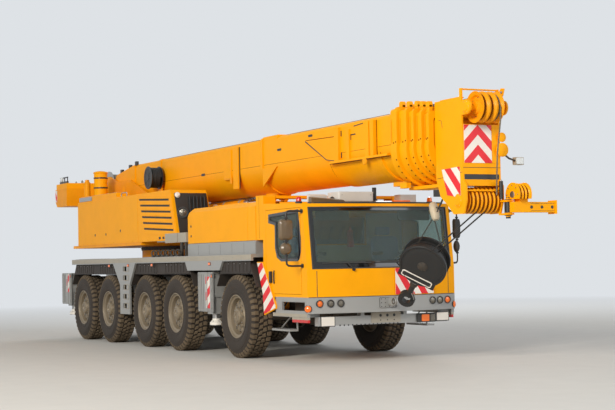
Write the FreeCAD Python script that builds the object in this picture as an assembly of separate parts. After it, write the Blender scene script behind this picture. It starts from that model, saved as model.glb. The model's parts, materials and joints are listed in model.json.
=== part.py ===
import FreeCAD, Part
import math
import os

V = FreeCAD.Vector

# Five-axle mobile crane in its travel position. Millimetres, X forward, Y left, Z up.
# Lengths along X are measured from axle 1 while modelling. The saved parts are shifted
# so that the middle of the overall length is X = 0.

# Overall
NOSE_X = 5720.0            # foremost point, the folded boom nose
TAIL_X = -10600.0          # rearmost point, the tail box of the superstructure
ORIGIN_SHIFT = -(NOSE_X + TAIL_X) / 2
HALF_WIDTH = 1500.0        # vehicle half width over tyres and deck
BODY_SETBACK = 150.0       # cab, cover and superstructure sides behind the outer face
BODY_HALF_W = HALF_WIDTH - BODY_SETBACK
FIT = 0.3                  # seat between pieces that lie on each other
RUN = 6.0                  # clearance between pieces that move past each other
CUT = 1.0                  # how far a cutting body reaches past a face
FULL_TURN = 360.0

# Wheels and axles
AXLES = [0.0, -2750.0, -4400.0, -6550.0, -8200.0]
TYRE_R = 705.0             # loaded radius, also the hub height
TYRE_WIDTH = 420.0
BEAD_R = 362.0             # where the tyre meets the rim flange
BEAD_INSET = 34.0          # bead and rim flange behind the tyre's side
TYRE_SIDE_BULGE = 14.0
SHOULDER = 46.0
RIM_WALL = 14.0
RIM_DISC_T = 22.0
RIM_DISC_INSET = 96.0      # disc face behind the tyre's outer face
RIM_DISH = 70.0            # ring between disc and rim wall
HUB_R = 128.0
HUB_OUT = 74.0             # how far the hub cap stands out of the disc
HUB_CAP_T = 18.0
HUB_FLANGE = 60.0          # width of the bolted ring round the hub
STUD_RING_R = 165.0
STUD_R = 15.0
STUD_OUT = 30.0
STUDS = 10
SPINDLE_R = 88.0
SPINDLE_END_GAP = 20.0
KINGPIN_Y = 985.0
KINGPIN_R = 42.0
KNUCKLE_R = 96.0
KNUCKLE_HALF_H = 128.0
STEER_ARM_LEN = 290.0
STEER_ARM_HALF_W = 40.0
STEER_ARM_HALF_T = 30.0
AXLE_TUBE_R = 92.0
YOKE_T = 42.0
YOKE_HALF_W = 70.0
YOKE_BACK_T = 40.0
YOKE_BACK_IN = 60.0
DIFF_R = 196.0
DIFF_NECK_R = 118.0
DIFF_NECK_OUT = 60.0
SHAFT_R = 48.0
STRUT_R = 66.0
STRUT_Y = 330.0
STRUT_DX = 150.0
SADDLE_HALF_W = 60.0
SADDLE_BELOW = 60.0
SADDLE_ABOVE = 40.0

# Carrier frame and outriggers
FRAME_HALF_W = 430.0
FRAME_BOTTOM = 980.0
DECK_TOP = 1756.0
DECK_T = 56.0
FRAME_TOP = DECK_TOP - DECK_T
FRAME_WALL = 16.0
FRAME_FRONT_X = 560.0
FRAME_REAR_X = -9690.0
FRONT_RAIL_BOTTOM = 800.0
FRONT_RAIL_END = 2240.0
FRONT_RAIL_Y = 350.0
FRONT_RAIL_HALF_W = 60.0
FRONT_RAIL_LAP = 300.0     # how far the front rails reach back into the frame
CROSS_LEN = 160.0          # cross member behind the bumper
CROSS_HALF_W = 900.0
ENGINE = (-1900.0, -300.0, 400.0, 2360.0)   # rear x, front x, half width, top
BEAM_W = 290.0             # outrigger beam across X
BEAM_H = 330.0
BEAM_Z = 1020.0            # underside of the outrigger beams
BEAM_LEN = 2840.0
BEAM_END_GAP = 34.0        # beam end behind the outer face of the vehicle
BEAM_WALL = 14.0
BOX_WALL = 18.0
OUTRIGGER_X = [-1300.0, -9385.0]
LEG_BOX = 236.0            # square housing of the jack at the beam end
LEG_BOX_BOTTOM = 720.0
LEG_BOX_TOP = 1460.0
LEG_CAP_T = 40.0
LEG_R = 70.0
LEG_TOP_GAP = 60.0
FOOT_BOTTOM = 520.0
FOOT_T = 60.0
SHIELD_BOTTOM = 760.0      # lower edge of the plate on the outer end of each beam
SHIELD_RIB_W = 36.0        # upright folds on that plate
SHIELD_RIB_OUT = 14.0
SHIELD_RIBS = (-250.0, 90.0, 250.0)

# Deck, skirts and mudguards
DECK_FRONT_X = 690.0
DECK_REAR_X = -8930.0
EDGE_H = 112.0             # height of the strip along the deck's edge
EDGE_T = 40.0
ARCH_TOP = 1640.0
# Wheel arches: top front x, top rear x, foot front x, foot rear x
ARCHES = [(490.0, -510.0, 790.0, -860.0),
          (-2200.0, -4850.0, -1900.0, -5190.0),
          (-6170.0, -8720.0, -5750.0, -9050.0)]
ARCH_FOOT = 1210.0         # where the slanted edges of the arches end
SKIRT_BOTTOM = [1490.0, 620.0]      # behind the first arch, behind the second
SKIRT_T = 40.0
GUARD_T = 12.0
GUARD_IN_Y = 1050.0
GUARD_GAP = 4.0            # between a mudguard's flap and the side panels' inner face
GUARD_LIP_Z = 1425.0       # lower edge of the flap, just above the tyres
LADDER_STEPS = (740.0, 930.0, 1120.0, 1310.0, 1490.0)   # lower edges of the step openings
LADDER_STEP_H = 96.0
LADDER_STEP_HALF_W = 105.0
LADDER_SIDE_T = 12.0       # how far the steps' side posts stand out of the panel
LADDER_POST_W = 26.0

# Driver's cab
CAB_HALF_W = BODY_HALF_W
CAB_REAR_X = 850.0
CAB_SIDE_FRONT_X = 2430.0
CAB_NOSE_X = 2640.0
CAB_FLOOR = 1050.0
CAB_BELT = 1500.0
CAB_ROOF = 2580.0
CAB_BROW = 2515.0          # height of the roof at the front, where it has sloped down
CAB_LEAN = 140.0           # how far the screen leans back at the roof
CAB_WALL = 46.0
CAB_CORNER_SHARE = 0.3     # how much of a wall's inset the front corners move back
BUMPER_BOTTOM = 797.0
BUMPER_REAR_X = 1290.0
BUMPER_WALL = 40.0
STEP_OPENING = (1520.0, 2330.0, 840.0, 975.0)  # step recess in the bumper's side
STEP_DEPTH = 260.0
SIDE_RAIL = (1180.0, 2400.0)               # rail below the bumper's side: rear x, front x
SIDE_RAIL_H = 60.0
SIDE_RAIL_W = 50.0
LOW_STEP = (1130.0, 1790.0, 505.0, 535.0)  # lower step: rear x, front x, low, high
LOW_STEP_DEPTH = 150.0
STEP_HANGER_T = 20.0
STEP_HANGER_LEAN = 430.0   # how far the rear hanger leans forward to the tread
BUMPER_LINK_HALF_W = 420.0
BUMPER_LINK_Z = (860.0, 1000.0)
LAMP_Y = (1170.0, 1000.0, 840.0)    # round lamps from the corner inwards
LAMP_Z = 950.0
LAMP_R = (56.0, 56.0, 56.0)
LAMP_DEPTH = 80.0
LAMP_OUT = 10.0            # how far the lamps stand out of the face
CROSSBAR_Z = (600.0, 740.0)
CROSSBAR_X = (2330.0, 2450.0)
CROSSBAR_HALF_W = 1180.0
CROSSBAR_HANGER_W = 60.0
TOW_EYE = (2790.0, 960.0)
TOW_EYE_R = 62.0
TOW_HOLE_R = 26.0
TOW_EYE_T = 44.0
DOOR_REAR_X = 960.0
DOOR_HINGE_GAP = 14.0      # wider gap ahead of the door, where its edge swings
DOOR_PIN_R = 14.0
DOOR_PIN_LEN = 30.0        # how far the hinge pins reach into sill and roof rail
DOOR_PIN_SETBACK = 46.0    # hinge axis behind the front edge of the door
DOOR_FRONT_X = 2240.0
DOOR_SLANT_X = 1215.0      # slanted lower rear corner: where it meets the sill
DOOR_SLANT_Z = 1470.0      # and where it meets the rear edge
DOOR_HANDLE = (1130.0, 1170.0, 1290.0, 1450.0)
HANDLE_OUT = 34.0
FENDER_TOP = 1620.0
FENDER_T = 26.0
# Lower outline of the fender plate, from below the door's corner round to the wheel
FENDER_FOOT = [(1340.0, 910.0), (1340.0, 860.0), (900.0, 745.0), (860.0, 1090.0), (830.0, 1205.0)]
FENDER_EASE = 180.0        # how far its rear edge slants back to the top
DOOR_TOP = 2465.0
# Door window: corners (x, z) from the lower rear, round the opening
DOOR_WINDOW = [(1345.0, 1850.0), (1400.0, 1720.0), (1530.0, 1665.0), (2110.0, 1665.0), (2165.0, 1740.0),
               (2120.0, 2390.0), (1110.0, 2350.0), (1110.0, 2290.0), (1345.0, 2250.0)]
REAR_WINDOW = (560.0, 1900.0, 2350.0)      # half width, low, high
PANE_SINK = 10.0
SCREEN_TOP = 2455.0
SCREEN_SIDE = 90.0         # pillar between the screen's edge and the cab's side
SCREEN_SINK = 8.0
GLASS_T = 8.0
SEAT_Y = (520.0, 1040.0)
SEAT_X = (1060.0, 1150.0, 1200.0, 1680.0)  # back rear, pad rear, back front, pad front
SEAT_Z = (1420.0, 1540.0, 2180.0)          # pad low, pad high, back high
SEAT_PEDESTAL_IN = 40.0
DASH_X = (2080.0, 2270.0)
DASH_TOP = 1560.0
FITTINGS_GAP = 40.0        # between the dashboard's ends and the doors
WHEEL_LEAN = 0.5
WHEEL_R = 210.0            # steering wheel
WHEEL_RIM_R = 16.0
WHEEL_CENTRE = (1900.0, 1640.0)
COLUMN_R = 34.0
MIRROR_X = (2255.0, 2335.0)
MIRROR_OUT = (170.0, 400.0)     # mirror housing beside the cab's side
MIRROR_Z = (1950.0, 2270.0)
MIRROR_WIDE_Z = 1815.0          # round mirror below it
MIRROR_WIDE_R = 98.0
MIRROR_ARM_R = 16.0
MIRROR_ARM_Z = (1545.0, 2400.0)
ROOF_TRAY = (1150.0, 2120.0, 1180.0)       # rear x, front x, half width
ROOF_TRAY_H = 26.0
ROOF_REST = (1500.0, 1760.0, 320.0)        # boom rest: rear x, front x, half width
ROOF_REST_H = 60.0

# Engine cover behind the cab
COVER_REAR_X = -2400.0
COVER_FRONT_X = 570.0
COVER_TOP = 2630.0
COVER_BASE_TOP = 1980.0
COVER_CHAMFER = 150.0      # sloped rear edge of the top
COVER_SIDE_CHAMFER = 75.0
COVER_WALL = 20.0
COVER_SPLIT_X = 250.0      # seam between the long cover and its front end
COVER_SEAM = 12.0
COVER_SEAM_DEPTH = 8.0

# Superstructure
SLEW_X = -6100.0
RING_R = 820.0
RING_TOP = 2070.0
RACE_R = 650.0             # inner race on the carrier, inside the ring
RACE_WALL = 90.0
RACE_TOP = 1990.0
RING_SEAT_OUT = 40.0
RING_SEAT_H = 260.0
TABLE_X = (-9300.0, -4900.0)
TABLE_T = 60.0
TABLE_SETBACK = 10.0       # table's edge behind the housings' sides
CHEEK_Y = 505.0            # inner face of the turntable's side plates
CHEEK_T = 40.0
CHEEK_RIM = 200.0          # side plate round the boom pivot
CHEEK_TOE = 430.0          # height of its front end
CHEEK_STEP = 60.0
HOUSING_X = (-8920.0, -2900.0)
HOUSING_TOP = 3040.0
HOUSING_IN_Y = -600.0
HOUSING_SLANT = 320.0
HOUSING_EASE = 90.0        # eased upper front edge
HOUSING_SPLIT_X = -5060.0  # seam between the plain and the louvred panel
PANEL_GAP = 14.0
PANEL_DEPTH = 12.0
LOUVRES = 6
LOUVRE_X = (-4560.0, -3420.0)
LOUVRE_Z = (2290.0, 2900.0)
LOUVRE_H = 46.0
LOUVRE_DEPTH = 60.0
HOUSING_PLATE = (-8860.0, -6400.0, 1320.0, 1050.0, 110.0)   # rear x, front x, outer y, inner y, height
UPRIGHT_CYL = (-8460.0, -960.0, 150.0, 640.0)     # x, y, radius, height above the housing
TANK_X = (-8900.0, -6300.0)
TANK_IN_Y = 620.0
TANK_TOP = 2900.0
TAIL_BOX = (-10600.0, -9750.0, 3010.0, 3420.0)
TAIL_CHAMFER = 120.0
PIVOT_X = -8100.0
PIVOT_Z = 3300.0
PIVOT_R = 80.0
WINCH_X = -9230.0
WINCH_Z = 3480.0
WINCH_R = 300.0
WINCH_CORE_R = 210.0
WINCH_FLANGE_T = 30.0
WINCH_AXLE_R = 60.0
WINCH_PLATE_R = 170.0      # side plate round the winch's axle
REEL = (-5880.0, 3430.0)
REEL_R = 240.0
REEL_CORE_R = 120.0
REEL_OUT = 260.0           # reel's length from the side plate outwards
REEL_FLANGE_T = 24.0

# Boom
BOOM_TOP = 3822.0
BOOM_BOTTOM = 2850.0
BOOM_HALF_W = 480.0
BOOM_WALL = 10.0
BOOM_STEP = 32.0           # each section is this much smaller all round
BOOM_CORNER = 60.0
BOOM_CREASE = 500.0        # height of the round lower half
BOOM_REAR_X = -7560.0
COLLAR_OUT = 58.0
COLLAR_DROP = 90.0         # how much deeper the collars' rounded bottoms are
# Collar of each section: rear x, front x
COLLARS = [(3700.0, 3900.0), (3906.0, 4130.0), (4136.0, 4280.0), (4286.0, 4450.0),
           (4456.0, 4600.0)]
COLLAR_BAND_OUT = 16.0     # raised band round each collar
COLLAR_BAND_W = 60.0
COLLAR_LUG_H = 66.0        # lifting lug on top of each collar
COLLAR_LUG_L = 56.0
COLLAR_LUG_Y = 170.0
COLLAR_LUG_T = 60.0
TAIL_STEP = 70.0           # each section starts this much ahead of the one outside it
PAD_LEN = 160.0
# Bands round the base section: rear x, front x, how far they stand out
BASE_BANDS = [(-6020.0, -5930.0, 14.0), (-1000.0, -910.0, 22.0)]
BASE_FLANGE = (-910.0, -330.0, 34.0)       # raised top flange ahead of the second band
# Side stiffeners of the base section: rear x, front x, low, high, how far they stand out
SIDE_RIBS = [(-2650.0, -2310.0, 3200.0, 3740.0, 18.0), (-2180.0, -1950.0, 2990.0, 3760.0, 34.0),
             (1860.0, 2000.0, 3220.0, 3760.0, 46.0), (2230.0, 2330.0, 3220.0, 3700.0, 30.0),
             (2910.0, 3020.0, 3220.0, 3770.0, 62.0), (3060.0, 3170.0, 3220.0, 3770.0, 62.0)]
SIDE_SHELF = (1760.0, 3640.0, 3185.0, 35.0, 92.0)   # rear x, front x, low, thickness, depth
SIDE_POCKET = [(780.0, 3660.0), (1860.0, 3640.0), (1860.0, 3215.0), (1560.0, 3250.0)]
SIDE_POCKET_OUT = 26.0
SIDE_GUSSET = [(-910.0, 2960.0), (-910.0, 3290.0), (-330.0, 3290.0)]
SIDE_GUSSET_OUT = 22.0
SADDLE = (1650.0, 3640.0, 24.0)            # thicker trough below the shelf: rear x, front x, out
SADDLE_RIB = (3210.0, 3340.0, 50.0)
FOOT_PLATE_T = 40.0
FOOT_LAP = 500.0           # how far the foot plates reach ahead of the tube's rear end
FOOT_Z = (3000.0, 3700.0)
HEAD_X = (4606.0, 5310.0)
HEAD_HALF_W = 322.0
HEAD_PLATE_T = 26.0
HEAD_LAP = 40.0
HEAD_TOP = 3890.0
HEAD_BOSS_R = 105.0        # eye of the side plates round the upper pin
GUARD_Z = 4006.0           # upper guard rod, on brackets above the side plates
GUARD_BRACKET_L = 50.0
HEAD_FRONT = (2800.0, 3510.0)              # front plate's lower and upper edge
HEAD_FRONT_T = 30.0
HEAD_CHIN = (2636.0, 2725.0)               # box under the slot below the front plate
HEAD_CHIN_LEN = 300.0
HEAD_CHIN_OUT = 70.0       # side plates ahead of the front plate, beside the lower sheaves
HEAD_HEEL = 300.0
HEAD_TOE = 130.0
GUARD_TURN = 40.0          # lower guard rod's place round the lower sheaves
HEAD_BACK_Z = (2990.0, 3640.0)
HEAD_SHOULDER_Z = 2760.0   # where the side plates' lower rear edge begins
HEAD_ELBOW = (110.0, 2500.0)               # corner on that edge: ahead of the rear, height
GUARD_ROD_R = 12.0
UPPER_PIN = (5430.0, 3740.0)
LOWER_PIN = (5180.0, 2430.0)
HEAD_PIN_R = 45.0
NOSE_HINGE = (5460.0, 330.0)
NOSE_HINGE_R = 36.0
NOSE_LUG_T = 26.0
NOSE_LUG_Z = (2215.0, 2400.0)
NOSE_LUG_HALF_W = 60.0
NOSE_BEAM_END_Y = 1050.0
NOSE_BEAM_X = (5480.0, 5620.0)
NOSE_END_T = 24.0          # plate on the outer end of the beam
NOSE_BOSS_R = 50.0
NOSE_BACK = 10.0           # how far the nose reaches back past its hinge
NOSE_ARM_W = 90.0
NOSE_SHEAVE = (5550.0, 2500.0)
NOSE_SHEAVE_Y = (345.0, 560.0)             # outer faces of the cheeks beside the nose's sheaves
NOSE_SHEAVE_LOW = 2435.0   # where cheeks and sheaves end, above the upper lug
NOSE_RISER_Y = 422.0       # block between beam and cheeks starts here, outside the lug's corner as the nose swings
NOSE_CHEEK_T = 20.0
NOSE_CHEEK_R = 170.0
NOSE_SHEAVE_R = 160.0
NOSE_GROOVE = 30.0
NOSE_SHEAVES = 3
UPPER_SHEAVE_R = 225.0
LOWER_SHEAVE_R = 190.0
UPPER_SHEAVES = 3
LOWER_SHEAVES = 7
UPPER_PITCH = 120.0        # spacing of the sheaves on their pin
LOWER_PITCH = 70.0
UPPER_GROOVE = 45.6        # depth of the grooves
LOWER_GROOVE = 26.6
ROPE_R = 11.0

# Hook block, hanging below the head and pulled back to the bumper
HOOK_BLOCK = (3720.0, 1570.0)
HOOK_LEAN = 45.0           # its own axis leans back from upright
HOOK_TWIST = 41.0          # and is turned about that axis from facing forward
HOOK_R = 370.0
HOOK_HALF_T = 130.0
HOOK_CHEEK_T = 34.0
HOOK_SHEAVE_R = 320.0
HOOK_SHEAVE_GAP = 12.0
HOOK_CHORD = 330.0         # straight lower edge below the centre
HOOK_FOOT_HALF_W = 300.0
HOOK_DROP = 790.0          # hook's bowl below the block's centre
HOOK_BOWL_R = 130.0
HOOK_BORE_R = 62.0
HOOK_HALF_W = 48.0
HOOK_NECK_R = 44.0
HOOK_COLLAR_R = 96.0
HOOK_COLLAR_T = 60.0
HOOK_ROPES_Y = (-1, 1)     # lower sheaves that carry the ropes, counted from the middle
HOOK_PIN_R = 50.0

# Luffing cylinder
LUFF_BASE = (-5720.0, 2690.0)
LUFF_EYE = (-1400.0, 2745.0)
BARREL_R = 108.0
BARREL_LEN = 3250.0        # from the base pin to the gland
BARREL_START = 60.0
BARREL_EYE_R = 140.0
GLAND_R = 113.0
GLAND_LEN = 150.0
ROD_R = 85.0
ROD_TAIL = 146.0           # where the rod begins ahead of the base pin
BORE_END = 140.0
ROD_EYE_GAP = 40.0
BASE_PIN_R = 70.0
BASE_EYE_R = 150.0
EYE_PIN_R = 50.0
EYE_PLATE_T = 50.0
EYE_PLATE_RIM = 80.0
EYE_PLATE_LEN = (200.0, 700.0)             # how far its foot reaches back and forward
LUFF_EYE_HALF_W = 90.0

# Crane cab
CRANE_CAB_X = (-5900.0, -4250.0)
CRANE_CAB_OUT = 80.0       # its left side stands out past the body's side
CRANE_CAB_Y = (620.0, BODY_HALF_W + CRANE_CAB_OUT)
CRANE_CAB_TOP = 3620.0
CRANE_CAB_WALL = 40.0
CRANE_CAB_NOSE = 120.0     # how far the screen's knee stands ahead
CRANE_CAB_KNEE = 420.0     # height of that knee above the floor
CRANE_CAB_BROW = 60.0
CRANE_DOORWAY = (320.0, 420.0, 90.0)       # behind its rear edge, ahead of its front edge, below the roof
CRANE_RAIL_T = 30.0
CRANE_RAIL_LAP = 20.0      # how far a door reaches past its doorway
CRANE_SCREEN_BAND = 60.0
CRANE_SEAT = (-5560.0, -5040.0, 520.0, 1180.0)    # rear x, front x, pad height, back height
CRANE_SEAT_T = 120.0
CRANE_SEAT_HALF_W = 240.0
CAB_HINGE_R = 40.0
CAB_HINGE_BACK = 70.0      # tilt axis behind the cab's rear wall
CAB_HINGE_UP = 80.0        # tilt axis above the table
CAB_HINGE_EYE_R = 66.0
CAB_HINGE_EYE_T = 40.0


# Basic forms

def block(x0, x1, y0, y1, z0, z1):
    """Box between two corners, whichever of each pair is the lower."""
    (x0, x1), (y0, y1), (z0, z1) = sorted((x0, x1)), sorted((y0, y1)), sorted((z0, z1))
    return Part.makeBox(x1 - x0, y1 - y0, z1 - z0, V(x0, y0, z0))


def place(plane, a, b, depth):
    """A point given in a drawing plane, at a depth along that plane's normal."""
    if plane == "xy":
        return V(a, b, depth)
    if plane == "xz":
        return V(a, depth, b)
    return V(depth, a, b)


def outline(plane, points, depth):
    """Closed wire of lines and arcs. A point of four numbers is an arc: middle, then end."""
    edges = []
    last = points[0][-2:]
    for point in points[1:] + [points[0][-2:]]:
        end = point[-2:]
        if len(point) == 4:
            middle = place(plane, point[0], point[1], depth)
            edges.append(Part.Arc(place(plane, *last, depth), middle,
                                  place(plane, *end, depth)).toShape())
        elif math.dist(last, end) > 1e-6:
            edges.append(Part.makeLine(place(plane, *last, depth), place(plane, *end, depth)))
        last = end
    return Part.Wire(edges)


def slab(plane, points, low, high):
    """An outline drawn in a plane and pulled from low to high along its normal."""
    low, high = min(low, high), max(low, high)
    normal = place(plane, 0, 0, high - low)
    return Part.Face(outline(plane, points, low)).extrude(normal)


def rod(axis, centre, radius, low, high):
    """Cylinder along an axis; the centre is given by the other two coordinates."""
    low, high = min(low, high), max(low, high)
    if axis == "x":
        return Part.makeCylinder(radius, high - low, V(low, *centre), V(1, 0, 0))
    if axis == "y":
        return Part.makeCylinder(radius, high - low, V(centre[0], low, centre[1]), V(0, 1, 0))
    return Part.makeCylinder(radius, high - low, V(*centre, low), V(0, 0, 1))


def pipe(axis, centre, outer, inner, low, high):
    """Round tube along an axis."""
    return rod(axis, centre, outer, low, high).cut(rod(axis, centre, inner, low, high))


def strut(start, end, radius):
    """Round bar between two points."""
    a, b = V(*start), V(*end)
    return Part.makeCylinder(radius, (b - a).Length, a, b - a)


def turned_y(profile, x, z):
    """A profile of (y, radius) points turned about a line along Y through x, z."""
    wire = outline("xy", [flip(p) for p in profile], 0.0)
    solid = Part.Face(wire).revolve(V(0, 0, 0), V(0, 1, 0), FULL_TURN)
    return solid.translated(V(x, 0, z))


def flip(point):
    """Swap (y, radius) pairs to (radius, y)."""
    if len(point) == 4:
        return (point[1], point[0], point[3], point[2])
    return (point[1], point[0])


def joined(shapes):
    """Fuse a list of shapes into one and drop leftover seams."""
    first, rest = shapes[0], shapes[1:]
    return (first.fuse(rest) if rest else first).removeSplitter()


def other_side(shape):
    """The same form on the other side of the vehicle's centre plane."""
    return shape.mirror(V(0, 0, 0), V(0, 1, 0))


def both_sides(shapes):
    """Forms and their mirror images, as one list."""
    return shapes + [other_side(shape) for shape in shapes]


def save(node, shapes):
    """Write one node's solids to its own file, shifted to the row's origin."""
    solids = [s for shape in shapes for s in shape.Solids]
    moved = Part.makeCompound(solids)
    moved.translate(V(ORIGIN_SHIFT, 0, 0))
    moved.exportStep("parts/%s.step" % node)


# Wheels, knuckles and axles

def tyre_solid(x):
    """Left tyre turned about the wheel's axis at x, its outer face at the vehicle's half width."""
    outer, inner = HALF_WIDTH, HALF_WIDTH - TYRE_WIDTH
    side, mid_r = TYRE_SIDE_BULGE, (BEAD_R + TYRE_R) / 2
    profile = [(outer - BEAD_INSET, BEAD_R + FIT), (outer, mid_r, outer - side, TYRE_R - SHOULDER),
               (outer - SHOULDER, TYRE_R), (inner + SHOULDER, TYRE_R),
               (inner + side, TYRE_R - SHOULDER), (inner, mid_r, inner + BEAD_INSET, BEAD_R + FIT)]
    return turned_y(profile, x, TYRE_R)


def rim_solid(x):
    """Rim with flanges, a dished disc, the hub and its ring of studs, for the left side."""
    outer = HALF_WIDTH - BEAD_INSET
    inner = HALF_WIDTH - TYRE_WIDTH + BEAD_INSET
    disc = HALF_WIDTH - RIM_DISC_INSET
    wall = BEAD_R - RIM_WALL
    cap = disc + HUB_OUT
    back = disc - RIM_DISC_T
    hub_back = KINGPIN_Y + KNUCKLE_R + RUN
    profile = [(hub_back, SPINDLE_R + FIT), (cap - HUB_CAP_T, SPINDLE_R + FIT), (cap - HUB_CAP_T, 0.0),
               (cap, 0.0), (cap, HUB_R - 24.0), (cap - 16.0, HUB_R), (disc + 14.0, HUB_R + 12.0),
               (disc, HUB_R + HUB_FLANGE), (disc, wall - RIM_DISH), (disc + 26.0, wall - 30.0),
               (outer - 20.0, wall), (outer, wall), (outer, BEAD_R), (inner, BEAD_R), (inner, wall),
               (back + 6.0, wall - RIM_WALL), (back, wall - RIM_DISH), (back, HUB_R + 30.0),
               (hub_back, HUB_R + 8.0)]
    studs = []
    for number in range(STUDS):
        turn = 2 * math.pi * number / STUDS
        centre = (x + STUD_RING_R * math.cos(turn), TYRE_R + STUD_RING_R * math.sin(turn))
        studs.append(rod("y", centre, STUD_R, disc - RIM_DISC_T / 2, disc + STUD_OUT))
    return joined([turned_y(profile, x, TYRE_R)] + studs)


def build_wheels():
    """Ten wheels: each node holds a tyre and its rim."""
    for number, x in enumerate(AXLES, start=1):
        shapes = [tyre_solid(x), rim_solid(x)]
        save("wheel_%d_left" % number, shapes)
        save("wheel_%d_right" % number, [other_side(s) for s in shapes])


def knuckle(x):
    """Steering knuckle with its kingpin and the spindle that carries the wheel, left side."""
    z = TYRE_R
    tall = KNUCKLE_HALF_H + YOKE_T
    body = rod("z", (x, KINGPIN_Y), KNUCKLE_R, z - KNUCKLE_HALF_H, z + KNUCKLE_HALF_H)
    pin = rod("z", (x, KINGPIN_Y), KINGPIN_R, z - tall, z + tall)
    reach = HALF_WIDTH - RIM_DISC_INSET + HUB_OUT - HUB_CAP_T - SPINDLE_END_GAP
    spindle = rod("y", (x, z), SPINDLE_R, KINGPIN_Y, reach)
    arm = block(x - STEER_ARM_LEN, x, KINGPIN_Y - STEER_ARM_HALF_W, KINGPIN_Y + STEER_ARM_HALF_W,
                z - STEER_ARM_HALF_T, z + STEER_ARM_HALF_T)
    return joined([body, pin, spindle, arm])


def yoke(x, side):
    """Fork of the axle casing above and below one knuckle."""
    z = TYRE_R
    wall_y = side * (KINGPIN_Y - KNUCKLE_R - RUN - YOKE_BACK_IN)
    parts = []
    for up in (1, -1):
        low, high = z + up * (KNUCKLE_HALF_H + FIT), z + up * (KNUCKLE_HALF_H + FIT + YOKE_T)
        head = rod("z", (x, side * KINGPIN_Y), KNUCKLE_R, low, high)
        arm = block(x - YOKE_HALF_W, x + YOKE_HALF_W, wall_y, side * KINGPIN_Y, low, high)
        parts.append(head.fuse(arm).cut(rod("z", (x, side * KINGPIN_Y), KINGPIN_R + FIT, low, high)))
    tall = KNUCKLE_HALF_H + FIT + YOKE_T
    parts.append(block(x - YOKE_HALF_W, x + YOKE_HALF_W, wall_y, wall_y + side * YOKE_BACK_T, z - tall, z + tall))
    return parts


def axle_beam(x):
    """Axle casing with its differential, the yokes round both knuckles and the suspension struts."""
    z = TYRE_R
    tube_end = KINGPIN_Y - KNUCKLE_R - RUN
    casing = rod("y", (x, z), AXLE_TUBE_R, -tube_end, tube_end)
    bulb = Part.makeSphere(DIFF_R, V(x, 0, z))
    reach = DIFF_R + DIFF_NECK_OUT
    neck = rod("x", (0.0, z), DIFF_NECK_R, x - reach, x + reach)
    struts = [rod("z", (x + dx, STRUT_Y), STRUT_R, z, FRAME_BOTTOM) for dx in (-STRUT_DX, STRUT_DX)]
    long = STRUT_DX + STRUT_R
    saddle = block(x - long, x + long, STRUT_Y - SADDLE_HALF_W, STRUT_Y + SADDLE_HALF_W,
                   z - SADDLE_BELOW, z + SADDLE_ABOVE)
    return joined([casing, bulb, neck] + yoke(x, 1) + yoke(x, -1) + both_sides(struts + [saddle]))


def build_axles():
    """Axle casings, the shafts between them and the knuckles at their ends."""
    shafts = [rod("x", (0.0, TYRE_R), SHAFT_R, rear, front) for front, rear in zip(AXLES, AXLES[1:])]
    save("axles_and_shafts", [joined([axle_beam(x) for x in AXLES] + shafts)])
    for number, x in enumerate(AXLES, start=1):
        shape = knuckle(x)
        save("knuckle_%d_left" % number, [shape])
        save("knuckle_%d_right" % number, [other_side(shape)])


# Carrier frame and outriggers

def beam_slots(x):
    """X positions of the right and the left beam in one outrigger box."""
    offset = (BEAM_W + BOX_WALL) / 2 + RUN
    return x + offset, x - offset


def box_half_length():
    """Half of an outrigger box along X, over its outer walls."""
    return BEAM_W + 2 * RUN + 1.5 * BOX_WALL


def outrigger_box(x):
    """Cross box that two outrigger beams slide in."""
    half = box_half_length()
    end = HALF_WIDTH - BEAM_END_GAP - LEG_BOX - RUN
    return block(x - half, x + half, -end, end, BEAM_Z - RUN - BOX_WALL, BEAM_Z + BEAM_H + RUN + BOX_WALL)


def beam_channels(x):
    """The two passages through an outrigger box, as cutting bodies."""
    half = BEAM_W / 2 + RUN
    return [block(slot - half, slot + half, -HALF_WIDTH, HALF_WIDTH, BEAM_Z - FIT, BEAM_Z + BEAM_H + RUN)
            for slot in beam_slots(x)]


def carrier_frame():
    """Box frame from the cab to the rear outriggers, with the cross boxes and the engine in it."""
    w, t = FRAME_HALF_W, FRAME_WALL
    main = block(FRAME_REAR_X, FRAME_FRONT_X, -w, w, FRAME_BOTTOM, FRAME_TOP)
    hollow = block(FRAME_REAR_X - CUT, FRAME_FRONT_X + CUT, -w + t, w - t, FRAME_BOTTOM + t, FRAME_TOP - t)
    rail = block(FRAME_FRONT_X - FRONT_RAIL_LAP, FRONT_RAIL_END, FRONT_RAIL_Y - FRONT_RAIL_HALF_W,
                 FRONT_RAIL_Y + FRONT_RAIL_HALF_W, FRONT_RAIL_BOTTOM, CAB_FLOOR)
    cross = block(FRONT_RAIL_END - CROSS_LEN, FRONT_RAIL_END, -CROSS_HALF_W, CROSS_HALF_W,
                  FRONT_RAIL_BOTTOM, CAB_FLOOR)
    inner = RACE_R - RACE_WALL
    seat = pipe("z", (SLEW_X, 0.0), RING_R + RING_SEAT_OUT, inner, FRAME_TOP - RING_SEAT_H, DECK_TOP)
    race = pipe("z", (SLEW_X, 0.0), RACE_R, inner, FRAME_TOP, RACE_TOP)
    x0, x1, half, top = ENGINE
    engine = block(x0, x1, -half, half, FRAME_TOP, top)
    frame = joined([main.cut(hollow)] + both_sides([rail]) + [cross, seat, race, engine]
                   + [outrigger_box(x) for x in OUTRIGGER_X])
    for x in OUTRIGGER_X:
        for channel in beam_channels(x):
            frame = frame.cut(channel)
    return frame


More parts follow.
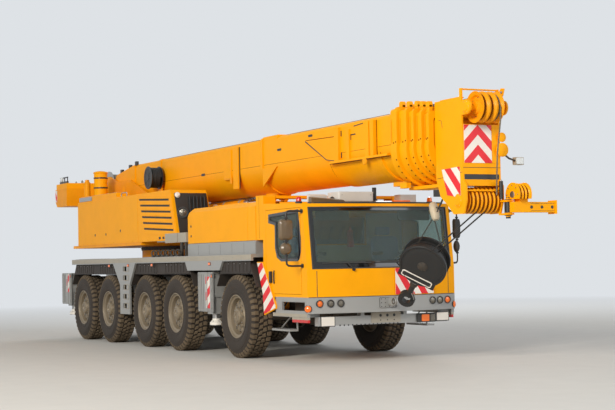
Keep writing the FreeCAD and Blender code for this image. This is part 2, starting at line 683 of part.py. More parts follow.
def outrigger_beam(x, box_x):
    """Right-hand outrigger beam at x: box tube, jack housing and the folded shield before the box."""
    end = HALF_WIDTH - BEAM_END_GAP
    half, t = BEAM_W / 2, BEAM_WALL
    tube = block(x - half, x + half, -end, -end + BEAM_LEN, BEAM_Z, BEAM_Z + BEAM_H)
    bore = block(x - half + t, x + half - t, -end + LEG_BOX, -end + BEAM_LEN + CUT, BEAM_Z + t,
                 BEAM_Z + BEAM_H - t)
    housing = block(x - LEG_BOX / 2, x + LEG_BOX / 2, -end, -end + LEG_BOX, LEG_BOX_BOTTOM, LEG_BOX_TOP)
    shaft_y = -end + LEG_BOX / 2
    hole = rod("z", (x, shaft_y), LEG_R + FIT, LEG_BOX_BOTTOM - CUT, LEG_BOX_TOP - LEG_CAP_T)
    long = box_half_length()
    face = HALF_WIDTH - SHIELD_RIB_OUT
    shield = block(box_x - long, box_x + long, -face, -end + CUT, SHIELD_BOTTOM, LEG_BOX_TOP)
    ribs = [block(box_x + at - SHIELD_RIB_W / 2, box_x + at + SHIELD_RIB_W / 2, -HALF_WIDTH, -face + CUT,
                  SHIELD_BOTTOM, LEG_BOX_TOP) for at in SHIELD_RIBS]
    return joined([tube.cut(bore), housing, shield] + ribs).cut(hole)


def outrigger_leg(x):
    """Jack rod with its foot, in the housing of the right-hand beam at x."""
    shaft_y = -(HALF_WIDTH - BEAM_END_GAP) + LEG_BOX / 2
    shaft = rod("z", (x, shaft_y), LEG_R, FOOT_BOTTOM, LEG_BOX_TOP - LEG_TOP_GAP)
    foot = rod("z", (x, shaft_y), LEG_BOX / 2, FOOT_BOTTOM, FOOT_BOTTOM + FOOT_T)
    return joined([shaft, foot])


def build_carrier():
    """Frame, outrigger beams and their jacks."""
    save("carrier_frame", [carrier_frame()])
    for place_name, x in zip(("front", "rear"), OUTRIGGER_X):
        right_x, left_x = beam_slots(x)
        save("outrigger_beam_%s_right" % place_name, [outrigger_beam(right_x, x)])
        save("outrigger_beam_%s_left" % place_name, [other_side(outrigger_beam(left_x, x))])
        save("outrigger_leg_%s_right" % place_name, [outrigger_leg(right_x)])
        save("outrigger_leg_%s_left" % place_name, [other_side(outrigger_leg(left_x))])


# Deck, skirts and mudguards

def deck():
    """Deck plate with its edge strips and the engine cover's base, open round the slewing ring."""
    plate = block(DECK_REAR_X, DECK_FRONT_X, -HALF_WIDTH, HALF_WIDTH, FRAME_TOP, DECK_TOP)
    hole = rod("z", (SLEW_X, 0.0), RING_R + RING_SEAT_OUT, FRAME_TOP - CUT, DECK_TOP + CUT)
    x0, x1, half, _ = ENGINE
    engine_hole = block(x0 - RUN, x1 + RUN, -half - RUN, half + RUN, FRAME_TOP - CUT, DECK_TOP + CUT)
    strip = block(DECK_REAR_X, DECK_FRONT_X, HALF_WIDTH - EDGE_T, HALF_WIDTH, DECK_TOP - EDGE_H, DECK_TOP)
    w, t = BODY_HALF_W, COVER_WALL
    base = block(COVER_REAR_X, COVER_FRONT_X, -w, w, FRAME_TOP, COVER_BASE_TOP)
    inside = block(COVER_REAR_X + t, COVER_FRONT_X - t, -w + t, w - t, DECK_TOP, COVER_BASE_TOP + CUT)
    return joined([plate, base.cut(inside)] + both_sides([strip])).cut(hole).cut(engine_hole)


def skirt(bottom, ahead, behind):
    """Right-hand side panel between two arches, its ends slanted along them."""
    top = DECK_TOP - EDGE_H
    foot = max(bottom, ARCH_FOOT)
    share = (ARCH_TOP - foot) / (ARCH_TOP - ARCH_FOOT)
    front = ahead[1] + (ahead[3] - ahead[1]) * share
    rear = behind[0] + (behind[2] - behind[0]) * share
    points = [(ahead[1], top), (front, foot), (front, bottom), (rear, bottom)]
    if foot > bottom:
        points.append((rear, foot))
    points.append((behind[0], top))
    return slab("xz", points, -HALF_WIDTH, -HALF_WIDTH + SKIRT_T)


def ladder(panel, ahead, behind):
    """The panel between the second and third axle with step openings and their side posts."""
    middle = (ahead[3] + behind[2]) / 2
    half = LADDER_STEP_HALF_W
    for low in LADDER_STEPS:
        panel = panel.cut(block(middle - half, middle + half, -HALF_WIDTH - CUT, -HALF_WIDTH + SKIRT_T + CUT,
                                low, low + LADDER_STEP_H))
    tray_y = -HALF_WIDTH + SKIRT_T
    trays = [block(middle - half - LADDER_POST_W, middle + half + LADDER_POST_W, tray_y - CUT,
                   tray_y + LADDER_STEP_H, low - LADDER_SIDE_T, low) for low in LADDER_STEPS]
    return joined([panel] + trays)


def build_deck():
    """Deck, side panels and mudguards."""
    save("deck", [deck()])
    panels = [skirt(bottom, ahead, behind)
              for bottom, ahead, behind in zip(SKIRT_BOTTOM, ARCHES, ARCHES[1:])]
    panels[1] = ladder(panels[1], ARCHES[1], ARCHES[2])
    save("side_panels", both_sides(panels))
    save("mudguards", both_sides([guard(arch) for arch in ARCHES]))


def guard(arch):
    """Rubber mudguard over the wheels of one arch, right side, with a flap on its outer edge."""
    top_f, top_r, foot_f, foot_r = arch
    top, t = FRAME_TOP, GUARD_T
    outer = -HALF_WIDTH + SKIRT_T + GUARD_GAP
    shell = [(foot_f, ARCH_FOOT), (top_f, top), (top_r, top), (foot_r, ARCH_FOOT),
             (foot_r + t, ARCH_FOOT), (top_r + t, top - t), (top_f - t, top - t), (foot_f - t, ARCH_FOOT)]
    share = (top - GUARD_LIP_Z) / (top - ARCH_FOOT)
    flap = [(top_f + (foot_f - top_f) * share, GUARD_LIP_Z), (top_f, top), (top_r, top),
            (top_r + (foot_r - top_r) * share, GUARD_LIP_Z)]
    return joined([slab("xz", shell, outer, -GUARD_IN_Y), slab("xz", flap, outer, outer + t)])


# Driver's cab

def cab_plan(inset, lean):
    """Plan outline of the cab, drawn in from its walls by inset and back by lean."""
    w = CAB_HALF_W - inset
    rear = CAB_REAR_X + inset
    corner = CAB_SIDE_FRONT_X - inset * CAB_CORNER_SHARE - lean
    nose = CAB_NOSE_X - inset - lean
    return [(rear, -w), (corner, -w), (nose, 0.0, corner, w), (rear, w)]


def roof_z(x):
    """Height of the cab's roof, which slopes down to the front."""
    return CAB_ROOF - (CAB_ROOF - CAB_BROW) * (x - CAB_REAR_X) / (CAB_SIDE_FRONT_X - CAB_REAR_X)


def on_roof(x0, x1, half, height):
    """A flat fitting that follows the roof's slope."""
    points = [(x0, roof_z(x0) - CUT), (x0, roof_z(x0) + height), (x1, roof_z(x1) + height), (x1, roof_z(x1) - CUT)]
    return slab("xz", points, -half, half)


def cab_form(inset):
    """The cab's whole outer form, drawn in by inset on every wall."""
    low, belt, roof = CAB_FLOOR + inset, CAB_BELT, CAB_ROOF - inset
    upright = slab("xy", cab_plan(inset, 0.0), low, belt)
    leaning = Part.makeLoft([outline("xy", cab_plan(inset, 0.0), belt),
                             outline("xy", cab_plan(inset, CAB_LEAN), roof)], True, True)
    under = [(x, roof_z(x) - inset) for x in (0.0, 2 * CAB_NOSE_X)]
    below = slab("xz", under + [(2 * CAB_NOSE_X, 0.0), (0.0, 0.0)], -CAB_HALF_W, CAB_HALF_W)
    return joined([upright, leaning]).common(below)


def window_box(inset):
    """Cutting body of the windscreen."""
    side = CAB_HALF_W - SCREEN_SIDE - inset
    rear = CAB_SIDE_FRONT_X - CAB_LEAN - 2 * CAB_WALL
    return block(rear, CAB_NOSE_X + CUT, -side, side, CAB_BELT + inset, SCREEN_TOP - inset)


def door_box(gap):
    """Cutting body of both door openings, drawn in by gap, with the slanted lower rear corner."""
    rear, front = DOOR_REAR_X + gap, DOOR_FRONT_X - gap
    low, top = CAB_FLOOR + CAB_WALL + gap, DOOR_TOP - gap
    run, rise = DOOR_SLANT_X - DOOR_REAR_X, DOOR_SLANT_Z - CAB_FLOOR - CAB_WALL
    length = math.hypot(run, rise)
    slant_x = DOOR_SLANT_X + gap * (length - run) / rise
    slant_z = DOOR_SLANT_Z + gap * (length - rise) / run
    reach = CAB_HALF_W + CAB_WALL
    return slab("xz", [(rear, top), (front, top), (front, low), (slant_x, low), (rear, slant_z)], -reach, reach)


def door_pins(radius):
    """Hinge pins of the left door, or with a larger radius the holes that take them."""
    x = DOOR_FRONT_X - DOOR_HINGE_GAP - DOOR_PIN_SETBACK
    y = CAB_HALF_W - CAB_WALL / 2
    sill = CAB_FLOOR + CAB_WALL
    return [rod("z", (x, y), radius, sill - DOOR_PIN_LEN, sill + 2 * RUN),
            rod("z", (x, y), radius, DOOR_TOP - 2 * RUN, DOOR_TOP + DOOR_PIN_LEN)]


def fender():
    """Plate on the right lower rear corner of the cab, between the wheel and the door."""
    share = (FENDER_TOP - CAB_FLOOR - CAB_WALL) / (DOOR_SLANT_Z - CAB_FLOOR - CAB_WALL)
    top_x = DOOR_SLANT_X - (DOOR_SLANT_X - DOOR_REAR_X) * share
    points = [(top_x, FENDER_TOP), (DOOR_SLANT_X, CAB_FLOOR + CAB_WALL)] + FENDER_FOOT
    points.append((points[-1][0] - FENDER_EASE, FENDER_TOP))
    return slab("xz", points, -CAB_HALF_W - FENDER_T, -CAB_HALF_W)


def cab_shell():
    """Hollow cab body with openings for the doors, the windscreen and the rear window."""
    shell = cab_form(0.0).cut(cab_form(CAB_WALL))
    half, low, high = REAR_WINDOW
    rear_window = block(CAB_REAR_X - CUT, CAB_REAR_X + CAB_WALL + CUT, -half, half, low, high)
    shell = shell.cut(window_box(0.0)).cut(door_box(0.0)).cut(rear_window)
    for hole in door_pins(DOOR_PIN_R + FIT):
        shell = shell.cut(hole).cut(other_side(hole))
    fittings = [on_roof(*ROOF_TRAY, ROOF_TRAY_H), on_roof(*ROOF_REST, ROOF_REST_H)]
    return joined([shell] + fittings + both_sides([fender()]))


def door(side):
    """Door leaf with its window opening."""
    leaf = cab_form(0.0).cut(cab_form(CAB_WALL)).common(door_box(RUN))
    leaf = leaf.cut(block(DOOR_FRONT_X - DOOR_HINGE_GAP, CAB_NOSE_X, -CAB_HALF_W, CAB_HALF_W, 0.0, CAB_ROOF))
    window = slab("xz", DOOR_WINDOW, -CAB_HALF_W - CAB_WALL, CAB_HALF_W + CAB_WALL)
    half = block(0.0, CAB_NOSE_X, 0.0, 2 * CAB_HALF_W, 0.0, CAB_ROOF)
    handle = block(DOOR_HANDLE[0], DOOR_HANDLE[1], CAB_HALF_W - CUT, CAB_HALF_W + HANDLE_OUT,
                   DOOR_HANDLE[2], DOOR_HANDLE[3])
    leaf = joined([leaf.cut(window).common(half), handle] + door_pins(DOOR_PIN_R))
    return leaf if side > 0 else other_side(leaf)


def face_x(y):
    """Where the upright part of the cab's front face is, beside the middle."""
    sag = CAB_NOSE_X - CAB_SIDE_FRONT_X
    radius = (CAB_HALF_W ** 2 + sag ** 2) / (2 * sag)
    return CAB_NOSE_X - radius + math.sqrt(radius ** 2 - y ** 2)


def lamp_rod(number, extra):
    """One lamp of the left half, or with extra radius the hole that takes it."""
    x = face_x(LAMP_Y[number]) + LAMP_OUT
    return rod("x", (LAMP_Y[number], LAMP_Z), LAMP_R[number] + extra, x - LAMP_DEPTH, x + extra * LAMP_DEPTH)


def bumper():
    """Bumper band round the cab's front with its side steps, crossbar, rail and tow eye."""
    w, t = CAB_HALF_W, BUMPER_WALL
    front = [(BUMPER_REAR_X, -w), (CAB_SIDE_FRONT_X, -w), (CAB_NOSE_X, 0.0, CAB_SIDE_FRONT_X, w),
             (BUMPER_REAR_X, w)]
    corner = CAB_SIDE_FRONT_X - t * CAB_CORNER_SHARE
    inner = [(BUMPER_REAR_X - CUT, -w + t), (corner, -w + t), (CAB_NOSE_X - t, 0.0, corner, w - t),
             (BUMPER_REAR_X - CUT, w - t)]
    band = slab("xy", front, BUMPER_BOTTOM, CAB_FLOOR - FIT)
    band = band.cut(slab("xy", inner, BUMPER_BOTTOM - CUT, CAB_FLOOR))
    x0, x1, z0, z1 = STEP_OPENING
    band = band.cut(block(x0, x1, -w - CUT, w + CUT, z0, z1))
    rail = block(SIDE_RAIL[0], SIDE_RAIL[1], w - SIDE_RAIL_W, w, BUMPER_BOTTOM - SIDE_RAIL_H, BUMPER_BOTTOM)
    tread = block(x0, x1, w - STEP_DEPTH, w, BUMPER_BOTTOM - SIDE_RAIL_H, BUMPER_BOTTOM)
    rear, ahead, foot, top = LOW_STEP
    back, thin, high = w - LOW_STEP_DEPTH, STEP_HANGER_T, BUMPER_BOTTOM - SIDE_RAIL_H + CUT
    low_step = block(rear, ahead, back, w, foot, top)
    hangers = [slab("xz", [(x, foot), (x + thin, foot), (x + lean + thin, high), (x + lean, high)], back, back + thin)
               for x, lean in ((rear, STEP_HANGER_LEAN), (ahead - thin, 0.0))]
    half = BUMPER_LINK_HALF_W
    link = block(FRONT_RAIL_END, CAB_NOSE_X - t - CUT, -half, half, *BUMPER_LINK_Z)
    link = link.common(slab("xy", front, 0.0, CAB_FLOOR))
    bar = block(*CROSSBAR_X, -CROSSBAR_HALF_W, CROSSBAR_HALF_W, *CROSSBAR_Z)
    hanger = block(*CROSSBAR_X, half - CROSSBAR_HANGER_W, half, CROSSBAR_Z[1] - CUT, BUMPER_LINK_Z[0] + CUT)
    x, z = TOW_EYE
    eye = rod("y", TOW_EYE, TOW_EYE_R, -TOW_EYE_T / 2, TOW_EYE_T / 2)
    tongue = block(CAB_NOSE_X - t, x, -TOW_EYE_T / 2, TOW_EYE_T / 2, z - TOW_EYE_R, z + TOW_EYE_R)
    body = joined([band, link, bar, eye, tongue] + both_sides([rail, tread, low_step, hanger] + hangers))
    body = body.cut(rod("y", TOW_EYE, TOW_HOLE_R, -TOW_EYE_T, TOW_EYE_T))
    for number in range(len(LAMP_Y)):
        hole = lamp_rod(number, FIT)
        body = body.cut(hole).cut(other_side(hole))
    return body


def seat():
    """Driver's seat on its pedestal, left side."""
    (y0, y1), (low, pad, high) = SEAT_Y, SEAT_Z
    back_rear, pad_rear, back_front, pad_front = SEAT_X
    inset = SEAT_PEDESTAL_IN
    pedestal = block(pad_rear + inset, pad_front - 2 * inset, y0 + inset, y1 - inset, CAB_FLOOR + CAB_WALL, low)
    return joined([pedestal, block(pad_rear, pad_front, y0, y1, low, pad),
                   block(back_rear, back_front, y0, y1, pad - inset, high)])


def dashboard():
    """Dashboard between the doors with the steering wheel on its column."""
    half = CAB_HALF_W - CAB_WALL - FITTINGS_GAP
    dash = block(*DASH_X, -half, half, CAB_FLOOR + CAB_WALL, DASH_TOP)
    middle = (SEAT_Y[0] + SEAT_Y[1]) / 2
    x, z = WHEEL_CENTRE
    column = strut((x, middle, z), (DASH_X[0] + COLUMN_R, middle, DASH_TOP - 2 * COLUMN_R), COLUMN_R)
    rim = Part.makeTorus(WHEEL_R, WHEEL_RIM_R, V(x, middle, z), V(-WHEEL_LEAN, 0, 1))
    spoke = Part.makeCylinder(WHEEL_R, WHEEL_RIM_R, V(x, middle, z), V(-WHEEL_LEAN, 0, 1))
    return joined([dash, column, rim, spoke])


def mirror():
    """Left main and round mirrors on a bar between two arms."""
    inner, outer = CAB_HALF_W + MIRROR_OUT[0], CAB_HALF_W + MIRROR_OUT[1]
    x, y, r = (MIRROR_X[0] + MIRROR_X[1]) / 2, (inner + outer) / 2, MIRROR_ARM_R
    housing = block(*MIRROR_X, inner, outer, *MIRROR_Z)
    wide = rod("x", (y, MIRROR_WIDE_Z), MIRROR_WIDE_R, *MIRROR_X)
    low, high = MIRROR_ARM_Z
    arms = [rod("y", (x, z), r, CAB_HALF_W - CUT, y + r) for z in MIRROR_ARM_Z]
    bar = rod("z", (x, y), r, low - r, high + r)
    return joined([housing, wide, bar] + arms).cut(cab_form(0.0))


def build_cab():
    """Cab body, its glass, doors, bumper, lamps and inside."""
    save("cab_shell", [cab_shell()])
    screen = cab_form(SCREEN_SINK).cut(cab_form(SCREEN_SINK + GLASS_T)).common(window_box(FIT))
    half, low, high = REAR_WINDOW
    x = CAB_REAR_X + PANE_SINK
    save("cab_glass", [screen, block(x, x + GLASS_T, -half + FIT, half - FIT, low + FIT, high - FIT)])
    save("cab_door_left", [door(1)])
    save("cab_door_right", [door(-1)])
    save("bumper", [bumper()])
    save("lamps", both_sides([lamp_rod(number, 0.0) for number in range(len(LAMP_Y))]))
    save("cab_fittings", both_sides([seat(), mirror()]) + [dashboard()])


def cover_form(inset):
    """Outer form of the engine cover, drawn in by inset, with its top edges sloped."""
    w, c, s = BODY_HALF_W - inset, COVER_CHAMFER, COVER_SIDE_CHAMFER
    top, low = COVER_TOP - inset, COVER_BASE_TOP - (CUT if inset else 0.0)
    x0, x1 = COVER_REAR_X + inset, COVER_FRONT_X - inset
    across = slab("yz", [(-w, low), (-w, top - s), (-w + s, top), (w - s, top), (w, top - s), (w, low)], x0, x1)
    along = slab("xz", [(x0, low), (x0, top - c), (x0 + c, top), (x1, top), (x1, low)], -w, w)
    return across.common(along)


def build_cover():
    """Engine cover behind the cab, with the seam round it."""
    cover = cover_form(0.0).cut(cover_form(COVER_WALL))
    half = COVER_SEAM / 2
    seam = block(COVER_SPLIT_X - half, COVER_SPLIT_X + half, -BODY_HALF_W - CUT, BODY_HALF_W + CUT,
                 COVER_BASE_TOP - CUT, COVER_TOP + CUT).cut(cover_form(COVER_SEAM_DEPTH))
    save("engine_cover", [cover.cut(seam)])


# Superstructure

def cheek():
    """Left side plate of the turntable: up to the boom pivot, back to the winch, holes for both."""
    (x0, x1), z0 = TABLE_X, RING_TOP
    (lx, lz), rim, r = LUFF_BASE, CHEEK_RIM, WINCH_PLATE_R
    points = [(x0, z0), (x1, z0), (x1, z0 + CHEEK_TOE), (lx + rim + BASE_EYE_R, lz + BASE_EYE_R),
              (lx - BASE_EYE_R, lz + BASE_EYE_R + CHEEK_STEP), (PIVOT_X + 2 * rim, PIVOT_Z + rim),
              (PIVOT_X - 2 * rim, PIVOT_Z + rim), (WINCH_X + r, WINCH_Z + r), (WINCH_X - r, WINCH_Z + r),
              (TAIL_BOX[1], TAIL_BOX[3]), (TAIL_BOX[1], TAIL_BOX[2])]
    plate = slab("xz", points, CHEEK_Y, CHEEK_Y + CHEEK_T)
    for centre, radius in (((PIVOT_X, PIVOT_Z), PIVOT_R), ((WINCH_X, WINCH_Z), WINCH_AXLE_R)):
        plate = plate.cut(rod("y", centre, radius + FIT, CHEEK_Y - CUT, CHEEK_Y + CHEEK_T + CUT))
    return plate


def reel_post():
    """Arch plate on the right side plate that carries the hose reel's axle."""
    x, z = REEL
    half = REEL_CORE_R
    points = [(x - half, LUFF_BASE[1]), (x + half, LUFF_BASE[1]), (x + half / 2, z + half), (x - half / 2, z + half)]
    return slab("xz", points, -CHEEK_Y - CHEEK_T, -CHEEK_Y)


def cab_hinge_centre():
    """Tilt axis of the crane cab, behind its rear wall and above the table."""
    return CRANE_CAB_X[0] - CAB_HINGE_BACK, RING_TOP + CAB_HINGE_UP


def cab_hinge_ears():
    """Ears on the table that carry the crane cab's hinge pin."""
    x, z = cab_hinge_centre()
    (y0, y1), t, r = CRANE_CAB_Y, CAB_HINGE_EYE_T, CAB_HINGE_EYE_R
    ears = []
    for low in (y0 + t, y1 - 2 * t - CRANE_CAB_OUT):
        ear = joined([rod("y", (x, z), r, low, low + t), block(x - r, x + r, low, low + t, RING_TOP - CUT, z)])
        ears.append(ear.cut(rod("y", (x, z), CAB_HINGE_R + FIT, low - CUT, low + t + CUT)))
    return ears


def tail_box():
    """Tail beam across the rear of the superstructure, its lower rear edge sloped."""
    x0, x1, z0, z1 = TAIL_BOX
    c = TAIL_CHAMFER
    return slab("xz", [(x0, z0 + c), (x0, z1), (x1, z1), (x1, z0), (x0 + c, z0)], -BODY_HALF_W, BODY_HALF_W)


def turntable():
    """Ring, table, side plates, tail box and the eyes of the luffing cylinder."""
    ring = pipe("z", (SLEW_X, 0.0), RING_R, RACE_R + FIT, DECK_TOP + RUN, RING_TOP)
    half = BODY_HALF_W - TABLE_SETBACK
    plate = block(*TABLE_X, -half, half, RING_TOP - TABLE_T, RING_TOP)
    eye = pipe("y", LUFF_BASE, BASE_EYE_R, BASE_PIN_R + FIT, BARREL_R + RUN, CHEEK_Y)
    return joined([ring, plate, tail_box(), reel_post()] + both_sides([cheek(), eye]) + cab_hinge_ears())


def housing():
    """Right engine housing with a seam, louvres and a plate on top."""
    a, b = HOUSING_X
    c = HOUSING_EASE
    points = [(a, RING_TOP), (b, RING_TOP), (b - HOUSING_SLANT, HOUSING_TOP - c),
              (b - HOUSING_SLANT - c, HOUSING_TOP), (a, HOUSING_TOP)]
    body = slab("xz", points, -BODY_HALF_W, HOUSING_IN_Y)
    face = -BODY_HALF_W
    body = body.cut(block(HOUSING_SPLIT_X, HOUSING_SPLIT_X + PANEL_GAP, face - CUT, face + PANEL_DEPTH,
                          RING_TOP - CUT, HOUSING_TOP + CUT))
    pitch = (LOUVRE_Z[1] - LOUVRE_Z[0]) / LOUVRES
    for number in range(LOUVRES):
        low = LOUVRE_Z[0] + number * pitch
        body = body.cut(block(*LOUVRE_X, face - CUT, face + LOUVRE_DEPTH, low, low + LOUVRE_H))
    x0, x1, y_out, y_in, high = HOUSING_PLATE
    plate = block(x0, x1, -y_out, -y_in, HOUSING_TOP - CUT, HOUSING_TOP + high)
    x, y, radius, tall = UPRIGHT_CYL
    cylinder = rod("z", (x, y), radius, HOUSING_TOP - CUT, HOUSING_TOP + tall)
    return joined([body, plate, cylinder])


def build_superstructure():
    """Turntable with its side plates, housings, tail box, winch and hose reel."""
    save("turntable", [turntable()])
    save("winch_drum", [drum()])
    tank = block(*TANK_X, TANK_IN_Y, BODY_HALF_W, RING_TOP, TANK_TOP)
    save("side_housings", [housing(), tank])
    inner = -CHEEK_Y - CHEEK_T
    reel = [rod("y", REEL, REEL_CORE_R, inner - REEL_OUT, inner)]
    reel += [rod("y", REEL, REEL_R, low, low + REEL_FLANGE_T) for low in (inner - REEL_OUT, inner - REEL_FLANGE_T)]
    save("hose_reel", [joined(reel)])


def drum():
    """Hoist drum with flanges and its axle."""
    half, t = CHEEK_Y - RUN, WINCH_FLANGE_T
    centre = (WINCH_X, WINCH_Z)
    body = rod("y", centre, WINCH_CORE_R, -half, half)
    flanges = [rod("y", centre, WINCH_R, low, low + t) for low in (-half, half - t)]
    return joined([body, rod("y", centre, WINCH_AXLE_R, -CHEEK_Y - CHEEK_T, CHEEK_Y + CHEEK_T)] + flanges)


# Boom

def boom_outline(inset, x, drop=0.0):
    """Boom section at x: flat sides above the crease, a round trough below that may be deeper by drop."""
    w, c = BOOM_HALF_W - inset, BOOM_CORNER
    top, bottom = BOOM_TOP - inset, BOOM_BOTTOM + inset - drop
    crease = BOOM_BOTTOM + BOOM_CREASE
    k = c * (1 - math.cos(math.radians(45)))
    points = [(w, crease), (w, top - c), (w - k, top - k, w - c, top), (-w + c, top),
              (-w + k, top - k, -w, top - c), (-w, crease), (0.0, bottom, w, crease)]
    return outline("yz", points, x)


def boom_bar(inset, x0, x1, drop=0.0):
    """Solid bar of the boom's section."""
    return Part.Face(boom_outline(inset, x0, drop)).extrude(V(x1 - x0, 0, 0))


def boom_tube(inset, wall, x0, x1):
    """Hollow length of the boom's section."""
    return boom_bar(inset, x0, x1).cut(boom_bar(inset + wall, x0 - CUT, x1 + CUT))


def collar(number):
    """Collar at the front of one section, with its raised band and the lugs on top."""
    inset = BOOM_STEP * number
    x0, x1 = COLLARS[number]
    out = inset - COLLAR_OUT
    body = joined([boom_bar(out, x0, x1, COLLAR_DROP),
                   boom_bar(out - COLLAR_BAND_OUT, x1 - COLLAR_BAND_W, x1, COLLAR_DROP)])
    ring = body.cut(boom_bar(inset + BOOM_WALL, x0 - CUT, x1 + CUT))
    top = BOOM_TOP - inset + COLLAR_OUT
    lug = block(x1 - COLLAR_LUG_L, x1, COLLAR_LUG_Y, COLLAR_LUG_Y + COLLAR_LUG_T, top - CUT, top + COLLAR_LUG_H)
    return [ring] + both_sides([lug])


def side_stiffeners():
    """Ribs, pocket, gusset and shelf on the right side of the base section."""
    face = -BOOM_HALF_W
    inner = face + BOOM_WALL / 2
    parts = [block(x0, x1, face - out, inner, z0, z1) for x0, x1, z0, z1, out in SIDE_RIBS]
    x0, x1, low, thick, depth = SIDE_SHELF
    parts.append(block(x0, x1, face - depth, inner, low, low + thick))
    parts.append(slab("xz", SIDE_POCKET, face - SIDE_POCKET_OUT, inner))
    parts.append(slab("xz", SIDE_GUSSET, face - SIDE_GUSSET_OUT, inner))
    return parts


def base_bands():
    """Bands round the base section, its raised top flange and the saddle of its trough."""
    wall = BOOM_WALL / 2
    parts = [boom_tube(-out, out + wall, x0, x1) for x0, x1, out in BASE_BANDS]
    x0, x1, out = BASE_FLANGE
    parts.append(boom_tube(-out, out + wall, x0, x1).common(
        block(x0, x1, -BOOM_HALF_W, BOOM_HALF_W, BOOM_TOP - BOOM_CORNER, BOOM_TOP + out)))
    x0, x1, out = SADDLE
    below = block(x0, x1, -2 * BOOM_HALF_W, 2 * BOOM_HALF_W, BOOM_BOTTOM - 2 * COLLAR_OUT, SIDE_SHELF[2] + CUT)
    parts.append(boom_tube(-out, out + wall, x0, x1).common(below))
    x0, x1, out = SADDLE_RIB
    parts.append(boom_tube(-out, out + wall, x0, x1).common(below))
    return parts


def luff_ears():
    """The two plates under the base section that hold the luffing rod's pin."""
    (x, z), t, rim = LUFF_EYE, EYE_PLATE_T, EYE_PLATE_RIM
    back, ahead = EYE_PLATE_LEN
    high = BOOM_BOTTOM + BOOM_CREASE / 2
    points = [(x - back, high), (x - rim, z - rim), (x + rim, z - rim), (x + ahead, high)]
    ears = [slab("xz", points, low, low + t) for low in (-LUFF_EYE_HALF_W - RUN - t, LUFF_EYE_HALF_W + RUN)]
    hole = rod("y", LUFF_EYE, EYE_PIN_R + FIT, -BOOM_HALF_W, BOOM_HALF_W)
    return [ear.cut(boom_bar(CUT, BOOM_REAR_X, COLLARS[0][0])).cut(hole) for ear in ears]


def base_section():
    """Base section with its foot plates, pivot pin, collar, stiffeners and luffing bracket."""
    tube = boom_tube(0.0, BOOM_WALL, BOOM_REAR_X, COLLARS[0][1])
    x, z, rim = PIVOT_X, PIVOT_Z, CHEEK_RIM - CUT
    end = BOOM_REAR_X + FOOT_LAP
    foot = [(x - rim, z - rim / 4), (x, z - rim), (end, FOOT_Z[0]), (end, FOOT_Z[1]), (x + rim / 4, z + rim),
            (x - rim, z + rim / 4)]
    plate = slab("xz", foot, BOOM_HALF_W - FOOT_PLATE_T, BOOM_HALF_W)
    plate = plate.cut(boom_bar(BOOM_WALL, BOOM_REAR_X, COLLARS[0][0]))
    pin = rod("y", (x, z), PIVOT_R, -CHEEK_Y - CHEEK_T, CHEEK_Y + CHEEK_T)
    return joined([tube, pin] + collar(0) + both_sides([plate]) + luff_ears() + base_bands()
                  + both_sides(side_stiffeners()))


def slide_pad(number):
    """Pads round the rear end of a telescopic section, seated in the section outside it."""
    inset = BOOM_STEP * number
    start = BOOM_REAR_X + TAIL_STEP * number
    gap = BOOM_STEP - BOOM_WALL - FIT
    return boom_tube(inset - gap, gap + BOOM_WALL, start, start + PAD_LEN)


def tele_section(number):
    """Telescopic section with its collar in front and its slide pads at the rear."""
    start = BOOM_REAR_X + TAIL_STEP * number
    tube = boom_tube(BOOM_STEP * number, BOOM_WALL, start, COLLARS[number][1])
    return joined([tube, slide_pad(number)] + collar(number))


def head_plate():
    """Left side plate of the boom head."""
    x0, x1 = HEAD_X
    foot = LOWER_PIN[1] - LOWER_SHEAVE_R
    chin = x1 + HEAD_CHIN_OUT
    ahead, elbow = HEAD_ELBOW
    side = [(x0, HEAD_SHOULDER_Z), (x0 + ahead, elbow), (LOWER_PIN[0] - HEAD_HEEL, foot + HEAD_HEEL / 2),
            (LOWER_PIN[0] - HEAD_TOE, foot), (LOWER_PIN[0] + HEAD_TOE, foot), (chin, LOWER_PIN[1]),
            (chin, HEAD_CHIN[0]), (x1, HEAD_CHIN[1]), (x1, HEAD_TOP), (x0, HEAD_TOP)]
    w, t, (x, z), r = HEAD_HALF_W, HEAD_PLATE_T, UPPER_PIN, HEAD_BOSS_R
    eye = [rod("y", UPPER_PIN, r, w - t, w), block(x1 - CUT, x, w - t, w, z - r, z + r)]
    bracket = block(x1 - GUARD_BRACKET_L, x1, w - t, w, HEAD_TOP - CUT, GUARD_Z + GUARD_ROD_R)
    return joined([slab("xz", side, w - t, w), bracket] + eye)


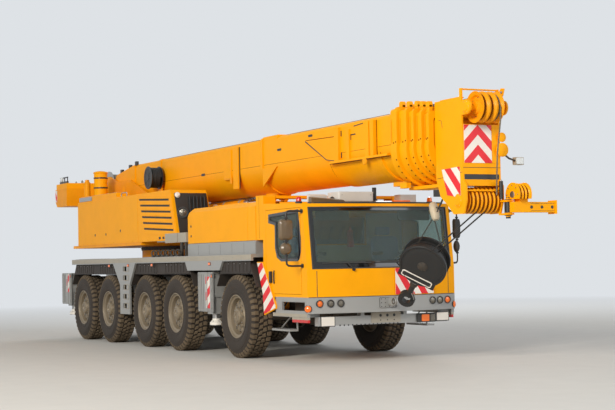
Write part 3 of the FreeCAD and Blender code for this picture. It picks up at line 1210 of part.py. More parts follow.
def head_section():
    """Innermost section with the boom head, its sheave pins, guard rods and the nose's lugs."""
    start = BOOM_REAR_X + TAIL_STEP * 5
    x0, x1 = HEAD_X
    w = HEAD_HALF_W
    tube = boom_tube(BOOM_STEP * 5, BOOM_WALL, start, x0 + HEAD_LAP)
    front = block(x1 - HEAD_FRONT_T, x1, -w, w, *HEAD_FRONT)
    chin = block(x1 - HEAD_CHIN_LEN, x1, -w, w, *HEAD_CHIN)
    back = block(x0, x0 + HEAD_FRONT_T, -w, w, *HEAD_BACK_Z)
    pins = [rod("y", pin, HEAD_PIN_R, -w, w) for pin in (UPPER_PIN, LOWER_PIN)]
    r = GUARD_ROD_R
    reach = LOWER_SHEAVE_R + 2 * r
    turn = math.radians(GUARD_TURN)
    rods = [rod("y", (x1 - 2 * r, GUARD_Z), r, -w, w),
            rod("y", (LOWER_PIN[0] + reach * math.cos(turn), LOWER_PIN[1] + reach * math.sin(turn)), r, -w, w)]
    hx, hy = NOSE_HINGE
    half = NOSE_LUG_HALF_W
    lugs = [block(x1 - CUT, hx + half, w - 2 * HEAD_PLATE_T, hy + half, low, low + NOSE_LUG_T) for low in NOSE_LUG_Z]
    hole = rod("z", NOSE_HINGE, NOSE_HINGE_R + FIT, NOSE_LUG_Z[0] - CUT, NOSE_LUG_Z[1] + NOSE_LUG_T + CUT)
    return joined([tube, slide_pad(5), front, chin, back] + both_sides([head_plate()]) + pins + rods
                  + [lug.cut(hole) for lug in lugs])


def sheaves(pin, radius, count, pitch, groove):
    """A row of grooved sheaves on one pin, joined by their hubs."""
    half = count * pitch / 2
    profile = [(-half, HEAD_PIN_R + FIT), (-half, radius)]
    for number in range(count):
        y = number * pitch - half
        profile += [(y + pitch / 2, radius - groove), (y + pitch, radius)]
    profile.append((half, HEAD_PIN_R + FIT))
    return turned_y(profile, *pin)


def boom_nose():
    """Folded boom nose on its hinge beside the head, with its sheaves between two cheeks."""
    hx, hy = NOSE_HINGE
    (low_lug, high_lug), t = NOSE_LUG_Z, NOSE_LUG_T
    hinge = rod("z", NOSE_HINGE, NOSE_HINGE_R, low_lug - t, high_lug + 2 * t)
    boss = rod("z", NOSE_HINGE, NOSE_BOSS_R, low_lug + t + FIT, high_lug - FIT)
    x0, x1 = NOSE_BEAM_X
    low, high = low_lug + t + RUN, high_lug - RUN
    arm = block(hx, x0 + CUT, hy - NOSE_BACK, hy + NOSE_ARM_W, low, high)
    beam = block(x0, x1, hy - NOSE_BACK, NOSE_BEAM_END_Y, low, high)
    end = block(x0 - NOSE_END_T, x1 + NOSE_END_T, NOSE_BEAM_END_Y - NOSE_END_T, NOSE_BEAM_END_Y,
                low - NOSE_END_T, high + NOSE_END_T)
    y0, y1 = NOSE_SHEAVE_Y
    riser = block(x0, x1, NOSE_RISER_Y, y1, high - CUT, NOSE_SHEAVE_LOW + CUT)
    inner, outer = y0 + NOSE_CHEEK_T, y1 - NOSE_CHEEK_T
    pitch = (outer - inner) / NOSE_SHEAVES
    profile = [(inner, 0.0), (inner, NOSE_SHEAVE_R)]
    for number in range(NOSE_SHEAVES):
        y = inner + number * pitch
        profile += [(y + pitch / 2, NOSE_SHEAVE_R - NOSE_GROOVE), (y + pitch, NOSE_SHEAVE_R)]
    pack = [turned_y(profile + [(outer, 0.0)], *NOSE_SHEAVE)]
    pack += [rod("y", NOSE_SHEAVE, NOSE_CHEEK_R, y, y + NOSE_CHEEK_T) for y in (y0, outer)]
    above = block(hx - NOSE_X, NOSE_X, y0, y1, NOSE_SHEAVE_LOW, BOOM_TOP)
    return joined([hinge, boss, arm, beam, end, riser] + [piece.common(above) for piece in pack])


def tangent(point, centre, radius):
    """Where a line from point touches the lower side of a circle, in the XZ plane."""
    dx, dz = point[0] - centre[0], point[1] - centre[1]
    turn = math.atan2(dz, dx) + math.acos(radius / math.hypot(dx, dz))
    return centre[0] + radius * math.cos(turn), centre[1] + radius * math.sin(turn)


def hook_pose(shape):
    """Turn a form drawn upright at the origin into the hook block's place."""
    shape.rotate(V(0, 0, 0), V(0, 0, 1), FULL_TURN / 4 - HOOK_TWIST)
    shape.rotate(V(0, 0, 0), V(0, 1, 0), HOOK_LEAN)
    return shape.translated(V(HOOK_BLOCK[0], 0, HOOK_BLOCK[1]))


def hook_block():
    """Hook block with its cheeks, sheaves and hook, and the ropes up to the boom head."""
    t, half = HOOK_CHEEK_T, HOOK_HALF_T
    k = math.sqrt(HOOK_R ** 2 - HOOK_FOOT_HALF_W ** 2)
    w, chord = HOOK_FOOT_HALF_W, HOOK_CHORD
    shape = [(-w, -k), (0.0, HOOK_R, w, -k), (w, -chord), (-w, -chord)]
    cheeks = [slab("xz", shape, low, low + t) for low in (-half, half - t)]
    spread = HOOK_SHEAVE_GAP
    width = (2 * (half - t) - 4 * spread) / 3
    wheels = [rod("y", (0.0, 0.0), HOOK_SHEAVE_R, -half + t + spread + n * (width + spread),
                  -half + t + spread + n * (width + spread) + width) for n in range(3)]
    pin = rod("y", (0.0, 0.0), HOOK_PIN_R, -half, half)
    base = block(-w, w, -half, half, -chord, -chord + t)
    neck = rod("z", (0.0, 0.0), HOOK_NECK_R, -HOOK_DROP + HOOK_BORE_R + CUT, -chord + CUT)
    ring = rod("z", (0.0, 0.0), HOOK_COLLAR_R, -chord - HOOK_COLLAR_T, -chord + CUT)
    bowl = pipe("y", (0.0, -HOOK_DROP), HOOK_BOWL_R, HOOK_BORE_R, -HOOK_HALF_W, HOOK_HALF_W)
    mouth = block(HOOK_BORE_R / 2, 2 * HOOK_BOWL_R, -HOOK_BOWL_R, HOOK_BOWL_R,
                  -HOOK_DROP + HOOK_BORE_R / 2, -HOOK_DROP + 2 * HOOK_BORE_R)
    hook = bowl.cut(mouth.cut(rod("z", (0.0, 0.0), HOOK_NECK_R, -HOOK_DROP, -chord)))
    block_body = hook_pose(joined(cheeks + wheels + [pin, base, neck, ring, hook]))
    lean = math.radians(HOOK_LEAN)
    top = (HOOK_BLOCK[0] + HOOK_PIN_R * math.sin(lean), HOOK_BLOCK[1] + HOOK_PIN_R * math.cos(lean))
    seat = LOWER_SHEAVE_R - LOWER_GROOVE + (ROPE_R + FIT) / math.cos(math.atan(2 * LOWER_GROOVE / LOWER_PITCH))
    end = tangent(top, LOWER_PIN, seat)
    ropes = [strut((top[0], n * LOWER_PITCH, top[1]), (end[0], n * LOWER_PITCH, end[1]), ROPE_R)
             for n in HOOK_ROPES_Y]
    return joined([block_body] + ropes)


def luffing_cylinder():
    """Barrel and rod of the luffing cylinder, drawn along X from the base pin."""
    length = math.dist(LUFF_BASE, LUFF_EYE)
    w = LUFF_EYE_HALF_W
    eye = rod("y", (0.0, 0.0), BARREL_EYE_R, -w, w)
    pin = rod("y", (0.0, 0.0), BASE_PIN_R, -CHEEK_Y + FIT, CHEEK_Y - FIT)
    barrel = rod("x", (0.0, 0.0), BARREL_R, BARREL_START, BARREL_LEN)
    gland = rod("x", (0.0, 0.0), GLAND_R, BARREL_LEN - GLAND_LEN, BARREL_LEN)
    bore = rod("x", (0.0, 0.0), ROD_R + FIT, BORE_END, length)
    body = joined([joined([eye, barrel, gland]).cut(bore), pin])
    ram = rod("x", (0.0, 0.0), ROD_R, ROD_TAIL, length - ROD_EYE_GAP)
    rod_eye = rod("y", (length, 0.0), ROD_R, -w, w)
    reach = w + RUN + EYE_PLATE_T
    rod_pin = rod("y", (length, 0.0), EYE_PIN_R, -reach, reach)
    return body, joined([ram, rod_eye, rod_pin])


def build_boom():
    """Base section, five telescopic sections, sheaves, nose, hook block and luffing cylinder."""
    save("boom_base", [base_section()])
    for number in range(1, 5):
        save("boom_section_%d" % number, [tele_section(number)])
    save("boom_section_5", [head_section()])
    save("upper_sheaves", [sheaves(UPPER_PIN, UPPER_SHEAVE_R, UPPER_SHEAVES, UPPER_PITCH, UPPER_GROOVE)])
    save("lower_sheaves", [sheaves(LOWER_PIN, LOWER_SHEAVE_R, LOWER_SHEAVES, LOWER_PITCH, LOWER_GROOVE)])
    tilt = -math.degrees(math.atan2(LUFF_EYE[1] - LUFF_BASE[1], LUFF_EYE[0] - LUFF_BASE[0]))
    for node, shape in zip(("luff_barrel", "luff_rod"), luffing_cylinder()):
        shape.rotate(V(0, 0, 0), V(0, 1, 0), tilt)
        shape.translate(V(LUFF_BASE[0], 0, LUFF_BASE[1]))
        save(node, [shape])
    save("boom_nose", [boom_nose()])
    save("hook_block", [hook_block()])


# Crane cab

def crane_cab_outline(inset):
    """Side outline of the crane cab, drawn in by inset."""
    (x0, x1), t = CRANE_CAB_X, inset
    z0, z1 = RING_TOP + FIT + inset, CRANE_CAB_TOP - inset
    knee = RING_TOP + FIT + CRANE_CAB_KNEE
    brow = x1 - CRANE_CAB_BROW - t
    return [(x0 + t, z0), (brow, z0), (x1 + CRANE_CAB_NOSE - t, knee), (brow, z1), (x0 + t, z1)]


def crane_cab():
    """Operator's cab on the left of the superstructure, with its hinge pin, rails and seat."""
    (x0, x1), (y0, y1), t = CRANE_CAB_X, CRANE_CAB_Y, CRANE_CAB_WALL
    z0, z1 = RING_TOP + FIT, CRANE_CAB_TOP
    shell = slab("xz", crane_cab_outline(0.0), y0, y1).cut(slab("xz", crane_cab_outline(t), y0 + t, y1 - t))
    behind, ahead, head = CRANE_DOORWAY
    doorway = block(x0 + behind, x1 - ahead, y1 - t - CUT, y1 + CUT, z0 + t, z1 - head)
    band = CRANE_SCREEN_BAND
    screen = block(x1 - 2 * CRANE_CAB_BROW - 2 * t, x1 + CRANE_CAB_NOSE + CUT, y0 + band, y1 - band,
                   z0 + CRANE_CAB_KNEE + t, z1 - head)
    window = block(x0 + behind, x1 - ahead, y0 - CUT, y0 + t + CUT, z0 + CRANE_CAB_KNEE + t, z1 - head)
    lap, thick = CRANE_RAIL_LAP, CRANE_RAIL_T
    rails = [block(x0 + t, x1 - CRANE_CAB_BROW, y1 - CUT, y1 + RUN - FIT, low, low + thick)
             for low in (z0 + t - thick, z1 - head)]
    x, z = cab_hinge_centre()
    pin = rod("y", (x, z), CAB_HINGE_R, y0, y1 - CRANE_CAB_OUT)
    arms = [block(x, x0 + CUT, low, low + CAB_HINGE_EYE_T, z - CAB_HINGE_R, z + CAB_HINGE_R)
            for low in (y0 + 3 * CAB_HINGE_EYE_T, y1 - CRANE_CAB_OUT - 5 * CAB_HINGE_EYE_T)]
    rear, front, pad, back = CRANE_SEAT
    middle, half = (y0 + y1) / 2, CRANE_SEAT_HALF_W
    seat_pad = block(rear, front, middle - half, middle + half, z0 + t - CUT, z0 + pad)
    seat_back = block(rear - CRANE_SEAT_T, rear + CUT, middle - half, middle + half, z0 + t - CUT, z0 + back)
    return joined([shell.cut(doorway).cut(screen).cut(window), pin, seat_pad, seat_back] + rails + arms)


def crane_glass():
    """Screen and side window of the crane cab."""
    (x0, x1), (y0, y1), t = CRANE_CAB_X, CRANE_CAB_Y, CRANE_CAB_WALL
    z0, z1 = RING_TOP + FIT, CRANE_CAB_TOP
    behind, ahead, head = CRANE_DOORWAY
    band = CRANE_SCREEN_BAND
    leaning = slab("xz", crane_cab_outline(PANE_SINK), y0 + band + FIT, y1 - band - FIT)
    leaning = leaning.cut(slab("xz", crane_cab_outline(PANE_SINK + GLASS_T), y0, y1))
    leaning = leaning.common(block(x1 - 2 * CRANE_CAB_BROW, x1 + CRANE_CAB_NOSE, y0, y1,
                                   z0 + CRANE_CAB_KNEE + t + FIT, z1 - head - FIT))
    pane = block(x0 + behind + FIT, x1 - ahead - FIT, y0 + PANE_SINK, y0 + PANE_SINK + GLASS_T,
                 z0 + CRANE_CAB_KNEE + t + FIT, z1 - head - FIT)
    return [leaning, pane]


def build_crane_cab():
    """Operator's cab with its glass and sliding door."""
    save("crane_cab", [crane_cab()])
    save("crane_cab_glass", crane_glass())
    (x0, x1), y1 = CRANE_CAB_X, CRANE_CAB_Y[1]
    behind, ahead, head = CRANE_DOORWAY
    lap, thick = CRANE_RAIL_LAP, CRANE_RAIL_T
    z0, z1 = RING_TOP + FIT, CRANE_CAB_TOP
    leaf = block(x0 + behind - lap, x1 - ahead + lap, y1 + RUN, y1 + RUN + thick,
                 z0 + CRANE_CAB_WALL - thick, z1 - head + lap)
    save("crane_cab_door", [leaf])


def main():
    """Build every node of the crane."""
    os.makedirs("parts", exist_ok=True)
    build_wheels()
    build_axles()
    build_carrier()
    build_deck()
    build_cab()
    build_cover()
    build_superstructure()
    build_boom()
    build_crane_cab()


main()
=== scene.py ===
"""Dressed model of a five-axle mobile crane in its travel position.

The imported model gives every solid, body and joint. This script gives them their paint, rubber,
steel and glass, and adds the parts that are too fine for solids: treads, glazing, lamps, rigging,
hoses, signs and fittings. Lengths are metres. X runs forward from axle 1, Y to the left, Z up, and
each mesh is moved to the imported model's own origin when it is made.
"""

import json
import logging
import math
from dataclasses import dataclass, field
from enum import Enum
from typing import Callable, Iterable, Optional, Sequence

import bmesh
import bpy
from mathutils import Matrix, Vector

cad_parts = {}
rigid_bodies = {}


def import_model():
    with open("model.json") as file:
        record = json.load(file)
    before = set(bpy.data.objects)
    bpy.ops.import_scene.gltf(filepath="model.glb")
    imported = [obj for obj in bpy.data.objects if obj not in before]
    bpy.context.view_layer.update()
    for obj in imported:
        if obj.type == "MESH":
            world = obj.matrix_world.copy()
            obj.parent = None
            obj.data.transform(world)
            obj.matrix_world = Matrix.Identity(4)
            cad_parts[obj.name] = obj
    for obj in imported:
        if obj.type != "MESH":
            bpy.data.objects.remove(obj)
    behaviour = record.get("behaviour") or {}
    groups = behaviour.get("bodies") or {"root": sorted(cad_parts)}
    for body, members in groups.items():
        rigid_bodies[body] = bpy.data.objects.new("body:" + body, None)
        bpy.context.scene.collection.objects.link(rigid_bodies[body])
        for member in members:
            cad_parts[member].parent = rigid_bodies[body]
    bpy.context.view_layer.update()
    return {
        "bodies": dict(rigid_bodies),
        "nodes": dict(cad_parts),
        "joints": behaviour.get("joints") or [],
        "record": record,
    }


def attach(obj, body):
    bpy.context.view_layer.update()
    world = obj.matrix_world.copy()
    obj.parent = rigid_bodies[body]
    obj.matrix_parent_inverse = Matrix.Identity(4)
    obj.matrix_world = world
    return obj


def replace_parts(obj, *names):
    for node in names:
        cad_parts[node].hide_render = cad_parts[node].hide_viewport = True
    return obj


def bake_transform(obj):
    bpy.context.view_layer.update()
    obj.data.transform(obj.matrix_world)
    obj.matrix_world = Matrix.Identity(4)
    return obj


LOG = logging.getLogger("crane")
AXLE_1_X = 2.44            # axle 1 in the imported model's frame

Point = Sequence[float]
Outline = Sequence[Sequence[float]]


class Side(Enum):
    """The two sides of the vehicle, each with its sign along Y."""

    LEFT = 1
    RIGHT = -1

    @property
    def word(self) -> str:
        """Lower-case name, as the bodies are named."""
        return self.name.lower()


class Wear(Enum):
    """How a surface shows its use."""

    CLEAN = "clean"
    DUSTY = "dusty"
    BRUSHED = "brushed"


# Finishes

def linear(channel: float) -> float:
    """One colour channel of 0 to 255 as a linear value."""
    share = channel / 255.0
    return share / 12.92 if share <= 0.04045 else ((share + 0.055) / 1.055) ** 2.4


@dataclass(frozen=True)
class Finish:
    """A surface finish and how its colour and roughness vary."""

    name: str
    colour: tuple[int, int, int]
    roughness: float
    slot: str
    metallic: float = 0.0
    coat: float = 0.0
    transmission: float = 0.0
    glow: float = 0.0
    grain: float = 60.0
    bump: float = 0.08
    mottle: float = 0.05
    wear: Wear = Wear.CLEAN
    dust_top: float = 1.7
    alpha: float = 1.0
    specular: float = 0.5

    def rgb(self, gain: float = 1.0) -> tuple[float, float, float, float]:
        """The colour as linear values, brightened or darkened by gain."""
        r, g, b = (min(1.0, linear(c) * gain) for c in self.colour)
        return (r, g, b, 1.0)

    def material(self) -> bpy.types.Material:
        """The node material of this finish, made once."""
        made = bpy.data.materials.get(self.name)
        return made if made else MaterialMaker(self).make()


class MaterialMaker:
    """Builds the node material of one finish."""

    DUST = (0.30, 0.245, 0.185, 1.0)

    def __init__(self, finish: Finish) -> None:
        """Start an empty node tree for a finish."""
        self.finish = finish
        self.made = bpy.data.materials.new(finish.name)
        self.made.use_nodes = True
        self.tree = self.made.node_tree
        self.shader = next(n for n in self.tree.nodes if n.type == "BSDF_PRINCIPLED")

    def node(self, kind: str, **values: object) -> bpy.types.Node:
        """A new node with some of its settings or inputs.

        Args:
            kind: Blender's node type.
            values: Settings by name; a name that isn't a setting is an input.
        Returns:
            The node.
        """
        made = self.tree.nodes.new(kind)
        for key, value in values.items():
            if hasattr(made, key):
                setattr(made, key, value)
            else:
                made.inputs[key.replace("_", " ")].default_value = value
        return made

    def link(self, source: bpy.types.NodeSocket, target: bpy.types.NodeSocket) -> None:
        """Join two sockets."""
        self.tree.links.new(source, target)

    def noise(self, scale: float, detail: float, stretch: tuple[float, float, float] = (1, 1, 1)) -> bpy.types.NodeSocket:
        """A noise value over the object's own coordinates.

        Args:
            scale: How fine the noise is.
            detail: Its octaves.
            stretch: Factors that draw it out along an axis.
        Returns:
            The noise's value socket.
        """
        place = self.node("ShaderNodeTexCoord")
        mapping = self.node("ShaderNodeMapping")
        mapping.inputs["Scale"].default_value = stretch
        texture = self.node("ShaderNodeTexNoise", Scale=scale, Detail=detail, Roughness=0.6)
        self.link(place.outputs["Object"], mapping.inputs["Vector"])
        self.link(mapping.outputs["Vector"], texture.inputs["Vector"])
        return texture.outputs["Fac"]

    def spread(self, value: bpy.types.NodeSocket, low: float, high: float) -> bpy.types.NodeSocket:
        """A noise value spread between two numbers."""
        ramp = self.node("ShaderNodeMapRange")
        ramp.inputs["From Min"].default_value, ramp.inputs["From Max"].default_value = 0.3, 0.7
        ramp.inputs["To Min"].default_value, ramp.inputs["To Max"].default_value = low, high
        self.link(value, ramp.inputs["Value"])
        return ramp.outputs["Result"]

    def mix(self, share: bpy.types.NodeSocket, first: object, second: object) -> bpy.types.NodeSocket:
        """Mix two colours, each a socket or four numbers."""
        made = self.node("ShaderNodeMix", data_type="RGBA")
        self.link(share, made.inputs[0])
        for value, socket in ((first, made.inputs[6]), (second, made.inputs[7])):
            if isinstance(value, bpy.types.NodeSocket):
                self.link(value, socket)
            else:
                socket.default_value = value
        return made.outputs[2]

    def dust(self, colour: bpy.types.NodeSocket) -> bpy.types.NodeSocket:
        """Road dust that thins out upwards over a colour."""
        f = self.finish
        place = self.node("ShaderNodeTexCoord")
        parts = self.node("ShaderNodeSeparateXYZ")
        self.link(place.outputs["Object"], parts.inputs[0])
        height = self.node("ShaderNodeMapRange")
        height.inputs["From Min"].default_value, height.inputs["From Max"].default_value = 0.0, f.dust_top
        height.inputs["To Min"].default_value, height.inputs["To Max"].default_value = 0.62, 0.0
        self.link(parts.outputs["Z"], height.inputs["Value"])
        patches = self.spread(self.noise(3.5, 6.0), 0.25, 1.0)
        share = self.node("ShaderNodeMath", operation="MULTIPLY")
        self.link(height.outputs["Result"], share.inputs[0])
        self.link(patches, share.inputs[1])
        return self.mix(share.outputs[0], colour, self.DUST)

    def make(self) -> bpy.types.Material:
        """Fill in colour, roughness, bump and the plain numbers of the shader."""
        f, put = self.finish, self.shader.inputs
        stretch = (1.0, 1.0, 14.0) if f.wear is Wear.BRUSHED else (1.0, 1.0, 1.0)
        colour = self.mix(self.spread(self.noise(2.2, 4.0, stretch), 0.0, 1.0),
                          f.rgb(1.0 - f.mottle), f.rgb(1.0 + f.mottle))
        if f.wear is Wear.DUSTY:
            colour = self.dust(colour)
        self.link(colour, put["Base Color"])
        fine = self.noise(f.grain, 5.0, stretch)
        self.link(self.spread(fine, max(0.02, f.roughness - 0.06), min(1.0, f.roughness + 0.06)),
                  put["Roughness"])
        if f.bump:
            bump = self.node("ShaderNodeBump", Strength=f.bump, Distance=0.01)
            self.link(fine, bump.inputs["Height"])
            self.link(bump.outputs["Normal"], put["Normal"])
        put["Metallic"].default_value = f.metallic
        put["Coat Weight"].default_value = f.coat
        put["Coat Roughness"].default_value = 0.08
        put["Transmission Weight"].default_value = f.transmission
        put["Alpha"].default_value = f.alpha
        put["Specular IOR Level"].default_value = f.specular
        if f.transmission:
            put["IOR"].default_value = 1.12
        if f.glow:
            put["Emission Color"].default_value = f.rgb()
            put["Emission Strength"].default_value = f.glow
        return self.made


YELLOW = Finish("crane_yellow", (251, 169, 4), 0.48, "yellow_paint", coat=0.02, grain=180, bump=0.03, mottle=0.035,
                specular=0.14)
SILL_YELLOW = Finish("weathered_yellow", (243, 158, 8), 0.48, "yellow_paint", coat=0.03, grain=90, bump=0.05,
                     mottle=0.08, specular=0.16)
# Painted shade: a brown that stands in for the shade in creases and grooves, beside ribs, under ledges and on bolt
# heads of the yellow paint.
PAINTED_SHADE_LINE = Finish("shadow_line_brown", (126, 62, 8), 0.6, "yellow_paint", grain=120, bump=0.03, mottle=0.1, specular=0.1)
# Painted sheen: black plastic coloured a warm brown, as it looks in low sun, for the right mirror and the blocks over
# the windscreen.
PAINTED_SHEEN_PLASTIC = Finish("bronze_plastic", (104, 86, 62), 0.34, "black_plastic", coat=0.2, grain=200, bump=0.05, mottle=0.12)
CHASSIS = Finish("chassis_grey", (126, 112, 91), 0.52, "chassis_grey", grain=90, bump=0.08, mottle=0.06,
                 wear=Wear.DUSTY)
PALE_GREY = Finish("pale_grey_paint", (166, 158, 143), 0.5, "chassis_grey", grain=90, bump=0.05, mottle=0.05)
DARK_STEEL = Finish("underbody_steel", (66, 60, 53), 0.6, "chassis_grey", metallic=0.2, grain=40, bump=0.25,
                    mottle=0.2, wear=Wear.DUSTY, dust_top=1.2)
RIM_GREY = Finish("rim_grey", (132, 119, 98), 0.45, "chassis_grey", metallic=0.25, grain=70, bump=0.1, mottle=0.1,
                  wear=Wear.DUSTY, dust_top=2.2)
RUBBER = Finish("tyre_rubber", (52, 44, 37), 0.78, "tyre", grain=120, bump=0.3, mottle=0.18)
TREAD = Finish("dusty_tread", (98, 84, 66), 0.9, "tyre", grain=60, bump=0.5, mottle=0.3)
BLACK_PLASTIC = Finish("black_plastic", (31, 32, 32), 0.55, "black_plastic", grain=220, bump=0.2, mottle=0.1)
FLAP_RUBBER = Finish("mudguard_rubber", (52, 45, 40), 0.66, "black_plastic", grain=90, bump=0.25, mottle=0.14)
BLACK_PAINT = Finish("black_paint", (24, 23, 22), 0.38, "black_paint", coat=0.2, grain=140, bump=0.06, mottle=0.15)
HOSE = Finish("hydraulic_hose", (30, 30, 31), 0.6, "black_plastic", grain=300, bump=0.25, mottle=0.1)
STEEL = Finish("bare_steel", (170, 168, 165), 0.32, "chrome_rod", metallic=0.9, grain=110, bump=0.05, mottle=0.08)
CHROME = Finish("chromed_rod", (214, 214, 214), 0.14, "chrome_rod", metallic=1.0, grain=160, bump=0.01, mottle=0.02,
                wear=Wear.BRUSHED)
ROPE = Finish("steel_rope", (128, 118, 100), 0.55, "chrome_rod", metallic=0.6, grain=260, bump=0.6, mottle=0.2)
GLASS = Finish("cab_glass", (170, 186, 182), 0.05, "glass", transmission=0.9, grain=20, bump=0.0, mottle=0.02)
BLACK_GLASS = Finish("black_glass_border", (12, 13, 14), 0.1, "black_paint", coat=0.5, grain=40, bump=0.0,
                     mottle=0.05)
RED = Finish("sign_red", (226, 30, 40), 0.4, "lamp", grain=160, bump=0.03, mottle=0.05)
WHITE = Finish("sign_white", (238, 232, 222), 0.45, "lamp", grain=160, bump=0.03, mottle=0.04)
AMBER = Finish("amber_lens", (238, 112, 22), 0.18, "lamp", coat=0.6, glow=0.12, grain=260, bump=0.12, mottle=0.08)
RED_LENS = Finish("red_lens", (196, 22, 20), 0.18, "lamp", coat=0.6, glow=0.08, grain=260, bump=0.12, mottle=0.08)
CLEAR_LENS = Finish("clear_lens", (214, 218, 218), 0.1, "lamp", coat=0.8, grain=240, bump=0.15, mottle=0.08)
LAMP_LENS = Finish("headlamp_lens", (118, 112, 100), 0.16, "lamp", metallic=0.6, coat=0.5, grain=90, bump=0.5, mottle=0.5)
REFLECTOR = Finish("lamp_reflector", (190, 190, 186), 0.18, "lamp", metallic=0.9, grain=120, bump=0.1, mottle=0.06)
TRIM = Finish("cab_trim", (64, 60, 54), 0.75, "black_plastic", grain=160, bump=0.2, mottle=0.1)
LIGHT_TRIM = Finish("cab_light_trim", (196, 184, 150), 0.8, "black_plastic", grain=120, bump=0.15, mottle=0.1)
CLOTH = Finish("seat_cloth", (104, 134, 168), 0.95, "black_plastic", grain=420, bump=0.5, mottle=0.12)
SAND_METAL = Finish("sand_cast_iron", (196, 184, 160), 0.6, "chassis_grey", metallic=0.15, grain=80, bump=0.3,
                    mottle=0.14)
ROOF_WHITE = Finish("roof_box_white", (214, 212, 206), 0.45, "chassis_grey", grain=110, bump=0.04, mottle=0.05)


# Drawing tools

@dataclass(frozen=True)
class Plane:
    """A drawing plane: a corner, two directions in it and the direction it faces."""

    origin: Vector
    u: Vector
    v: Vector

    @property
    def out(self) -> Vector:
        """The direction the plane faces."""
        return self.u.cross(self.v)

    def at(self, point: Point, depth: float = 0.0) -> Vector:
        """A point of the plane, moved out by depth."""
        return self.origin + self.u * point[0] + self.v * point[1] + self.out * depth


def wall(side: Side, y: float) -> Plane:
    """Drawing plane of (x, z) points on a vehicle side at distance y, facing outwards."""
    if side is Side.RIGHT:
        return Plane(Vector((0, -y, 0)), Vector((1, 0, 0)), Vector((0, 0, 1)))
    return Plane(Vector((0, y, 0)), Vector((1, 0, 0)), Vector((0, 0, -1)))


def wall_points(side: Side, points: Outline) -> list[tuple[float, float]]:
    """(x, z) points as that side's drawing plane takes them."""
    return [(x, z if side is Side.RIGHT else -z) for x, z in points]


def clip(outline: Outline, a: float, b: float, limit: float) -> list[tuple[float, float]]:
    """The part of a convex outline where a*x + b*y is at least limit."""
    kept: list[tuple[float, float]] = []
    for index, here in enumerate(outline):
        before = outline[index - 1]
        d0, d1 = a * before[0] + b * before[1] - limit, a * here[0] + b * here[1] - limit
        if (d0 < 0) != (d1 < 0):
            share = d0 / (d0 - d1)
            kept.append((before[0] + (here[0] - before[0]) * share, before[1] + (here[1] - before[1]) * share))
        if d1 >= 0:
            kept.append((here[0], here[1]))
    return kept


def stripes(outline: Outline, angle: float, pitch: float, phase: float = 0.0) -> list[list[tuple[float, float]]]:
    """Every second band of a convex outline.

    Args:
        outline: Corners of a convex sign.
        angle: Direction across the bands, in degrees.
        pitch: Distance from one band to the next of its colour.
        phase: Where the first band starts, as a share of the pitch.
    Returns:
        The bands, each an outline.
    """
    a, b = math.cos(math.radians(angle)), math.sin(math.radians(angle))
    along = [a * x + b * y for x, y in outline]
    start = (math.floor(min(along) / pitch) - 1.0 + phase) * pitch
    bands = []
    while start < max(along):
        band = clip(clip(outline, a, b, start), -a, -b, -(start + pitch / 2))
        if len(band) > 2:
            bands.append(band)
        start += pitch
    return bands


def ring_points(centre: Vector, u: Vector, v: Vector, radius: float, sides: int) -> list[Vector]:
    """Points of a circle spanned by two directions."""
    return [centre + (u * math.cos(t) + v * math.sin(t)) * radius
            for t in (2 * math.pi * n / sides for n in range(sides))]


def across(direction: Vector) -> tuple[Vector, Vector]:
    """Two unit directions square to a third."""
    along = direction.normalized()
    other = Vector((0, 0, 1)) if abs(along.z) < 0.9 else Vector((1, 0, 0))
    u = along.cross(other).normalized()
    return u, along.cross(u).normalized()


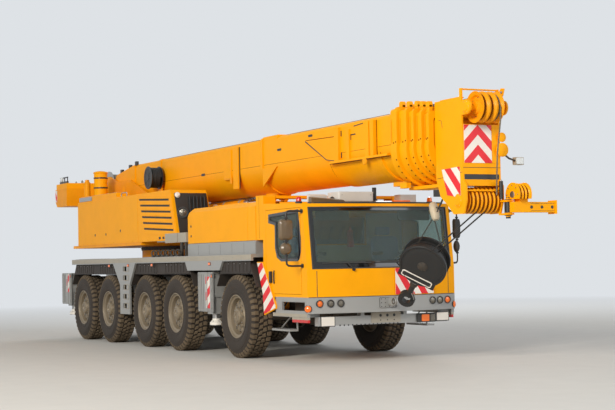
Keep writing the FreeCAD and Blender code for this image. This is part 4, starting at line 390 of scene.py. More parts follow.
class Shape:
    """A piece under construction: points, faces and the finish of each face."""

    def __init__(self, name: str, finish: Finish) -> None:
        """Start an empty piece whose first faces take a finish."""
        self.name = name
        self.points: list[Vector] = []
        self.faces: list[tuple[int, ...]] = []
        self.marks: list[int] = []
        self.finishes: list[Finish] = [finish]
        self.mark = 0

    def use(self, finish: Finish) -> "Shape":
        """Give the faces that follow another finish."""
        if finish not in self.finishes:
            self.finishes.append(finish)
        self.mark = self.finishes.index(finish)
        return self

    def add(self, points: Iterable[Point], faces: Iterable[Sequence[int]]) -> None:
        """Add points and faces that count them from 0."""
        start = len(self.points)
        self.points += [Vector(p) for p in points]
        for face in faces:
            self.faces.append(tuple(start + n for n in face))
            self.marks.append(self.mark)

    def loft(self, rings: Sequence[Sequence[Point]], capped: bool = True, closed: bool = False) -> None:
        """Join rings of equally many points.

        Args:
            rings: The rings in order.
            capped: Whether the first and last ring are filled.
            closed: Whether the last ring joins the first.
        """
        count, faces = len(rings[0]), []
        steps = len(rings) if closed else len(rings) - 1
        for n in range(steps):
            a, b = n * count, ((n + 1) % len(rings)) * count
            faces += [(a + k, a + (k + 1) % count, b + (k + 1) % count, b + k) for k in range(count)]
        if capped and not closed:
            faces += [tuple(reversed(range(count))), tuple(range((len(rings) - 1) * count, len(rings) * count))]
        self.add([p for ring in rings for p in ring], faces)

    def box(self, x: Sequence[float], y: Sequence[float], z: Sequence[float]) -> None:
        """Box between two limits on each axis."""
        self.loft([[(x[0], y[0], h), (x[1], y[0], h), (x[1], y[1], h), (x[0], y[1], h)] for h in z])

    def boxes(self, sizes: Iterable[Sequence[Sequence[float]]]) -> None:
        """Several boxes, each three pairs of limits."""
        for x, y, z in sizes:
            self.box(x, y, z)

    def plate(self, plane: Plane, outline: Outline, low: float, high: float) -> None:
        """An outline in a plane, pulled out from low to high."""
        self.loft([[plane.at(p, depth) for p in outline] for depth in (low, high)])

    def slab(self, outline: Outline, y: Sequence[float]) -> None:
        """An outline of (x, z) points pulled along Y."""
        self.loft([[(px, depth, pz) for px, pz in outline] for depth in y])

    def rod(self, start: Point, end: Point, radius: float, sides: int = 20, far: Optional[float] = None) -> None:
        """Round bar or cone between two points."""
        a, b = Vector(start), Vector(end)
        u, v = across(b - a)
        self.loft([ring_points(a, u, v, radius, sides),
                   ring_points(b, u, v, radius if far is None else far, sides)])

    def turned(self, centre: Point, axis: Point, profile: Outline, sides: int = 32, closed: bool = False) -> None:
        """A profile of (along, radius) pairs turned about an axis through a centre.

        Args:
            centre: A point on the axis.
            axis: The axis' direction.
            profile: Pairs of distance along the axis and radius.
            sides: How many sides the round gets.
            closed: Whether the profile's end joins its start.
        """
        c, along = Vector(centre), Vector(axis).normalized()
        u, v = across(along)
        rings = [ring_points(c + along * a, u, v, max(r, 1e-4), sides) for a, r in profile]
        self.loft(rings, capped=not closed, closed=closed)

    def tube(self, path: Sequence[Point], radius: float, sides: int = 10) -> None:
        """Round tube along a path of points, turned smoothly from one to the next."""
        points = [Vector(p) for p in path]
        heading = (points[1] - points[0]).normalized()
        u, v = across(heading)
        rings = []
        for n, point in enumerate(points):
            ahead = points[min(n + 1, len(points) - 1)] - points[max(n - 1, 0)]
            turn = heading.rotation_difference(ahead.normalized())
            u, v, heading = turn @ u, turn @ v, ahead.normalized()
            rings.append(ring_points(point, u, v, radius, sides))
        self.loft(rings)

    def hoop(self, centre: Point, axis: Point, radius: float, thick: float, sides: int = 32, turn: float = 360.0,
             start: float = 0.0) -> None:
        """Round bar bent into a ring or a part of one."""
        u, v = across(Vector(axis))
        steps = max(3, int(sides * turn / 360.0))
        angles = [math.radians(start + turn * n / steps) for n in range(steps + 1)]
        self.tube([Vector(centre) + (u * math.cos(t) + v * math.sin(t)) * radius for t in angles], thick, 8)

    def bolts(self, places: Iterable[Point], axis: Point, radius: float = 0.014, height: float = 0.012) -> None:
        """Six-sided bolt heads at places on a surface."""
        out = Vector(axis).normalized() * height
        for place in places:
            self.rod(Vector(place) - out * 0.3, Vector(place) + out, radius, 6)

    def mirror(self) -> "Shape":
        """Add the same forms on the other side of the vehicle."""
        start, count = len(self.points), len(self.faces)
        self.points += [Vector((p.x, -p.y, p.z)) for p in self.points]
        self.faces += [tuple(start + n for n in reversed(face)) for face in self.faces[:count]]
        self.marks += self.marks[:count]
        return self

    def move(self, matrix: Matrix, start: int = 0) -> None:
        """Move the points added since start by a matrix."""
        for n in range(start, len(self.points)):
            self.points[n] = matrix @ self.points[n]

    def made(self, bevel: float = 0.0, sharp: float = 32.0, slot: Optional[str] = None) -> bpy.types.Object:
        """Make the object, not yet on any body.

        Args:
            bevel: Width of the rounded edges.
            sharp: Edges that turn more than this angle stay sharp.
            slot: Not used.
        Returns:
            The object.
        """
        mesh = bpy.data.meshes.new(self.name)
        shift = Vector((AXLE_1_X, 0, 0))
        mesh.from_pydata([tuple(p + shift) for p in self.points], [], self.faces)
        for finish in self.finishes:
            mesh.materials.append(finish.material())
        mesh.polygons.foreach_set("material_index", self.marks)
        form = bmesh.new()
        form.from_mesh(mesh)
        bmesh.ops.recalc_face_normals(form, faces=form.faces)
        form.to_mesh(mesh)
        form.free()
        mesh.shade_smooth()
        mesh.set_sharp_from_angle(angle=math.radians(sharp))
        made = bpy.data.objects.new(self.name, mesh)
        bpy.context.scene.collection.objects.link(made)
        if bevel:
            rounded = made.modifiers.new("rounded", "BEVEL")
            rounded.width, rounded.segments, rounded.limit_method = bevel, 2, "ANGLE"
            rounded.angle_limit, rounded.harden_normals = math.radians(sharp), True
        return made

    def piece(self, body: str, bevel: float = 0.0, sharp: float = 32.0, slot: Optional[str] = None) -> bpy.types.Object:
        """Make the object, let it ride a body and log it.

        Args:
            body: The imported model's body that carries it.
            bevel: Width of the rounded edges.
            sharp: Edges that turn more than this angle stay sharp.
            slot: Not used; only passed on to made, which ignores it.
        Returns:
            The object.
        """
        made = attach(self.made(bevel, sharp, slot), body)
        LOG.info("%s rides %s, %d faces", self.name, body, len(self.faces))
        return made


def dress(nodes: dict[str, bpy.types.Object], finishes: dict[str, Finish]) -> None:
    """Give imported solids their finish.

    Args:
        nodes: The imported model's objects by name.
        finishes: A finish for each node that shows.
    """
    for name, finish in finishes.items():
        node = nodes[name]
        node.data.materials.clear()
        node.data.materials.append(finish.material())
        LOG.info("%s is finished in %s", name, finish.name)


# Studio

def seen_rays(tree: bpy.types.NodeTree, path: bpy.types.Node) -> bpy.types.NodeSocket:
    """One for rays from the camera, off glossy surfaces or through glass, and zero for the others."""
    value = path.outputs["Is Camera Ray"]
    for name in ("Is Glossy Ray", "Is Transmission Ray"):
        either = tree.nodes.new("ShaderNodeMath")
        either.operation = "MAXIMUM"
        tree.links.new(value, either.inputs[0])
        tree.links.new(path.outputs[name], either.inputs[1])
        value = either.outputs[0]
    return value


@dataclass
class Studio:
    """Floor, lights and the camera that stands where the photograph was taken from."""

    camera_at: tuple[float, float, float] = (24.719, -11.459, 1.596)
    yaw: float = 152.941
    pitch: float = 2.296
    roll: float = -1.119
    focal: float = 83.92
    floor_half: float = 160.0
    floor_colour: tuple[int, int, int] = (214, 211, 205)
    sky_colour: tuple[int, int, int] = (222, 226, 230)
    fade: tuple[float, float] = (11.0, 34.0)

    def camera(self) -> None:
        """Place the camera by its heading, pitch and roll."""
        yaw, pitch, roll = (math.radians(v) for v in (self.yaw, self.pitch, self.roll))
        ahead = Vector((math.cos(yaw) * math.cos(pitch), math.sin(yaw) * math.cos(pitch), math.sin(pitch)))
        right = Vector((math.sin(yaw), -math.cos(yaw), 0))
        up = right.cross(ahead)
        x = right * math.cos(roll) + up * math.sin(roll)
        y = up * math.cos(roll) - right * math.sin(roll)
        data = bpy.data.cameras.new("photo_camera")
        data.sensor_fit, data.sensor_width, data.lens = "HORIZONTAL", 36.0, self.focal
        data.clip_start, data.clip_end = 0.1, 600.0
        made = bpy.data.objects.new("photo_camera", data)
        bpy.context.scene.collection.objects.link(made)
        made.matrix_world = Matrix.Translation(self.camera_at) @ Matrix((x, y, -ahead)).transposed().to_4x4()
        bpy.context.scene.camera = made

    def floor_finish(self) -> bpy.types.Material:
        """Floor paint that fades into the background's own tone away from the vehicle, for all but diffuse rays."""
        maker = MaterialMaker(Finish("floor_paint", self.floor_colour, 0.85, "chassis_grey", grain=3.0, bump=0.02,
                                     mottle=0.02, specular=0.1))
        made, tree = maker.make(), maker.tree
        place, path = tree.nodes.new("ShaderNodeTexCoord"), tree.nodes.new("ShaderNodeLightPath")
        reach = maker.node("ShaderNodeVectorMath", operation="LENGTH")
        far = tree.nodes.new("ShaderNodeMapRange")
        far.inputs["From Min"].default_value, far.inputs["From Max"].default_value = self.fade
        maker.link(place.outputs["Object"], reach.inputs[0])
        maker.link(reach.outputs["Value"], far.inputs["Value"])
        share = maker.node("ShaderNodeMath", operation="MULTIPLY")
        maker.link(far.outputs["Result"], share.inputs[0])
        maker.link(seen_rays(tree, path), share.inputs[1])
        glow = tree.nodes.new("ShaderNodeEmission")
        glow.inputs["Color"].default_value = self.sky()
        mix = tree.nodes.new("ShaderNodeMixShader")
        out = next(n for n in tree.nodes if n.type == "OUTPUT_MATERIAL")
        maker.link(share.outputs[0], mix.inputs["Fac"])
        maker.link(maker.shader.outputs[0], mix.inputs[1])
        maker.link(glow.outputs[0], mix.inputs[2])
        maker.link(mix.outputs[0], out.inputs["Surface"])
        return made

    def sky(self) -> tuple[float, ...]:
        """The background's colour as linear values."""
        return tuple(linear(c) for c in self.sky_colour) + (1.0,)

    def floor(self) -> None:
        """Plain pale floor with fine grit in its roughness."""
        mesh = bpy.data.meshes.new("floor")
        h = self.floor_half
        mesh.from_pydata([(-h, -h, 0), (h, -h, 0), (h, h, 0), (-h, h, 0)], [], [(0, 1, 2, 3)])
        mesh.materials.append(self.floor_finish())
        made = bpy.data.objects.new("floor", mesh)
        bpy.context.scene.collection.objects.link(made)

    def lamp(self, name: str, place: Point, aim: Point, size: float, power: float,
             colour: tuple[float, float, float]) -> None:
        """One square soft light aimed at a point."""
        data = bpy.data.lights.new(name, "AREA")
        data.shape, data.size, data.energy, data.color = "SQUARE", size, power, colour
        made = bpy.data.objects.new(name, data)
        bpy.context.scene.collection.objects.link(made)
        made.location = place
        made.rotation_mode = "QUATERNION"
        made.rotation_quaternion = (Vector(aim) - Vector(place)).to_track_quat("-Z", "Y")

    def lights(self) -> None:
        """A warm key light from the vehicle's right, a fill from ahead and a soft sky."""
        self.lamp("key", (22.0, -27.0, 14.0), (-1, 0, 2), 9.0, 9700.0, (1.0, 0.95, 0.86))
        self.lamp("fill", (26.0, 12.0, 12.0), (2, 0, 1.5), 14.0, 1500.0, (0.94, 0.96, 1.0))
        self.lamp("back", (-20.0, 16.0, 14.0), (-2, 0, 2), 12.0, 1800.0, (0.94, 0.97, 1.0))
        world = bpy.data.worlds.new("studio_sky")
        bpy.context.scene.world = world
        world.use_nodes = True
        tree = world.node_tree
        plain = next(n for n in tree.nodes if n.type == "BACKGROUND")
        sky = self.sky()
        plain.inputs["Color"].default_value, plain.inputs["Strength"].default_value = sky, 0.5
        seen = tree.nodes.new("ShaderNodeBackground")
        seen.inputs["Color"].default_value, seen.inputs["Strength"].default_value = sky, 1.0
        path, mix = tree.nodes.new("ShaderNodeLightPath"), tree.nodes.new("ShaderNodeMixShader")
        out = next(n for n in tree.nodes if n.type == "OUTPUT_WORLD")
        tree.links.new(seen_rays(tree, path), mix.inputs["Fac"])
        tree.links.new(plain.outputs[0], mix.inputs[1])
        tree.links.new(seen.outputs[0], mix.inputs[2])
        tree.links.new(mix.outputs[0], out.inputs["Surface"])

    def build(self) -> None:
        """Set the view, the floor and the lights."""
        scene = bpy.context.scene
        scene.view_settings.view_transform = "Standard"
        self.camera()
        self.floor()
        self.lights()


# Wheels and running gear

AXLES = (0.0, -2.75, -4.4, -6.55, -8.2)


@dataclass
class Wheel:
    """Tyre with a four-row block tread on a dished steel rim."""

    number: int
    side: Side
    radius: float = 0.705
    outer_y: float = 1.5
    width: float = 0.42
    bead: float = 0.362
    tread_depth: float = 0.022
    pitches: int = 42
    sides: int = 84
    disc_in: float = 0.096
    hub: float = 0.128
    studs: int = 10

    @property
    def name(self) -> str:
        """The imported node's name."""
        return "wheel_%d_%s" % (self.number, self.side.word)

    def place(self) -> Matrix:
        """Turns a form drawn round the Y axis, outer face at +Y 0, into this wheel's place."""
        flip = Matrix.Diagonal((1, self.side.value, 1, 1))
        return Matrix.Translation((AXLES[self.number - 1], 0, self.radius)) @ flip @ Matrix.Translation(
            (0, self.outer_y, 0))

    def carcass(self, shape: Shape) -> None:
        """Sidewalls with ribs and the tread's base."""
        w, r = self.width, self.radius - self.tread_depth
        wall_side = [(-0.034, self.bead + 0.002), (-0.024, self.bead + 0.016), (-0.010, self.bead + 0.052),
                     (-0.014, self.bead + 0.062), (-0.003, self.bead + 0.11), (0.0, self.bead + 0.16),
                     (-0.003, self.bead + 0.2), (-0.008, self.bead + 0.204), (-0.012, self.bead + 0.232),
                     (-0.022, self.bead + 0.262), (-0.05, r)]
        profile = wall_side + [(-w - a, b) for a, b in reversed(wall_side)]
        shape.use(RUBBER).turned((0, 0, 0), (0, 1, 0), profile, self.sides, closed=True)

    def block(self, shape: Shape, turn: float, corners: Sequence[tuple[float, float]], low: float) -> None:
        """One tread block between corners of (angle share, y), rising from low to the tyre's radius."""
        rings = []
        step = 2 * math.pi / self.pitches
        middle = (sum(c[0] for c in corners) / len(corners), sum(c[1] for c in corners) / len(corners))
        for radius, shrink in ((low, 1.0), (self.radius - 0.004, 0.95), (self.radius, 0.84)):
            ring = []
            for share, y in corners:
                share, y = middle[0] + (share - middle[0]) * shrink, middle[1] + (y - middle[1]) * shrink
                t = turn + step * share
                ring.append((radius * math.cos(t), y, radius * math.sin(t)))
            rings.append(ring)
        shape.loft(rings)

    def tread(self, shape: Shape) -> None:
        """Two staggered rows of centre blocks and two rows of shoulder blocks."""
        w, low = self.width, self.radius - self.tread_depth - 0.004
        shape.use(TREAD)
        for n in range(self.pitches):
            turn = 2 * math.pi * n / self.pitches
            self.block(shape, turn, [(0.05, -0.135), (0.62, -0.150), (0.80, -0.208), (0.20, -0.200)], low)
            self.block(shape, turn, [(0.55, -0.220), (1.15, -0.212), (1.32, -0.270), (0.72, -0.285)], low)
            for y0, y1, y2, lead in ((-0.122, -0.05, -0.018, 0.35), (-w + 0.122, -w + 0.05, -w + 0.018, 0.85)):
                self.block(shape, turn, [(lead, y0), (lead + 0.66, y0), (lead + 0.66, y1), (lead, y1)], low)
                step = 2 * math.pi / self.pitches
                lug = []
                for radius, y in ((self.radius - 0.006, y1), (self.radius - 0.052, y2), (self.radius - 0.075, y2)):
                    angles = (turn + step * (lead + 0.06), turn + step * (lead + 0.60))
                    lug.append([(radius * math.cos(t), y, radius * math.sin(t)) for t in angles])
                inner = [[(p[0] * 0.965, p[1] * 0.9 - 0.1 * w / 2, p[2] * 0.965) for p in pair] for pair in lug]
                shape.loft([lug[k] + list(reversed(inner[k])) for k in range(3)])

    def rim(self, shape: Shape) -> None:
        """Flanges, well, pierced dish, hub cap and wheel nuts."""
        disc, cap, b = -self.disc_in, -self.disc_in + 0.074, self.bead
        shape.use(RIM_GREY).turned((0, 0, 0), (0, 1, 0), [
            (-0.034, b), (-0.022, b + 0.010), (-0.018, b + 0.004), (-0.020, b - 0.010), (-0.046, b - 0.020),
            (-0.060, b - 0.050), (-0.125, b - 0.062), (-0.150, b - 0.066), (-0.386, b - 0.016), (-0.386, b)],
            64, closed=True)
        shape.turned((0, 0, 0), (0, 1, 0), [
            (-0.135, b - 0.064), (disc - 0.018, b - 0.088), (disc, b - 0.112), (disc, 0.205), (disc + 0.014, 0.196),
            (disc + 0.016, self.hub + 0.012), (cap - 0.016, self.hub), (cap - 0.004, self.hub - 0.014),
            (cap, self.hub - 0.030), (cap, 0.056), (cap - 0.012, 0.050), (cap - 0.012, 0.0)], 64)
        shape.turned((0, 0, 0), (0, 1, 0), [(-0.30, b - 0.03), (disc - 0.03, b - 0.07), (disc - 0.034, 0.0)], 32)
        for n in range(self.studs):
            t = 2 * math.pi * n / self.studs
            x, z = 0.165 * math.cos(t), 0.165 * math.sin(t)
            shape.use(RIM_GREY).rod((x, disc, z), (x, disc + 0.026, z), 0.021, 6)
            shape.use(STEEL).rod((x, disc + 0.02, z), (x, disc + 0.04, z), 0.011, 8)
            t += math.pi / self.studs
            x, z = 0.238 * math.cos(t), 0.238 * math.sin(t)
            shape.use(BLACK_PAINT).turned((x, 0, z), (0, 1, 0), [(disc - 0.004, 0.0), (disc + 0.0015, 0.021),
                                                                 (disc + 0.003, 0.026), (disc - 0.004, 0.028)], 14)
        for n in range(6):
            t = 2 * math.pi * n / 6
            shape.use(RIM_GREY).bolts([(0.09 * math.cos(t), cap, 0.09 * math.sin(t))], (0, 1, 0), 0.011, 0.01)
        shape.use(STEEL).tube([(0.30, disc - 0.01, 0.02), (0.31, disc + 0.03, 0.02), (0.318, disc + 0.052, 0.02)],
                              0.006, 6)

    def build(self) -> None:
        """Make the wheel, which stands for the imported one."""
        tyre, rim = Shape("tyre_%d_%s" % (self.number, self.side.word), RUBBER), Shape(
            "rim_%d_%s" % (self.number, self.side.word), RIM_GREY)
        self.carcass(tyre)
        self.tread(tyre)
        self.rim(rim)
        for shape in (tyre, rim):
            shape.move(self.place())
        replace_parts(tyre.piece(self.name, slot="tyre"), self.name)
        rim.piece(self.name, slot="chassis_grey")


# Shared forms

def on_front(y: float, z: float, out: float = 0.0) -> Vector:
    """A point of the driver's cab's front, which is bowed and leans back above the belt line."""
    bow, lean = 4.4443, 0.14 * max(0.0, z - 1.5) / 1.08
    return Vector((2.64 - bow + math.sqrt(bow * bow - y * y) - lean + out, y, z))


def front_plane(y: float) -> Plane:
    """Drawing plane of (y, z) points that touches the upright part of the cab's front at y."""
    turn = Matrix.Rotation(math.asin(y / 4.4443), 4, "Z")
    touch = on_front(y, 1.2)
    u = turn @ Vector((0, 1, 0))
    return Plane(Vector((touch.x, touch.y, 0)) - u * y, u, Vector((0, 0, 1)))


def front_band(shape: Shape, y: Sequence[float], z: Sequence[float], low: float, high: float, steps: int = 24) -> None:
    """A strip that follows the cab's front from one height to another."""
    rings = []
    for n in range(steps + 1):
        here = y[0] + (y[1] - y[0]) * n / steps
        rings.append([on_front(here, z[0], low), on_front(here, z[0], high), on_front(here, z[1], high),
                      on_front(here, z[1], low)])
    shape.loft(rings)


def grown(outline: Outline, width: float) -> list[tuple[float, float]]:
    """An outline with its edges moved outwards by width."""
    area = sum(a[0] * b[1] - b[0] * a[1] for a, b in zip(outline, list(outline[1:]) + [outline[0]]))
    sign, found = (1.0 if area > 0 else -1.0), []
    for n, here in enumerate(outline):
        before, after = Vector(outline[n - 1]), Vector(outline[(n + 1) % len(outline)])
        a, b = (Vector(here) - before).normalized(), (after - Vector(here)).normalized()
        na, nb = Vector((a.y, -a.x)) * sign, Vector((b.y, -b.x)) * sign
        middle = (na + nb) / max(0.35, 1.0 + na.dot(nb))
        found.append((here[0] + middle.x * width, here[1] + middle.y * width))
    return found


def border(shape: Shape, plane: Plane, outline: Outline, width: float, low: float, high: float) -> None:
    """A raised frame outside an outline."""
    outer = grown(outline, width)
    shape.loft([[plane.at(a, low), plane.at(a, high), plane.at(b, high), plane.at(b, low)]
                for a, b in zip(outline, outer)], capped=False, closed=True)


def rounded(x: Sequence[float], y: Sequence[float], radius: float, steps: int = 5) -> list[tuple[float, float]]:
    """A rectangle's outline with round corners, counter-clockwise."""
    found = []
    for cx, cy, start in ((x[1] - radius, y[0] + radius, -90), (x[1] - radius, y[1] - radius, 0),
                          (x[0] + radius, y[1] - radius, 90), (x[0] + radius, y[0] + radius, 180)):
        for n in range(steps + 1):
            t = math.radians(start + 90 * n / steps)
            found.append((cx + radius * math.cos(t), cy + radius * math.sin(t)))
    return found


def bar(x: Sequence[float], z: Sequence[float]) -> list[tuple[float, float]]:
    """A rectangle's outline."""
    return [(x[0], z[0]), (x[1], z[0]), (x[1], z[1]), (x[0], z[1])]


FRONT = (Vector((0, 1, 0)), Vector((0, 0, 1)))
REAR = (Vector((0, -1, 0)), Vector((0, 0, 1)))
TOP = (Vector((1, 0, 0)), Vector((0, 1, 0)))


def facing(origin: Point, way: tuple[Vector, Vector]) -> Plane:
    """Drawing plane through a point, facing forwards, backwards or up."""
    return Plane(Vector(origin), *way)


@dataclass
class Sign:
    """A white plate with red bands on one or more faces that share a body."""

    name: str
    body: str
    plane: Plane
    outlines: Sequence[Outline]
    angle: float = 45.0
    pitch: float = 0.29
    phase: float = 0.0
    thick: float = 0.006

    def build(self) -> None:
        """Make the plate and its bands."""
        shape = Shape(self.name, WHITE)
        for outline in self.outlines:
            shape.use(WHITE).plate(self.plane, outline, 0.001, self.thick)
            shape.use(RED)
            for band in stripes(outline, self.angle, self.pitch, self.phase):
                shape.plate(self.plane, band, self.thick - 0.001, self.thick + 0.0015)
        shape.piece(self.body)


@dataclass
class WarningSigns:
    """The red and white signs on carrier, outriggers, tail and boom head; their lettering is left blank."""

    fender: Sequence[Outline] = ([(0.67, 1.605), (0.87, 1.10), (1.20, 1.10), (0.86, 1.605)],
                                 [(0.87, 1.10), (0.905, 0.765), (1.33, 0.87), (1.33, 0.905), (1.20, 1.10)])
    head_side: Outline = ((4.77, 2.895), (4.90, 2.52), (5.25, 2.47), (5.24, 2.91))
    chevron_half: float = 0.232
    chevron_z: tuple[float, float] = (2.96, 3.50)
    chevron_y: float = -0.06

    def chevrons(self) -> None:
        """Two upward arrows on the boom head's front plate."""
        plane = facing((5.311, self.chevron_y, 0), FRONT)
        h = self.chevron_half
        for word, y, angle in (("left", (0.0, h), 45.0), ("right", (-h, 0.0), 135.0)):
            Sign("chevron_" + word, "boom_section_5", plane, [bar(y, self.chevron_z)], angle, 0.2, 0.884).build()

    def build(self) -> None:
        """Make every sign."""
        for side in Side:
            word, turn, rise = side.word, 45.0 * -side.value, 126.0 * -side.value
            points = [wall_points(side, part) for part in self.fender]
            Sign("fender_sign_" + word, "carrier", wall(side, 1.376), points, rise, 0.235).build()
            Sign("head_sign_" + word, "boom_section_5", wall(side, 0.323), [wall_points(side, self.head_side)],
                 turn, 0.24, 0.8).build()
            tail = [wall_points(side, bar((-10.58, -10.46), (3.13, 3.40)))]
            Sign("tail_sign_" + word, "superstructure", wall(side, 1.351), tail, turn, 0.2).build()
            for end, x, z in (("front", (-1.27, -1.06), (0.82, 1.38)), ("rear", (-9.37, -9.19), (1.03, 1.45))):
                Sign("beam_sign_%s_%s" % (end, word), "outrigger_beam_%s_%s" % (end, word), wall(side, 1.4865),
                     [wall_points(side, bar(x, z))], rise, 0.235, 0.45).build()
            y = (0.82, 1.28) if side is Side.LEFT else (-1.28, -0.82)
            Sign("tail_rear_sign_" + word, "superstructure", facing((-10.601, 0, 0), REAR),
                 [bar((-y[1], -y[0]), (3.15, 3.39))], turn, 0.24).build()
        Sign("front_sign", "carrier", front_plane(0.48), [bar((0.10, 0.86), (1.065, 1.48))], 34.0, 0.217, 0.1).build()
        self.chevrons()


# Carrier

@dataclass
class RunningGear:
    """Suspension rams, brake chambers, tanks, pipes and rear details of the chassis."""

    rail_y: float = 0.455
    tank_z: float = 0.98
    tank_r: float = 0.15
    hose_r: float = 0.012

    def corner(self, shape: Shape, x: float) -> None:
        """Suspension ram, brake chamber and hoses of the left wheel of one axle."""
        shape.use(SILL_YELLOW).turned((x - 0.15, 0.46, 0.0), (0, 0, 1), [
            (0.70, 0.0), (0.70, 0.052), (0.74, 0.06), (0.99, 0.06), (1.0, 0.074), (1.4, 0.074), (1.42, 0.05),
            (1.42, 0.0)], 20)
        shape.use(CHROME).rod((x - 0.15, 0.46, 0.62), (x - 0.15, 0.46, 0.72), 0.04, 18)
        shape.use(BLACK_PAINT).turned((x + 0.17, 0.79, 0.80), (1, 0, 0), [
            (0.0, 0.0), (0.0, 0.07), (0.03, 0.085), (0.08, 0.092), (0.09, 0.098), (0.10, 0.092), (0.15, 0.085),
            (0.17, 0.06), (0.17, 0.0)], 22)
        shape.use(HOSE).tube([(x + 0.1, 0.78, 0.86), (x + 0.06, 0.7, 0.98), (x - 0.02, 0.6, 1.06),
                              (x - 0.06, 0.5, 1.12), (x - 0.08, 0.44, 1.2)], self.hose_r)
        shape.tube([(x + 0.27, 0.72, 0.82), (x + 0.3, 0.64, 0.96), (x + 0.28, 0.52, 1.1), (x + 0.26, 0.44, 1.18)],
                   self.hose_r)
        shape.use(STEEL).bolts([(x + 0.05 * math.cos(t), 1.02, 0.705 + 0.05 * math.sin(t))
                                for t in (n * math.pi / 3 for n in range(6))], (0, 1, 0), 0.01)

    def tank(self, shape: Shape, x: Sequence[float], y: float) -> None:
        """Round tank with domed ends, straps and a drain."""
        r = self.tank_r
        shape.use(PALE_GREY).turned((x[0], y, self.tank_z), (1, 0, 0), [
            (0.0, 0.0), (0.0, 0.05), (0.015, 0.1), (0.05, r), (x[1] - x[0] - 0.05, r), (x[1] - x[0] - 0.015, 0.1),
            (x[1] - x[0], 0.05), (x[1] - x[0], 0.0)], 28)
        shape.use(DARK_STEEL)
        for strap in (x[0] + 0.16, x[1] - 0.16):
            shape.turned((strap, y, self.tank_z), (1, 0, 0), [(-0.02, r), (-0.02, r + 0.008), (0.02, r + 0.008),
                                                              (0.02, r)], 28, closed=True)
            shape.box((strap - 0.02, strap + 0.02), (y - 0.02, y + 0.02), (self.tank_z + r, 1.24))
        shape.use(STEEL).rod((x[0] + 0.3, y, self.tank_z - r - 0.03), (x[0] + 0.3, y, self.tank_z - r), 0.012, 8)

    def build(self) -> None:
        """Make the running gear pieces."""
        gear = Shape("suspension_and_brakes", SILL_YELLOW)
        for x in AXLES:
            self.corner(gear, x)
        gear.mirror().piece("carrier", bevel=0.002)
        tanks = Shape("air_tanks_and_lines", PALE_GREY)
        self.tank(tanks, (-1.25, -0.8), 0.72)
        self.tank(tanks, (-2.0, -1.68), 0.78)
        self.tank(tanks, (-5.9, -5.0), 0.72)
        for k in range(5):
            y = self.rail_y + 0.01 + 0.028 * k
            tanks.use(HOSE if k % 2 else STEEL).tube(
                [(-9.0, y, 1.38), (-5.5, y, 1.38 + 0.01 * k), (-2.4, y, 1.36), (-0.95, y, 1.38)], 0.009, 8)
        tanks.use(DARK_STEEL)
        for n in range(11):
            x = -8.9 + 0.78 * n
            tanks.box((x, x + 0.03), (self.rail_y - 0.02, self.rail_y + 0.15), (1.345, 1.365))
        tanks.mirror().piece("carrier", bevel=0.002)
        rear = Shape("rear_end_fittings", CHASSIS)
        plane = facing((-9.715, 0, 0), REAR)
        rear.plate(plane, rounded((-0.42, 0.42), (1.16, 1.5), 0.03), 0.0, 0.03)
        rear.use(DARK_STEEL).turned((-9.745, 0, 1.32), (-1, 0, 0), [(0.0, 0.11), (0.05, 0.11), (0.06, 0.07),
                                                                    (0.10, 0.07), (0.10, 0.0)], 24)
        rear.use(STEEL).rod((-9.83, 0, 1.14), (-9.83, 0, 1.5), 0.024, 14)
        rear.use(DARK_STEEL).bolts([plane.at((a, b), 0.03) for a in (-0.36, 0.36) for b in (1.2, 1.33, 1.46)],
                                   (-1, 0, 0), 0.018)
        for y, finish in ((0.62, RED_LENS), (0.82, AMBER), (-0.62, RED_LENS), (-0.82, AMBER)):
            rear.use(BLACK_PLASTIC).plate(plane, rounded((-y - 0.11, -y + 0.11), (1.22, 1.36), 0.02), 0.0, 0.03)
            rear.use(finish).plate(plane, rounded((-y - 0.095, -y + 0.095), (1.235, 1.345), 0.02), 0.028, 0.042)
        rear.use(WHITE).plate(plane, bar((-0.26, 0.26), (1.0, 1.11)), 0.0, 0.004)
        rear.piece("carrier", bevel=0.003)


